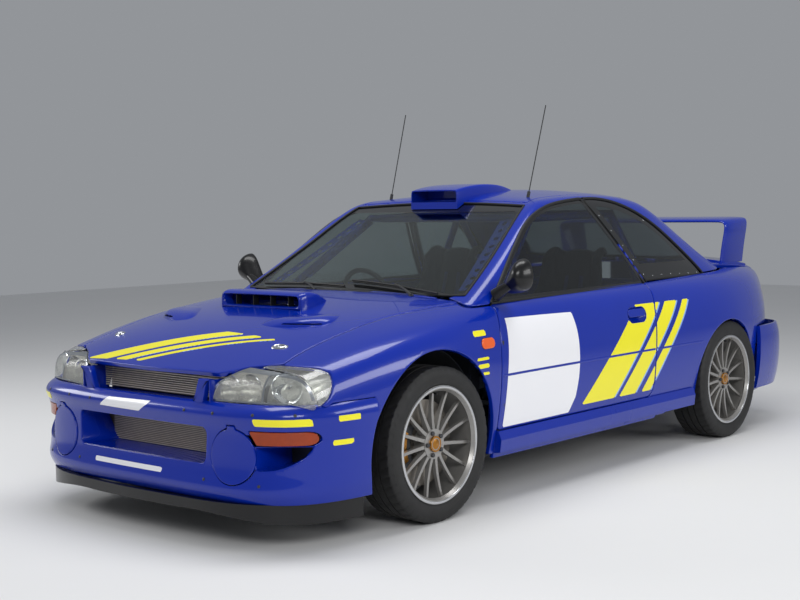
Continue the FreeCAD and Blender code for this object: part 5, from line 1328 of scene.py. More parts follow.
@dataclass
class Forms:
    """The car's surfaces and the regions that its panels are cut to."""

    hull: Net = field(default_factory=lambda: Net.across(HULL, BELT))
    canopy: Net = field(default_factory=lambda: Net.across(CANOPY, ROOF))
    front: Net = field(default_factory=lambda: Net.level(
        levelled(FRONT_LEVELS, FRONT_POLES_X, FRONT_POLES_Y), FRONT_AXLE, FRONT_OVERHANG, -1))
    lamp: Net = field(default_factory=lambda: Net.level(
        levelled([(level, 1.0, lean) for level, lean in LAMP_LEVELS], LAMP_POLES_X,
                 LAMP_POLES_Y), FRONT_AXLE, FRONT_OVERHANG, -1))
    rear: Net = field(default_factory=lambda: Net.level(REAR_BUMPER, REAR_AXLE,
                                                        REAR_OVERHANG, 1))
    door: Outline = field(default_factory=lambda: Outline.side(DOOR, BELT))
    door_glass: Outline = field(default_factory=lambda: Outline.side(DOOR_GLASS, ROOF))
    quarter_glass: Outline = field(default_factory=lambda: Outline.side(QUARTER_GLASS, ROOF))
    wing: Outline = field(default_factory=lambda: Outline.side(WING, BELT))
    windscreen: Outline = field(default_factory=lambda: Outline.plan(WINDSCREEN))
    roof: Outline = field(default_factory=lambda: Outline.plan(ROOF_PLAN))
    rear_window: Outline = field(default_factory=lambda: Outline.plan(REAR_WINDOW))
    bonnet: Outline = field(default_factory=lambda: Outline.plan(BONNET))
    boot_lid: Outline = field(default_factory=lambda: Outline.plan(BOOT_LID))
    lamp_plan: Outline = field(default_factory=lambda: Outline.plan(HEADLAMP_PLAN))
    lamp_front: Outline = field(default_factory=lambda: Outline.front(HEADLAMP_FRONT))
    lamp_side: Outline = field(default_factory=lambda: Outline.side(HEADLAMP_SIDE, BELT))
    intake: Outline = field(default_factory=lambda: Outline.front(INTAKE))
    duct: Outline = field(default_factory=lambda: Outline.real(
        View.FRONT, [(.629, .4005)], [(.812, .4035)],
        [(.798, .372), (.770, .346), (.730, .326), (.690, .3165), (.650, .3135)],
        [(.632, .318)]))
    indicator: Outline = field(default_factory=lambda: Outline.real(
        View.FRONT, [(.603, .4634)], [(.800, .4634)],
        [(.819, .458), (.827, .437), (.820, .415), (.806, .4085)], [(.637, .4071)]))
    tail: float = station(1.90)
    tail_lamp_low: float = .640
    tail_lamp_top: float = .786
    tail_lamp_inner: float = .415
    tail_lamp_depth: float = .095
    arch_front: float = .388
    arch_rear: float = .331

    @staticmethod
    def left() -> Field:
        """The car's left half."""
        return lambda p: -p[:, 0]

    def headlamp_region(self) -> Field:
        """The headlamp's opening in the left wing."""
        return both(self.lamp_plan.field, self.lamp_side.field, self.lamp_front.field)

    def tail_lamp_region(self) -> Field:
        """The tail lamp's opening in the left rear corner."""
        return both(slab(1, self.tail - self.tail_lamp_depth, self.tail + .1),
                    slab(2, self.tail_lamp_low, self.tail_lamp_top),
                    slab(0, self.tail_lamp_inner, 1.0))

    def front_arch(self) -> Field:
        """Round the front wheel."""
        return barrel(FRONT_AXLE, TYRE_RADIUS, self.arch_front)

    def rear_arch(self) -> Field:
        """Round the rear wheel."""
        return barrel(REAR_AXLE, TYRE_RADIUS, self.arch_rear)

    def wing_region(self) -> Field:
        """The left front wing, less its neighbours."""
        return both(self.wing.field, outside(self.canopy.field), outside(self.bonnet.field),
                    outside(self.headlamp_region()), outside(self.front.field),
                    outside(self.front_arch()), outside(self.windscreen.field))

    def quarter_region(self) -> Field:
        """The left sill, pillars and rear quarter below the waist."""
        return both(outside(self.wing.field), outside(self.door.field),
                    outside(self.bonnet.field), outside(self.windscreen.field),
                    outside(self.rear_window.field), outside(self.boot_lid.field),
                    outside(self.rear.field), outside(self.rear_arch()),
                    outside(self.tail_lamp_region()), outside(self.canopy.field))


@dataclass
class Hood:
    """The bonnet's scoop and side vents, as in the CAD: distances behind the axle."""

    scoop: tuple = ((-.171, .252, .022), (-.155, .257, .033), (-.115, .256, .037),
                    (-.060, .246, .028), (-.005, .228, .008), (.047, .200, -.016))
    scoop_foot: float = BELT - .054
    scoop_slope: float = .150
    vent: tuple = ((-.427, .222, .030, -.112), (-.405, .262, .070, -.092),
                   (-.365, .318, .118, -.065), (-.315, .368, .140, -.051),
                   (-.260, .400, .124, -.047), (-.205, .418, .090, -.044),
                   (-.145, .428, .050, -.052))
    vent_foot: float = BELT - .160
    vent_slope: float = .235
    slot_place: tuple = (.425, FRONT_AXLE - .342, BELT - .077)
    slot_half: tuple = (.092, .030, .0065)
    slot_turn: float = 33.0
    lip_points: int = 120
    lip_middle: float = .049
    slot_straight: float = .211
    slot_round: tuple = (.024, .0240)
    sill: float = .012
    vanes: int = 4
    vane_pitch: float = .110
    vane_half: float = .0022
    throat_half: float = .215
    throat_front: float = .022
    throat_length: float = .120
    wall: float = .007

    def scoop_net(self) -> Net:
        """The scoop's outer surface."""
        rows = [(FRONT_AXLE + y, 0.0, half, BELT + top) for y, half, top in self.scoop]
        return Net.hood(rows, HOOD_SECTION, self.scoop_foot, self.scoop_slope)

    def vent_net(self) -> Net:
        """The left vent's outer surface."""
        rows = [(FRONT_AXLE + y, x, half, BELT + top) for y, x, half, top in self.vent]
        return Net.hood(rows, VENT_SECTION, self.vent_foot, self.vent_slope)

    def mouth(self) -> float:
        """Place of the scoop's mouth along the car."""
        return FRONT_AXLE + self.scoop[0][0]

    def throat(self) -> Field:
        """Hole in the bonnet under the scoop."""
        low = self.mouth() + self.throat_front
        return both(slab(0, -self.throat_half, self.throat_half),
                    slab(1, low, low + self.throat_length))


def evenly(line: Array, count: int) -> Array:
    """Points spaced evenly along a polyline, both of its ends among them."""
    run = np.concatenate([[0], np.cumsum(np.linalg.norm(np.diff(line, axis=0), axis=1))])
    places = np.linspace(0, run[-1], count)
    return np.stack([np.interp(places, run, line[:, k]) for k in (0, 1)], axis=1)


@dataclass
class Bodywork:
    """Painted outer panels."""

    forms: Forms
    step: float = .011
    skin: float = .018
    gap: float = .0025
    edge: float = .0030

    def shell(self, net: Net, region: Field, low: float, high: float, v_low: float = 0.0,
              v_high: float = 1.0, thickness: float = 0.0, step: float = 0.0) -> Patch:
        """Panel with a rounded edge, drawn in from its region by the gap and the edge."""
        cut = grown(region, -self.gap - self.edge)
        patch = trimmed(net, cut, step or self.step, low, high, v_low, v_high)
        return walled(patch, thickness or self.skin, self.edge)

    def build(self) -> None:
        """Make every painted panel."""
        f = self.forms
        self.bonnet()
        patch = self.shell(f.hull, f.wing_region(), station(-.80), station(.20), .0, .45)
        add("front_wing_skins", pair(patch), PAINT, "chassis",
            ["front_wings"])
        door = both(f.door.field, f.left(), outside(Trim(f).handle_region()))
        patch = self.shell(f.hull, door, station(.16), station(.72), .0, .45)
        add_each("door_skin", patch, PAINT, "door", ["door"])
        self.side_frames()
        add("roof_skin", self.shell(f.canopy, f.roof.field, station(.42), station(.81),
                                    .2, .8), PAINT, "chassis",
            ["roof_panel"])
        lid = both(f.boot_lid.field, outside(f.canopy.field))
        add("boot_lid_skin", self.shell(f.hull, lid, station(1.28), f.tail, .25, .75),
            PAINT, "boot_lid")

    def bonnet(self) -> None:
        """Bonnet with its scoop, the scoop's lip and vanes, the two vents, and black
        painted-shade plates under them.
        """
        f, hood = self.forms, Hood()
        panel = self.shell(f.hull, both(f.bonnet.field, outside(hood.throat())),
                           station(-.92), station(.17), .22, .78)
        above = both(outside(f.hull.field), slab(1, hood.mouth() + .002, station(.10)))
        net = hood.scoop_net()
        scoop = walled(trimmed(net, grown(above, .006), .007, hood.mouth(),
                               FRONT_AXLE + hood.scoop[-1][0]), hood.wall, .002, 2)
        net = hood.vent_net()
        slot = box_region(hood.slot_place, hood.slot_half, hood.slot_turn)
        above = both(outside(f.hull.field), outside(slot))
        vent = walled(trimmed(net, grown(above, .003), .006,
                              FRONT_AXLE + hood.vent[0][0] + .001,
                              FRONT_AXLE + hood.vent[-1][0]), .004, .001, 2)
        add("bonnet_skin", joined(panel, scoop, vent, vent.mirrored()), PAINT, "bonnet",
            ["bonnet"])
        add("scoop_lip", self.scoop_lip(hood), PAINT, "bonnet")
        y, foot = hood.mouth(), hood.scoop_foot
        vanes = [brick((x - hood.vane_half, y + .010, foot + .020),
                       (x + hood.vane_half, y + .040, BELT + .020), .0008)
                 for x in (np.arange(hood.vanes) - (hood.vanes - 1) / 2) * hood.vane_pitch]
        floor = brick((-.24, y + .03, foot - .05), (.24, y + .16, foot - .044))
        add("scoop_vanes", joined(floor, *vanes), BLACK_PLASTIC, "bonnet")
        # Painted shade: a black plate lies on the bonnet under each vent's slot, so the slot
        # looks dark where the real vent opens onto shaded space below.
        (x, y, z), (hx, hy, _) = hood.slot_place, hood.slot_half
        well = both(box_region((x - .004, y + .012, z), (hx, hy, .2), hood.slot_turn),
                    grown(hood.vent_net().field, -.005))
        under = walled(trimmed(f.hull, well, .006, y - .12, y + .12, .2, .5, .002), .002,
                       .0005, 1)
        add("vent_painted_shade_plates", pair(under), BLACK_PLASTIC, "bonnet")

    def scoop_lip(self, hood: Hood) -> Patch:
        """Rounded lip that narrows the scoop's mouth to a slot with round ends.

        Loops run from the scoop's section to the slot, and bulge forwards by a sine.
        """
        angle = np.linspace(0, 2 * math.pi, hood.lip_points, endpoint=False)
        middle = np.array([0, hood.scoop_foot + hood.lip_middle])
        turn = np.stack([np.cos(angle), np.sin(angle)], axis=1)
        round_x, round_z = hood.slot_round
        slot = np.stack([np.clip(turn[:, 0] * 3, -1, 1) * hood.slot_straight
                         + turn[:, 0] * round_x, turn[:, 1] * round_z], axis=1) + middle
        v = np.linspace(0, 1, 400)
        section = hood.scoop_net().at(v * 0 + .004, v)[:, [0, 2]]
        sill = hood.scoop_foot + hood.sill
        section[:, 1] = np.maximum(section[:, 1], sill)
        way = np.arctan2(section[:, 1] - middle[1], section[:, 0] * .1)
        order = np.argsort(way)
        aim = np.arctan2(slot[:, 1] - middle[1], slot[:, 0] * .1)
        outer = np.stack([np.interp(aim, way[order], section[order, k], period=2 * math.pi)
                          for k in (0, 1)], axis=1)
        low = turn[:, 1] < -.05
        outer[low, 1] = np.minimum(outer[low, 1], sill)
        rows = []
        for share in (0, .15, .35, .55, .75, .9, 1):
            flat = outer + (slot - outer) * share
            y = hood.mouth() + .004 - .009 * math.sin(math.pi * share)
            rows.append(np.stack([flat[:, 0], np.full(len(flat), y), flat[:, 1]], axis=1))
        rows.append(rows[-1] + [0, .045, 0])
        patch = facing(sheet_grid(np.array(rows), close_v=True), (0, -1, 0))
        return walled(patch, .003, .0008, 1)

    def side_frames(self) -> None:
        """Pillars, sills and rear quarters: the left one and its mirror image."""
        f = self.forms
        low = self.shell(f.hull, f.quarter_region(), station(.165), f.tail, .0, .30)
        upper = both(outside(f.door_glass.field), outside(f.quarter_glass.field),
                     outside(f.windscreen.field), outside(f.roof.field),
                     outside(f.rear_window.field), outside(f.hull.field), f.left())
        top = self.shell(f.canopy, upper, station(.06), station(1.40), .0, .50)
        add("side_frame_skins", pair(joined(low, top)), PAINT, "chassis",
            ["side_frames"])


@dataclass
class Nose:
    """Front bumper with its openings, shelf, uprights, covers and indicators."""

    forms: Forms
    step: float = .008
    arch: float = .418
    cover: tuple = (.532, .360)
    cover_radius: float = .106
    cover_gap: float = .0022
    tab_half: float = .019
    tab_top: float = .479
    core_front: float = station(-.790)
    duct_back: float = station(-.70)
    upright_front: float = station(-.936)
    upright_depth: float = .030
    wall_inner: float = .398
    wall_outer: float = .403
    shelf_level: float = .604
    shelf_half: float = .430
    upper_fins: int = 13
    lower_fins: int = 24
    plate: tuple = ([(-.176, .5361)], [(.0997, .5400)], [(.0222, .4958)],
                    [(-.2356, .4990)])
    heads: tuple = ((.300, .523), (.455, .523), (.640, .527), (.780, .527), (.395, .262),
                    (.655, .258))
    head_radius: float = .0065

    def build(self) -> None:
        """Make the bumper's pieces."""
        f = self.forms
        holes = both_sides(either(f.intake.field, f.duct.field, f.indicator.field))
        covers = both_sides(grown(self.cover_region(), self.cover_gap))
        region = both(outside(barrel(FRONT_AXLE, TYRE_RADIUS, self.arch)), outside(holes),
                      outside(covers))
        skin = walled(trimmed(f.front, grown(region, -.003), self.step,
                              FRONT_LEVELS[0][0] * BELT, FRONT_LEVELS[-1][0] * BELT),
                      .018, .003)
        upright = prism(Outline.front(UPRIGHT).points, View.FRONT, self.upright_front,
                        self.upright_front + self.upright_depth, .004)
        wall = brick((self.wall_inner, station(-.925), self.shelf_level * BELT - .01),
                     (self.wall_outer, self.core_front + .01, BELT * .712), .001)
        duct = self.well(f.duct.points, self.duct_back, self.narrowed)
        intake = self.well(f.intake.points, self.core_front - .004, self.intake_back)
        add("front_bumper_skin", joined(skin, intake, pair(duct), self.shelf(),
                                        pair(upright), pair(wall)), PAINT, "chassis",
            ["front_bumper"])
        ends = prism(self.narrowed(f.duct.points), View.FRONT, self.duct_back - .002,
                     self.duct_back + .004)
        add("duct_ends", pair(ends), BLACK_PLASTIC, "chassis")
        cover = walled(trimmed(f.front, grown(self.cover_region(), -.003), .006,
                               .200, .495, .0, .5, .0035), .010, .002)
        add("lamp_cover_skins", pair(cover), PAINT, "chassis",
            ["lamp_covers"])
        lens = walled(trimmed(f.front, grown(f.indicator.field, -.004), .005,
                              .390, .490, .0, .5, -.001), .006, .0015)
        add("indicator_lenses", pair(lens), AMBER, "chassis", ["indicators"])
        self.fasteners()
        self.fins()

    def fins(self) -> None:
        """Level fins in front of both cooler cores, and the blank plate on the nose."""
        y = self.core_front
        low = self.shelf_level * BELT
        upper = [brick((-.392, y - .012, z), (.392, y - .001, z + .0044), .0006)
                 for z in np.linspace(low + .010, low + .120, self.upper_fins)]
        lower = [brick((-.345, y - .008, z), (.345, y - .001, z + .0026), .0004)
                 for z in np.linspace(.300, .470, self.lower_fins)]
        add("core_fins", joined(*upper, *lower), FIN_METAL, "chassis")
        plate = Outline.real(View.FRONT, *self.plate)
        skin = trimmed(self.forms.front, plate.field, .008, .47, .56, .3, .7, .0012)
        add("blank_front_plate", walled(skin, .002, .0004, 1), WHITE, "chassis")

    def cover_region(self) -> Field:
        """Round cover with a tab at its top."""
        x, z = self.cover

        def disc(points: Array) -> Array:
            """Distance beyond the cover's rim."""
            return np.hypot(points[:, 0] - x, points[:, 2] - z) - self.cover_radius

        tab = both(slab(0, x - self.tab_half, x + self.tab_half), slab(2, z, self.tab_top))
        return either(disc, tab)

    def intake_back(self, line: Array) -> Array:
        """The intake's back edge: the front one drawn in more at its foot."""
        low, high = line[:, 1].min(), line[:, 1].max()
        share = (line[:, 1] - low) / (high - low)
        return np.stack([line[:, 0] * (.82 + .20 * share),
                         line[:, 1] + .006 * (1 - share)], axis=1)

    def narrowed(self, line: Array) -> Array:
        """The outline drawn in towards its middle."""
        middle = (line.min(0) + line.max(0)) / 2
        return middle + (line - middle) * .86

    def well(self, line: Array, back: float, shape: Callable[[Array], Array]) -> Patch:
        """Wall from an opening's edge on the bumper to its back edge."""
        y = self.forms.front.reach(line[:, 0], line[:, 1]) + .004
        inner = shape(line)
        rows = []
        for share in (0, .03, .35, .7, 1):
            flat = line + (inner - line) * share
            rows.append(np.stack([flat[:, 0], y + (back - y) * share, flat[:, 1]], axis=1))
        patch = sheet_grid(np.array(rows), close_v=True)
        inwards = patch.points.mean(0) - patch.points
        return walled(facing(patch, inwards), .004, .001, 1)

    def shelf(self) -> Patch:
        """Wide shelf between the bumper's ledge and the upper core."""
        x = np.linspace(-self.shelf_half, self.shelf_half, 41)
        z = self.shelf_level * BELT
        front = self.forms.front.reach(x, z) + .004
        y = front + (self.core_front - front) * np.linspace(0, 1, 8)[:, None]
        grid = np.stack([np.broadcast_to(x, y.shape), y, np.full(y.shape, z)], axis=-1)
        return walled(facing(sheet_grid(grid), (0, 0, 1)), .005, .002)

    def fasteners(self) -> None:
        """Dark quarter-turn heads along the bumper's edge and round the covers."""
        step = .004
        x, z = np.concatenate([self.heads, np.multiply(self.heads, [-1, 1])]).T
        y = self.forms.front.reach(x, z)
        side = self.forms.front.reach(x + step, z) - y
        rise = self.forms.front.reach(x, z + step) - y
        normals = unit(np.stack([side / step, -np.ones(len(y)), rise / step], axis=1))
        add("bumper_fasteners", studs(np.stack([x, y, z], axis=1), normals,
                                      self.head_radius, .0022), STEEL, "chassis")


@dataclass
class Lamps:
    """Headlamps with lenses, bowls and frames."""

    forms: Forms
    split: float = .632
    wall: float = .003
    depth: float = .060
    inner_edge: float = .432
    frame_outer: float = .735
    frame_low: float = .578
    bowls: tuple = ((.470, .604, .052), (.560, .612, .056), (.700, .618, .060))
    outer_turn: float = 26.0

    def build(self) -> None:
        """Make both headlamps."""
        f = self.forms
        region = both(f.headlamp_region(), outside(f.bonnet.field), outside(f.front.field))
        on_lamp = both(region, f.hull.field)
        inner = self.lamp_part(grown(both(on_lamp, slab(0, 0, self.split)), -.0035), .005)
        outer = self.lamp_part(grown(both(on_lamp, slab(0, self.split, 1)), -.0035), .005)
        top = trimmed(f.hull, grown(both(region, f.lamp.field), -.0035), .006,
                      station(-1.0), station(-.55), .05, .45)
        lens = joined(*[walled(part, self.wall, .001, 2) for part in (outer, top)])
        add("headlamp_lenses", pair(lens), LENS, "chassis", ["headlamps"])
        add("headlamp_fluted_lenses", pair(walled(inner, self.wall, .001, 2)), FLUTED,
            "chassis")
        upper = either(slab(0, 0, self.frame_outer), slab(2, self.frame_low, 1))
        frame = self.lamp_part(both(band(on_lamp, -.001, .0075), upper), .004, .0006)
        bar = slab(0, self.split - .004, self.split + .004)
        bar = self.lamp_part(both(on_lamp, bar), .004, .0006)
        rims = joined(walled(frame, .004, .0006, 1), walled(bar, .030, .0006, 1))
        add("headlamp_frames", pair(rims), LAMP_FRAME, "chassis")
        back = self.lamp_part(both(grown(region, .010), slab(0, self.inner_edge, 1)), .012,
                              -self.depth)
        add("headlamp_housings", pair(walled(back, .003, .001, 1)), REFLECTOR_GREY,
            "chassis")
        made = []
        for x, z, radius in self.bowls:
            outer = x > self.split
            y = float(f.lamp.reach(x, z)) + .018 + outer * .014
            made.append(self.bowl((x, y, z), radius, outer * self.outer_turn))
        add("headlamp_bowls", pair(joined(*made)), CHROME, "chassis")

    def lamp_part(self, region: Field, step: float, lift: float = 0.0) -> Patch:
        """Part of the left lamp's surface."""
        return trimmed(self.forms.lamp, region, step, LAMP_LEVELS[0][0] * BELT,
                       LAMP_LEVELS[-1][0] * BELT, .0, .5, lift)

    def bowl(self, rim: Sequence[float], radius: float, turn: float) -> Patch:
        """Parabolic bowl with its bulb: depth is proportional to the radius squared."""
        depth = radius * .95
        inner = [(-depth * (1 - s * s), max(radius * s, 1e-4)) for s in np.linspace(0, 1, 12)]
        outer = [(a - .002, r + .0015) for a, r in inner[::-1]]
        shell = revolved(inner + [(.001, radius + .001)] + outer, 40)
        bulb = revolved([(-depth, 1e-4), (-depth, .007), (-depth + .018, .007),
                         (-depth + .022, .005), (-depth + .036, .005),
                         (-depth + .040, 1e-4)], 16)
        angle = math.radians(turn)
        way = (math.sin(angle), -math.cos(angle), 0)
        return onto(joined(shell.flipped(), bulb), rim, way, (0, 0, 1))


@dataclass
class Glasshouse:
    """Screens and side glass with their printed borders, seals and rivets."""

    forms: Forms
    thickness: float = .005
    sunk: float = -.004
    rivet_count: int = 22
    rivet_inset: float = .022
    gusset: tuple = ((.615, -.800), (.470, -.290))
    gusset_half: float = .032
    gusset_hole: float = .014
    gusset_holes: int = 9

    def build(self) -> None:
        """Make the panes, then what lies on them."""
        f = self.forms
        screen = both(f.windscreen.field, outside(f.hull.field))
        back = both(f.rear_window.field, outside(f.hull.field))
        door = both(f.door_glass.field, f.left())
        quarter = both(f.quarter_glass.field, f.left())
        front, rear = ((.10, .45), (.15, .85)), ((.78, 1.30), (.15, .85))
        ahead, behind = ((.18, .75), (.0, .45)), ((.57, 1.0), (.0, .45))
        strip = both(screen, slab(1, station(.4015), 1.0))
        self.piece("windscreen_pane", screen, front, SCREEN_GLASS, ["windscreen"])
        self.piece("rear_window_pane", back, rear, SIDE_GLASS, ["rear_window"])
        self.piece("door_glass_pane", door, ahead, SIDE_GLASS, ["door_glass"], "doors")
        self.piece("quarter_panes", quarter, behind, SIDE_GLASS, ["quarter_windows"],
                   "chassis both")
        for name, region, reach, body in (
                ("sun_strip", either(strip, band(screen, 0, .018)), front, "chassis"),
                ("rear_window_border", band(back, 0, .030), rear, "chassis"),
                ("door_glass_border", band(door, 0, .020), ahead, "doors"),
                ("quarter_borders", either(band(quarter, 0, .040), both(quarter, slab(
                    2, .8, .985))), behind, "chassis both")):
            self.piece(name, region, reach, GLASS_BLACK, [], body, .0006, .0005)
        self.seal("windscreen_seal", f.windscreen, .0055, "chassis")
        self.seal("rear_window_seal", f.rear_window, .0055, "chassis")
        self.seal("door_glass_seal", f.door_glass, .0075, "doors")
        self.seal("quarter_seals", f.quarter_glass, .0065, "chassis both")
        self.rivets()
        self.gussets()

    def place(self, name: str, patch: Patch, finish: Finish, body: str,
              stands_for: Sequence[str] = (), slot: str = "") -> None:
        """Add a piece on the chassis, on both sides of it, or on each door."""
        if body == "doors":
            add_each(name, patch, finish, "door", stands_for)
        else:
            whole = pair(patch) if body == "chassis both" else patch
            add(name, whole, finish, "chassis", stands_for)

    def piece(self, name: str, region: Field, reach: tuple, finish: Finish,
              stands_for: Sequence[str], body: str = "chassis", lift: float = 0.0,
              thickness: float = 0.0) -> None:
        """Sheet sunk a little below the body's surface: a pane, or print upon it."""
        (low, high), v = reach
        patch = trimmed(self.forms.canopy, grown(region, 0 if lift else -.003),
                        .010 if lift else .014, station(low), station(high), v[0], v[1],
                        self.sunk + lift)
        self.place(name, walled(patch, thickness or self.thickness, .0002 if lift else .001,
                                1), finish, body, stands_for, "" if lift else "glass")

    def seal(self, name: str, outline: Outline, radius: float, body: str) -> None:
        """Rubber bead along an outline."""
        line = np.concatenate([outline.points, outline.points[:1]])
        canopy = self.forms.canopy
        find = canopy.crown if outline.view is View.PLAN else canopy.flank
        self.place(name, tube(find(*line.T)[0], radius, 8, False), RUBBER_SEAL, body)

    def rivets(self) -> None:
        """Rivets through the border of the quarter glass."""
        line = self.forms.quarter_glass.points
        spots = evenly(np.concatenate([line, line[:1]]), self.rivet_count + 1)[:-1]
        spots = spots + unit(line.mean(0) - spots) * self.rivet_inset
        points, normals = self.forms.canopy.flank(spots[:, 0], spots[:, 1])
        keep = self.forms.quarter_glass.field(points) < -.012
        heads = studs(points[keep] + normals[keep] * self.sunk, normals[keep], .0035, .002)
        add("quarter_rivets", pair(heads), POLISHED, "chassis")

    def gussets(self) -> None:
        """Pierced stiffening plates inside the windscreen's side edges."""
        low, high = np.array(self.gusset)
        length = np.linalg.norm(high - low)
        way = unit(high - low)
        side = np.array([way[1], -way[0]])
        pitch = length / self.gusset_holes

        def plate(points: Array) -> Array:
            """Strip in plan with a row of round holes."""
            p = np.stack([np.abs(points[:, 0]), points[:, 1]], axis=1) - low
            along, over = p @ way, p @ side
            strip = np.maximum(np.abs(over) - self.gusset_half,
                               np.abs(along - length / 2) - length / 2)
            hole = np.clip(np.round(along / pitch - .5), 0, self.gusset_holes - 1)
            centre = (hole + .5) * pitch
            return np.maximum(strip, self.gusset_hole - np.hypot(along - centre, over))

        patch = trimmed(self.forms.canopy, both(plate, self.forms.left()), .005,
                        low[1] - .05, high[1] + .05, .0, .5, -.040)
        add("screen_gussets", pair(walled(patch, .003, .0008, 1)), CAGE_PAINT, "chassis")


@dataclass
class Livery:
    """Vinyl on the paint: plain plates, bars and slashes.

    Each slash is its two places at its foot and the two at its top. A bar is its low and
    high corner along the axes that it is drawn in.
    """

    forms: Forms
    lift: float = .0009
    edge: float = .013
    nose_edge: float = .010
    plate: tuple = (((-.773, .802), (-.520, .799), (-.260, .794)),
                    ((-.240, .715), (-.230, .600), (-.238, .490), (-.262, .398)),
                    ((-.314, .330),), ((-.827, .329),), ((-.773, .802),))
    slashes: tuple = ((-.205, .080, .300, .530), (.125, .275, .585, .700),
                      (.335, .420, .760, .815))
    slash_reach: tuple = (.352, .792)
    nose_slashes: tuple = ((-.445, -.300, .150, .260), (-.255, -.170, .310, .370),
                           (-.125, -.080, .420, .450))
    nose_reach: tuple = (-2.055, -1.780)
    bumper_bar: tuple = ((.640, .818), (.484, .512))
    corner_bars: tuple = (((-1.865, -1.765), (.492, .514)), ((-1.885, -1.795), (.402, .422)))
    wing_bars: tuple = ((.742, .024), (.640, .012), (.606, .018), (.576, .012))
    wing_bar_reach: tuple = (-1.035, -.945)
    lip_bar: tuple = ((-.28, .15), (.262, .281))

    def build(self) -> None:
        """Lay every piece of vinyl."""
        f = self.forms
        plate = both(Outline.real(View.SIDE, *self.plate).field, f.left())
        add_each("door_plate", self.vinyl(f.hull, plate, (-.86, -.20), (.0, .45)), WHITE,
                 "door")
        handle = Trim(f).handle_region()
        door = both(grown(f.door.field, -.006), outside(grown(handle, .004)), f.left())
        quarter = both(grown(f.quarter_region(), -.006), f.left(), slab(1, 0, 1.2))
        for finish, name, edge in ((YELLOW, "yellow_slashes", 0),
                                   (PALE_BLUE, "pale_blue_edges", self.edge)):
            region = self.slanted(self.slashes, self.slash_reach, edge, View.SIDE)
            add_each(name, self.vinyl(f.hull, both(door, region), (-.26, .60), (.0, .45)),
                     finish, "door")
            add(f"{name}_rear", pair(self.vinyl(f.hull, both(quarter, region), (.40, .90),
                                                (.0, .30))), finish, "chassis")
        bonnet = grown(f.bonnet.field, -.010)
        for finish, name, edge in ((YELLOW, "bonnet_slashes", 0),
                                   (PALE_BLUE, "bonnet_slash_edges", self.nose_edge)):
            region = self.slanted(self.nose_slashes, self.nose_reach, edge, View.PLAN)
            add(name, self.vinyl(f.hull, both(bonnet, region), (-2.09, -1.70),
                                 (.25, .75)), finish, "bonnet")
        self.bars()

    def slanted(self, slashes: Sequence, reach: tuple, edge: float, view: View) -> Field:
        """Slashes, or the strips of width `edge` along one side of each."""
        made = []
        for low_a, low_b, top_a, top_b in slashes:
            if edge:
                low_a, low_b, top_a, top_b = low_b, low_b + edge, top_b, top_b + edge
            low, top = reach
            corners = [(low_a, low), (low_b, low), (top_b, top), (top_a, top)]
            made.append(Outline(np.array(corners), view).field)
        return either(*made)

    def bars(self) -> None:
        """Plain bars on the bumper, its corners, the wings and the bumper's lip."""
        f = self.forms
        (x, z), corners = self.bumper_bar, self.corner_bars
        front = either(both(slab(0, *x), slab(2, *z)),
                       *[both(slab(1, *y), slab(2, *z), slab(0, .5, 1)) for y, z in corners])
        add("bumper_bars", pair(self.vinyl(f.front, front, (.40, .53), (.0, .5))), YELLOW,
            "chassis")
        rows = [both(slab(1, *self.wing_bar_reach), slab(2, z, z + height))
                for z, height in self.wing_bars]
        wing = both(grown(f.wing_region(), -.004), either(*rows))
        add("wing_bars", pair(self.vinyl(f.hull, wing, (-1.06, -.90), (.0, .45))), YELLOW,
            "chassis")
        x, z = self.lip_bar
        lip = both(slab(0, *x), slab(2, *z))
        add("lip_bar", self.vinyl(f.front, lip, (.24, .30), (.2, .8)), WHITE, "chassis")

    def vinyl(self, net: Net, region: Field, reach: tuple, v: tuple) -> Patch:
        """Thin sheet that lies on the paint."""
        patch = trimmed(net, region, .008, *reach, *v, self.lift)
        return walled(patch, self.lift * 1.5, .0002, 1)


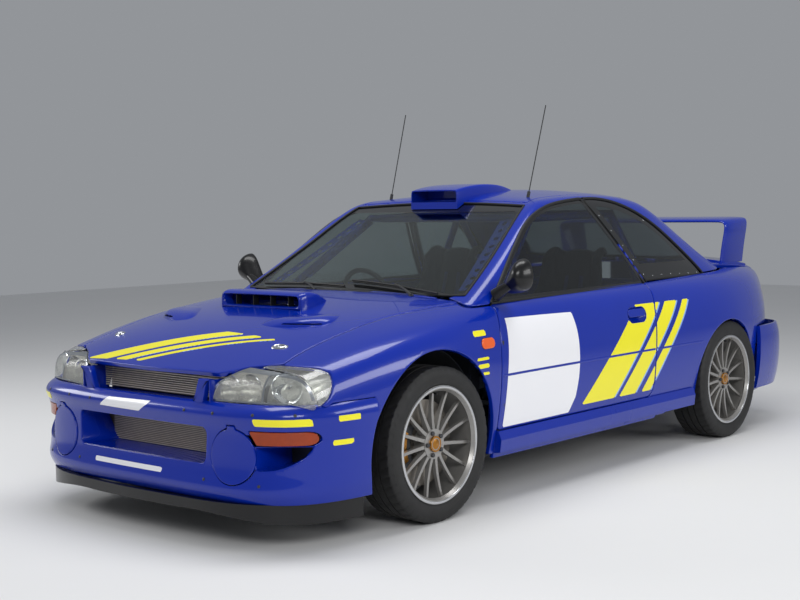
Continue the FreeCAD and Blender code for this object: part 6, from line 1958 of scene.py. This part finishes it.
@dataclass
class Trim:
    """Small outside pieces: handles, ribs, repeaters, catches, wipers and mirrors.

    A wiper is the plan of its pivot and of its blade's two ends.
    """

    forms: Forms
    handle: tuple = (.303, .742)
    handle_half: float = .046
    handle_radius: float = .036
    dish_overlap: float = .004
    flap_rise: float = .010
    flap_half: float = .058
    flap_radius: float = .017
    rib_level: tuple = (.5535, .5625)
    repeater: tuple = (-.941, .708)
    repeater_half: float = .026
    repeater_radius: float = .0195
    catch: tuple = (.506, -1.828)
    catch_turn: float = 20.0
    wiper_blades: tuple = (((.455, -.958), (.015, -.872), (.560, -.905)),
                           ((-.120, -.975), (-.585, -.872), (.010, -.920)))
    mirror_line: tuple = ((.772, .912), (.790, .950), (.819, 1.005), (.845, 1.046),
                          (.875, 1.062), (.903, 1.050), (.921, 1.015), (.924, .970),
                          (.909, .934), (.878, .916), (.835, .907), (.796, .905),
                          (.772, .912))
    mirror_middle: tuple = (.880, .985)
    mirror_back: float = -.695
    mirror_depth: float = .085
    mirror_foot: tuple = ((.765, -.760, .900), (.800, -.755, .925), (.835, -.750, .945))
    mirror_foot_radii: tuple = (.030, .024, .020)
    rear_plate: tuple = ((-.26, 2.148, .34), (.26, 2.158, .45))

    def oval(self, y: float, z: float, half: float, radius: float) -> Field:
        """Long round region on the left flank."""
        return both(lambda p: np.hypot(np.maximum(np.abs(p[:, 1] - y) - half, 0),
                                       p[:, 2] - z) - radius, slab(0, 0, 1))

    def handle_region(self) -> Field:
        """Rounded recess of the door handle."""
        return self.oval(*self.handle, self.handle_half, self.handle_radius)

    def build(self) -> None:
        """Make every piece."""
        self.handles()
        self.ribs()
        self.repeaters()
        self.catches()
        self.wipers()
        self.mirrors()
        add("blank_rear_plate", brick(*self.rear_plate, .001), WHITE, "chassis")

    def handles(self) -> None:
        """Dished recess and flap on each door."""
        hull = self.forms.hull
        y, z = self.handle
        angle = np.linspace(0, 2 * math.pi, 48, endpoint=False)
        share = np.linspace(1, .02, 8)
        radius = self.handle_radius + self.dish_overlap
        ends = np.sign(np.cos(angle)) * np.minimum(np.abs(np.cos(angle)) * 4, 1)
        reach = self.handle_half * ends + radius * np.cos(angle)
        points, normals = hull.flank((y + share[:, None] * reach).ravel(),
                                     (z + share[:, None] * (radius * np.sin(angle))).ravel())
        depth = .006 + .020 * np.repeat(1 - share ** 3, len(angle))
        grid = (points - normals * depth[:, None]).reshape(len(share), len(angle), 3)
        dish = walled(facing(sheet_grid(grid, close_v=True), (1, 0, 0)), .002, .0005, 1)
        flap = self.oval(y, z + self.flap_rise, self.flap_half, self.flap_radius)
        flap = walled(trimmed(hull, flap, .006, y - .10, y + .10, .0, .45, .001), .007,
                      .0025)
        for side in ("left", "right"):
            for name, piece in (("dish", dish), ("flap", flap)):
                add(f"handle_{name}_{side}", on_side(piece, side), PAINT, f"door_{side}")

    def ribs(self) -> None:
        """Low rib along the doors and rear quarters."""
        f = self.forms
        level = slab(2, *self.rib_level)
        door = both(level, grown(f.door.field, -.010), f.left())
        quarter = both(level, grown(f.quarter_region(), -.010))
        door, quarter = [
            walled(trimmed(f.hull, region, .008, station(low), station(high), .0, v, .0012),
                   .004, .002)
            for region, low, high, v in ((door, .17, .70, .4), (quarter, .66, .88, .3))]
        add_each("door_rib", door, PAINT, "door")
        add("quarter_ribs", pair(quarter), PAINT, "chassis")

    def repeaters(self) -> None:
        """Oval side repeaters on black bases."""
        y, z = self.repeater
        for name, grow, lift, wall, edge, finish in (
                ("bases", .004, .0012, .004, .001, BLACK_PLASTIC),
                ("lenses", 0, .0055, .006, .003, ORANGE)):
            region = self.oval(y, z, self.repeater_half, self.repeater_radius + grow)
            patch = trimmed(self.forms.hull, region, .004, y - .08, y + .08, .0, .45, lift)
            add(f"repeater_{name}", pair(walled(patch, wall, edge)), finish, "chassis")

    def catches(self) -> None:
        """Bonnet catches: an oval plate, a raised ring and its pin."""
        plate = prism(disc_line((0, 0), .036, 32, .62), View.PLAN, -.002, .0025, .001)
        ring = tube(np.array([(.026 * math.cos(a), .014 * math.sin(a), .004)
                              for a in np.linspace(0, 2 * math.pi, 33)]), .0030, 8, False)
        pin = prism(disc_line((0, 0), .0065, 16), View.PLAN, .0, .010, .001)
        one = joined(plate, ring, pin)
        x, y = self.catch
        pieces = []
        for side in (1, -1):
            (point,), (normal,) = self.forms.hull.crown(side * x, y)
            turn = side * math.radians(self.catch_turn)
            along = np.cross([-math.sin(turn), math.cos(turn), 0], normal)
            pieces.append(onto(one, point, along, normal))
        add("bonnet_catches", joined(*pieces), CHROME, "bonnet")

    def wipers(self) -> None:
        """Two wipers parked along the foot of the windscreen."""
        crown = self.forms.canopy.crown
        pieces = []
        for pivot, start, end in self.wiper_blades:
            points, normals = crown(*np.linspace(start, end, 24).T)
            (foot,), (up,) = crown(*pivot)
            middle = points[12] + normals[12] * .020
            knee = (foot + middle) / 2 + up * .024
            pieces += [tube(points + normals * .006, .0035, 8),
                       tube(points + normals * .015, .0045, 8),
                       tube(np.array([foot, foot + up * .032]), .011, 12),
                       tube(curve_through([foot + up * .030, knee, middle], .02), .0065, 8)]
        add("wipers", joined(*pieces), BLACK_PLASTIC, "chassis")

    def mirrors(self) -> None:
        """Teardrop mirror shells, each with its glass.

        A loop drawn in front view shrinks to its middle while its depth follows a
        quarter circle.
        """
        loop = curve_through(self.mirror_line, .006)[:-1]
        middle, back = np.array(self.mirror_middle), self.mirror_back
        rows = []
        for angle in np.linspace(0, 1, 16) * math.pi / 2:
            flat = middle + (loop - middle) * max(math.cos(angle), .003)
            y = np.full(len(loop), back - self.mirror_depth * math.sin(angle))
            rows.append(np.stack([flat[:, 0], y, flat[:, 1]], axis=1))
        shell = walled(facing(sheet_grid(np.array(rows), close_v=True), (0, -1, 0)), .004,
                       .001, 2)
        foot = tube(self.mirror_foot, self.mirror_foot_radii, 16)
        glass = prism(middle + (loop - middle) * .93, View.FRONT, back - .010, back - .006)
        shell = joined(shell, foot)
        for side in ("left", "right"):
            add(f"mirror_shell_{side}", on_side(shell, side), CARBON, f"door_{side}",
                [f"mirror_{side}"])
            add(f"mirror_glass_{side}", on_side(glass, side), CHROME, f"door_{side}")


@dataclass
class Wheels:
    """Treaded tyres, rim lips, caps, nuts and calipers."""

    turns: int = 288
    cuts: int = 48
    groove_depth: float = .0055
    lip_x: float = .0975
    cap_x: float = .074
    grooves: tuple = (-.040, 0, .040)
    groove_sides: tuple = (-.0042, -.0030, .0030, .0042)
    wall: tuple = ((.90, RIM_RADIUS + .0005), (.935, .250), (.955, .253), (.97, .2575),
                   (.975, .262), (.990, .270), (.998, .278), (1.0, .286), (.990, .295),
                   (.965, .303), (.962, .3045), (.935, .311), (.90, .3165), (.865, .3200))

    def build(self) -> None:
        """Make the pieces of every wheel."""
        valve = tube(((.058, .0, .213), (.082, .0, .207)), .0035, 8)
        tread = ("tyre_tread", self.tyre(), TYRE_RUBBER)
        others = (("rim_lip", self.lip(), POLISHED), ("hub_cap", self.cap(), CALIPER),
                  ("wheel_nuts", self.nuts(), STEEL), ("valve", valve, BLACK_PLASTIC))
        for end, y in (("front", FRONT_AXLE), ("rear", REAR_AXLE)):
            for side in ("left", "right"):
                for name, patch, finish in (tread, *others):
                    tyre = name == tread[0]
                    placed = on_side(patch.moved((WHEEL_X, y, TYRE_RADIUS)), side)
                    add(f"{name}_{end}_{side}", placed, finish, f"wheel_{end}_{side}",
                        [f"tyre_{end}_{side}"] if tyre else [])
        self.calipers()

    def tyre(self) -> Patch:
        """Tyre about its own centre: a section turned about the axle, cut by grooves.

        Three grooves run round, and slanted cuts cross the shoulders: the radius drops by
        the groove's depth where the place across the tread or the angle falls in one.
        """
        half = TYRE_WIDTH / 2
        tread = half - .018
        sides = np.array([g + d for g in self.grooves for d in self.groove_sides])
        across = np.unique(np.concatenate([np.linspace(-tread, tread, 25), sides]))
        wall = [(half * share, radius) for share, radius in self.wall]
        left = [(-a, r) for a, r in wall]
        crown = [(a, TYRE_RADIUS - .0012 * (a / tread) ** 2) for a in across]
        section = np.array(left + crown + wall[::-1] + [(-half * .90, RIM_RADIUS + .0005)])
        place = np.abs(section[:, 0])
        angle = np.linspace(0, 2 * math.pi, self.turns, endpoint=False)
        a = np.broadcast_to(section[:, 0], (self.turns, len(section)))
        r = np.broadcast_to(section[:, 1], (self.turns, len(section))).copy()
        on_tread = np.zeros(len(section), bool)
        on_tread[len(left):len(left) + len(crown)] = True
        ring = on_tread & (np.abs(((place + .020) % .040) - .020) < .0032) & (place < .045)
        r[:, ring] -= self.groove_depth
        step = self.turns // self.cuts
        shoulder = (section[:, 1] > .3035) & (place > .047)
        shift = np.round(place / .016).astype(int)
        row = np.arange(self.turns)[:, None]
        cut = ((row + shift) % step == 0) & shoulder
        centre = on_tread & (place < .036) & (place > .006)
        cut |= ((row + 2 * shift) % (2 * step) == 0) & centre
        r = np.where(cut, r - self.groove_depth * .7, r)
        grid = np.stack([a, r * np.cos(angle)[:, None], r * np.sin(angle)[:, None]], axis=-1)
        return sheet_grid(grid, close_u=True)

    def lip(self) -> Patch:
        """Polished outer edge of the rim."""
        x = self.lip_x
        return revolved([(x - .010, .2300), (x - .002, .2312), (x + .0012, .2330),
                         (x + .0022, .2380), (x + .0012, .2430), (x - .004, .2436)], 96)

    def cap(self) -> Patch:
        """Bronze ring and domed cap over the hub."""
        x = self.cap_x
        return revolved([(x - .010, .0335), (x - .001, .0335), (x + .001, .0320),
                         (x + .001, .0260), (x - .001, .0250), (x - .0005, .0230),
                         (x + .0025, .0150), (x + .0035, .0001)], 48)

    def nuts(self) -> Patch:
        """Five hexagonal nuts round the hub."""
        angles = [2 * math.pi * (k + .5) / 5 for k in range(5)]
        return joined(*[
            prism(disc_line((.047 * math.cos(a), .047 * math.sin(a)), .0095, 6), View.SIDE,
                  .060, .074, .0012) for a in angles])

    def calipers(self) -> None:
        """Finned caliper covers: slices of a ring, ahead of each axle."""
        back, face = HUB_FACE + .021, HUB_FACE + .0355
        section = ((back, .125), (face, .128), (face, .150), (face - .003, .153),
                   (face - .003, .158), (face, .161), (face, .190), (face - .003, .1975),
                   (back, .1985))
        for end, y, half in (("front", FRONT_AXLE, .083), ("rear", REAR_AXLE, .068)):
            reach = math.asin(half / .19)
            angle = np.linspace(math.pi - reach, math.pi + reach, 25)
            grid = [np.stack([np.full(25, x), y + radius * np.cos(angle),
                              TYRE_RADIUS + radius * np.sin(angle)], axis=1)
                    for x, radius in section]
            cover = walled(facing(sheet_grid(np.array(grid)), (1, 0, 0)), .002, .0005, 1)
            add_each(f"caliper_cover_{end}", cover, CALIPER,
                     "steering" if end == "front" else "chassis")


def swollen(patch: Patch, voxel: float, cap: float, frames: int = 20) -> Patch:
    """Closed patch remeshed evenly and blown up as cloth under pressure.

    Args:
        patch: the shape, a little smaller than the pad is to be.
        voxel: size of the even mesh's faces.
        cap: longest move of a point.
        frames: length of the simulation.

    Returns:
        The even mesh with each point moved.
    """
    mesh = bpy.data.meshes.new("pad_core")
    mesh.from_pydata(patch.points.tolist(), [],
                     [face[:3] if face[2] == face[3] else face
                      for face in patch.faces.tolist()])
    piece = bpy.data.objects.new("pad_core", mesh)
    scene = bpy.context.scene
    scene.collection.objects.link(piece)
    even = piece.modifiers.new("even", "REMESH")
    even.mode = "VOXEL"
    even.voxel_size = voxel
    graph = bpy.context.evaluated_depsgraph_get()
    piece.data = bpy.data.meshes.new_from_object(piece.evaluated_get(graph))
    piece.modifiers.clear()
    cloth = piece.modifiers.new("cloth", "CLOTH")
    cloth.settings.use_pressure = True
    cloth.settings.uniform_pressure_force = 4
    cloth.settings.effector_weights.gravity = 0
    start = coordinates(piece.data)
    for frame in range(1, frames + 1):
        scene.frame_set(frame)
    graph = bpy.context.evaluated_depsgraph_get()
    move = coordinates(piece.evaluated_get(graph).data) - start
    length = np.linalg.norm(move, axis=1, keepdims=True)
    LOG.info("cloth moved %d points by up to %.4f m", len(move), float(length.max()))
    move = move * np.minimum(1, cap / np.maximum(length, 1e-9))
    faces = np.empty(len(piece.data.loops), np.int32)
    piece.data.loops.foreach_get("vertex_index", faces)
    scene.frame_set(1)
    bpy.data.objects.remove(piece)
    return Patch(start + move, faces.reshape(-1, 4))


def coordinates(mesh: bpy.types.Mesh) -> Array:
    """Points of a mesh."""
    flat = np.empty(len(mesh.vertices) * 3, np.float32)
    mesh.vertices.foreach_get("co", flat)
    return flat.reshape(-1, 3).astype(float)


@dataclass
class Cabin:
    """Bucket seats with their belts."""

    hip: float = station(.66)
    base: float = BELT * .222 + .0123
    inner: float = .177
    width: float = .460
    rows: int = 150
    columns: int = 70
    profile: tuple = ((-.470, .060), (-.465, .130), (-.430, .158), (-.320, .158),
                      (-.180, .134), (-.112, .148), (-.075, .250), (-.045, .380),
                      (-.012, .520), (.030, .690), (.052, .800), (.070, .842), (.105, .846))
    channels: tuple = (.16, .23, .30, .46, .53, .60, .67)
    seam_depth: float = .0055

    def build(self) -> None:
        """Make both seats and their belts."""
        seat = self.seat()
        for side, patch in (("left", seat), ("right", seat.mirrored())):
            made = add(f"bucket_seat_{side}", patch, SEAT_CLOTH, "chassis",
                       ["seats"] if side == "left" else [])
        add("harness_belts", pair(self.belts()), WEBBING, "chassis")

    def spine(self, count: int) -> Array:
        """Side view of the seat's middle, from the cushion's front edge to the head."""
        return evenly(curve_through(self.profile, .006), count)

    def front(self, rise: float = 0.0) -> tuple[Array, Array]:
        """Padded face of the seat and its normals.

        The middle follows the spine, and the sides rise as bolsters.
        """
        line = self.spine(self.rows)
        tangent = unit(np.gradient(line, axis=0))
        normal = np.stack([-tangent[:, 1], tangent[:, 0]], axis=1)
        s = np.linspace(0, 1, self.rows)[:, None]
        t = np.linspace(-1, 1, self.columns)[None]
        edge = np.clip((np.abs(t) - .52) / .36, 0, 1)
        height = np.interp(s, (0, .10, .30, .42, .60, .72, .80, .93, 1),
                           (.0, .055, .070, .085, .125, .110, .070, .075, .0))
        crown = .010 * np.clip(1 - (t / .5) ** 2, 0, 1)
        lift = edge * edge * (3 - 2 * edge) * height + crown + rise
        narrow = np.interp(s, (0, .30, .42, .70, .80, .95, 1), (.97, 1, .98, 1, .84, .74, .66))
        x = self.inner + self.width / 2 + t * narrow * self.width / 2 * .985
        y = self.hip + line[:, :1] + normal[:, :1] * lift
        z = self.base + line[:, 1:] + normal[:, 1:] * lift
        points = np.stack([np.broadcast_to(x, lift.shape), y, z], axis=-1)
        flat = np.stack([np.zeros(self.rows), normal[:, 0], normal[:, 1]], axis=1)
        return points, np.broadcast_to(flat[:, None], points.shape)

    def core(self, rise: float) -> Patch:
        """Closed seat without its seams: the padded face, and its back behind it."""
        points, normals = self.front(rise)
        s = np.linspace(0, 1, self.rows)[:, None, None]
        t = np.linspace(-1, 1, self.columns)[None, :, None]
        thick = .030 + .035 * (1 - t * t) * np.sin(math.pi * np.clip(s, .05, .95))
        edge = np.clip((np.abs(t) - .60) / .40, 0, 1) ** 2
        patch = facing(sheet_grid(points), normals.reshape(-1, 3))
        back = points - normals * (thick + .5 * edge * thick)
        shell = walled(patch, .02, .008, 3)
        inner = shell.points[-len(patch.points):]
        keep = np.ones(len(patch.points), bool)
        keep[np.unique(rim_edges(patch.faces))] = False
        inner[keep] = back.reshape(-1, 3)[keep]
        return shell

    def seat(self) -> Patch:
        """Seat swollen as cloth, then sewn: seams beside the middle, channels across it."""
        patch = with_normals(swollen(self.core(-.004), .007, .008))
        line = self.spine(self.rows)
        local = patch.points[:, 1:] - [self.hip, self.base]
        near = np.empty(len(local), int)
        for start in range(0, len(local), CHUNK // 2):
            part = local[start:start + CHUNK // 2]
            near[start:start + CHUNK // 2] = ((part[:, None] - line) ** 2).sum(2).argmin(1)
        tangent = unit(np.gradient(line, axis=0))
        on_face = (-tangent[near, 1] * patch.normals[:, 1]
                   + tangent[near, 0] * patch.normals[:, 2]) > .35
        run = near / (self.rows - 1) + ((local - line[near]) * tangent[near]).sum(1) / 1.35
        t = np.abs(patch.points[:, 0] - self.inner - self.width / 2) / (self.width / 2)
        groove = np.exp(-((t - .50) / .030) ** 2)
        for place in self.channels:
            groove += np.exp(-((run - place) / .006) ** 2) * (t < .49)
        sunk = (groove * on_face * self.seam_depth)[:, None]
        return Patch(patch.points - patch.normals * sunk, patch.faces)

    def belts(self) -> Patch:
        """Shoulder and lap belts that lie on the left seat's face."""
        points, normals = self.front(.0075)
        shoulder, lap = np.s_[50:128], np.s_[38:45]
        made = []
        for part in ((shoulder, np.s_[24:29]), (shoulder, np.s_[41:46]), (lap, np.s_[4:66])):
            patch = facing(sheet_grid(points[part]), normals[part].reshape(-1, 3))
            made.append(walled(patch, .003, .001, 1))
        buckle = points[41, 35] + normals[41, 35] * .004
        made.append(brick(buckle - [.028, .022, .008], buckle + [.028, .022, .010], .004))
        return joined(*made)


@dataclass
class Carried:
    """CAD nodes that keep their own shape and get a better finish."""

    frame: dict

    def build(self) -> None:
        """Dress each node."""
        wheels = [(finish, f"{kind}_{end}_{side}") for side in ("left", "right")
                  for end in ("front", "rear")
                  for kind, finish in (("rim", GUNMETAL), ("disc", DISC_IRON))]
        for finish, *names in (
                (PAINT, "tail_panel", "rear_bumper", "side_skirts", "roof_scoop",
                 "rear_wing", "boot_lid"),
                (CARBON, "splitter"),
                (BLACK_PLASTIC, "scuttle", "aerials", "dashboard"),
                (UNDERBODY, "floor_pan", "front_frame", "wheel_housings"),
                (RED_LENS, "tail_lamps"),
                (CORE, "cooler_cores"),
                (CAGE_PAINT, "roll_cage"),
                (STEEL, "engine_block", "front_axle", "rear_axle", "knuckle_left",
                 "knuckle_right"),
                (EXHAUST, "exhaust"), *wheels):
            for name in names:
                mesh = self.frame["nodes"][name].data
                mesh.materials.clear()
                mesh.materials.append(finish.build())


@dataclass
class Studio:
    """Pale floor, soft lights and the fitted camera."""

    eye: tuple[float, float, float] = (4.3287, -5.4926, 1.2981)
    yaw: float = 40.02
    pitch: float = 3.44
    roll: float = -.74
    lens: float = 60.42
    shift: tuple[float, float] = (-.0301, -.01675)
    floor_colour: str = "E4E4E4"
    floor_half: float = 14.0
    backdrop: str = "D8DCE2"
    backdrop_strength: float = .42
    softboxes: tuple = (("key_softbox", (4.6, -5.4, 3.4), 3.6, 1.6, 150),
                        ("top_softbox", (.4, -.4, 5.2), 5.0, 1.8, 170),
                        ("side_softbox", (6.2, 1.6, 2.4), 4.0, 1.4, 110),
                        ("fill_softbox", (-5.0, -3.5, 3.0), 3.0, 1.6, 90))

    def build(self) -> None:
        """Make the camera, the floor, the lights and the backdrop."""
        self.camera()
        self.floor()
        for lamp in self.softboxes:
            self.lamp(*lamp)
        world = bpy.data.worlds.new("studio")
        world.use_nodes = True
        back = world.node_tree.nodes["Background"]
        back.inputs["Color"].default_value = linear(self.backdrop)
        back.inputs["Strength"].default_value = self.backdrop_strength
        bpy.context.scene.world = world
        bpy.context.scene.view_settings.view_transform = "Standard"

    def camera(self) -> None:
        """Camera with its axes worked out from yaw, pitch and roll."""
        a, e, r = (math.radians(x) for x in (self.yaw, self.pitch, self.roll))
        back = np.array([math.sin(a) * math.cos(e), -math.cos(a) * math.cos(e), math.sin(e)])
        right = np.array([math.cos(a), math.sin(a), 0])
        up = np.cross(back, right)
        matrix = np.eye(4)
        matrix[:3, 0] = math.cos(r) * right + math.sin(r) * up
        matrix[:3, 1] = -math.sin(r) * right + math.cos(r) * up
        matrix[:3, 2] = back
        matrix[:3, 3] = self.eye
        data = bpy.data.cameras.new("camera")
        data.lens = self.lens
        data.sensor_width = 36.0
        data.shift_x, data.shift_y = self.shift
        made = bpy.data.objects.new("camera", data)
        bpy.context.scene.collection.objects.link(made)
        made.matrix_world = Matrix(matrix.tolist())
        bpy.context.scene.camera = made

    def floor(self) -> None:
        """Plain pale floor."""
        line = np.linspace(-self.floor_half, self.floor_half, 3)
        grid = np.stack([*np.meshgrid(line, line, indexing="ij"), np.zeros((3, 3))], axis=-1)
        patch = sheet_grid(grid)
        mesh = bpy.data.meshes.new("studio_floor")
        mesh.from_pydata(patch.points.tolist(), [], patch.faces.tolist())
        made = bpy.data.objects.new("studio_floor", mesh)
        material = Finish("matt_studio_floor", self.floor_colour, "E1E1E1", .75,
                          Texture.GRAIN, 2.0, .01, spread=900).build()
        mesh.materials.append(material)
        bpy.context.scene.collection.objects.link(made)

    def lamp(self, name: str, place: Sequence[float], width: float, height: float,
             power: float) -> None:
        """Area light that faces the car."""
        data = bpy.data.lights.new(name, "AREA")
        data.shape = "RECTANGLE"
        data.size, data.size_y = width, height
        data.energy = power
        made = bpy.data.objects.new(name, data)
        made.location = place
        aim = Vector((0, 0, .5)) - Vector(place)
        made.rotation_mode = "QUATERNION"
        made.rotation_quaternion = aim.to_track_quat("-Z", "Y")
        bpy.context.scene.collection.objects.link(made)


def main() -> None:
    """Build the car's looks around its CAD frame."""
    logging.basicConfig(level=logging.INFO, format="%(message)s")
    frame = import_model()
    forms = Forms()
    Studio().build()
    Carried(frame).build()
    Bodywork(forms).build()
    Nose(forms).build()
    Lamps(forms).build()
    Trim(forms).build()
    Glasshouse(forms).build()
    Livery(forms).build()
    Wheels().build()
    Cabin().build()


if __name__ == "__main__":
    main()
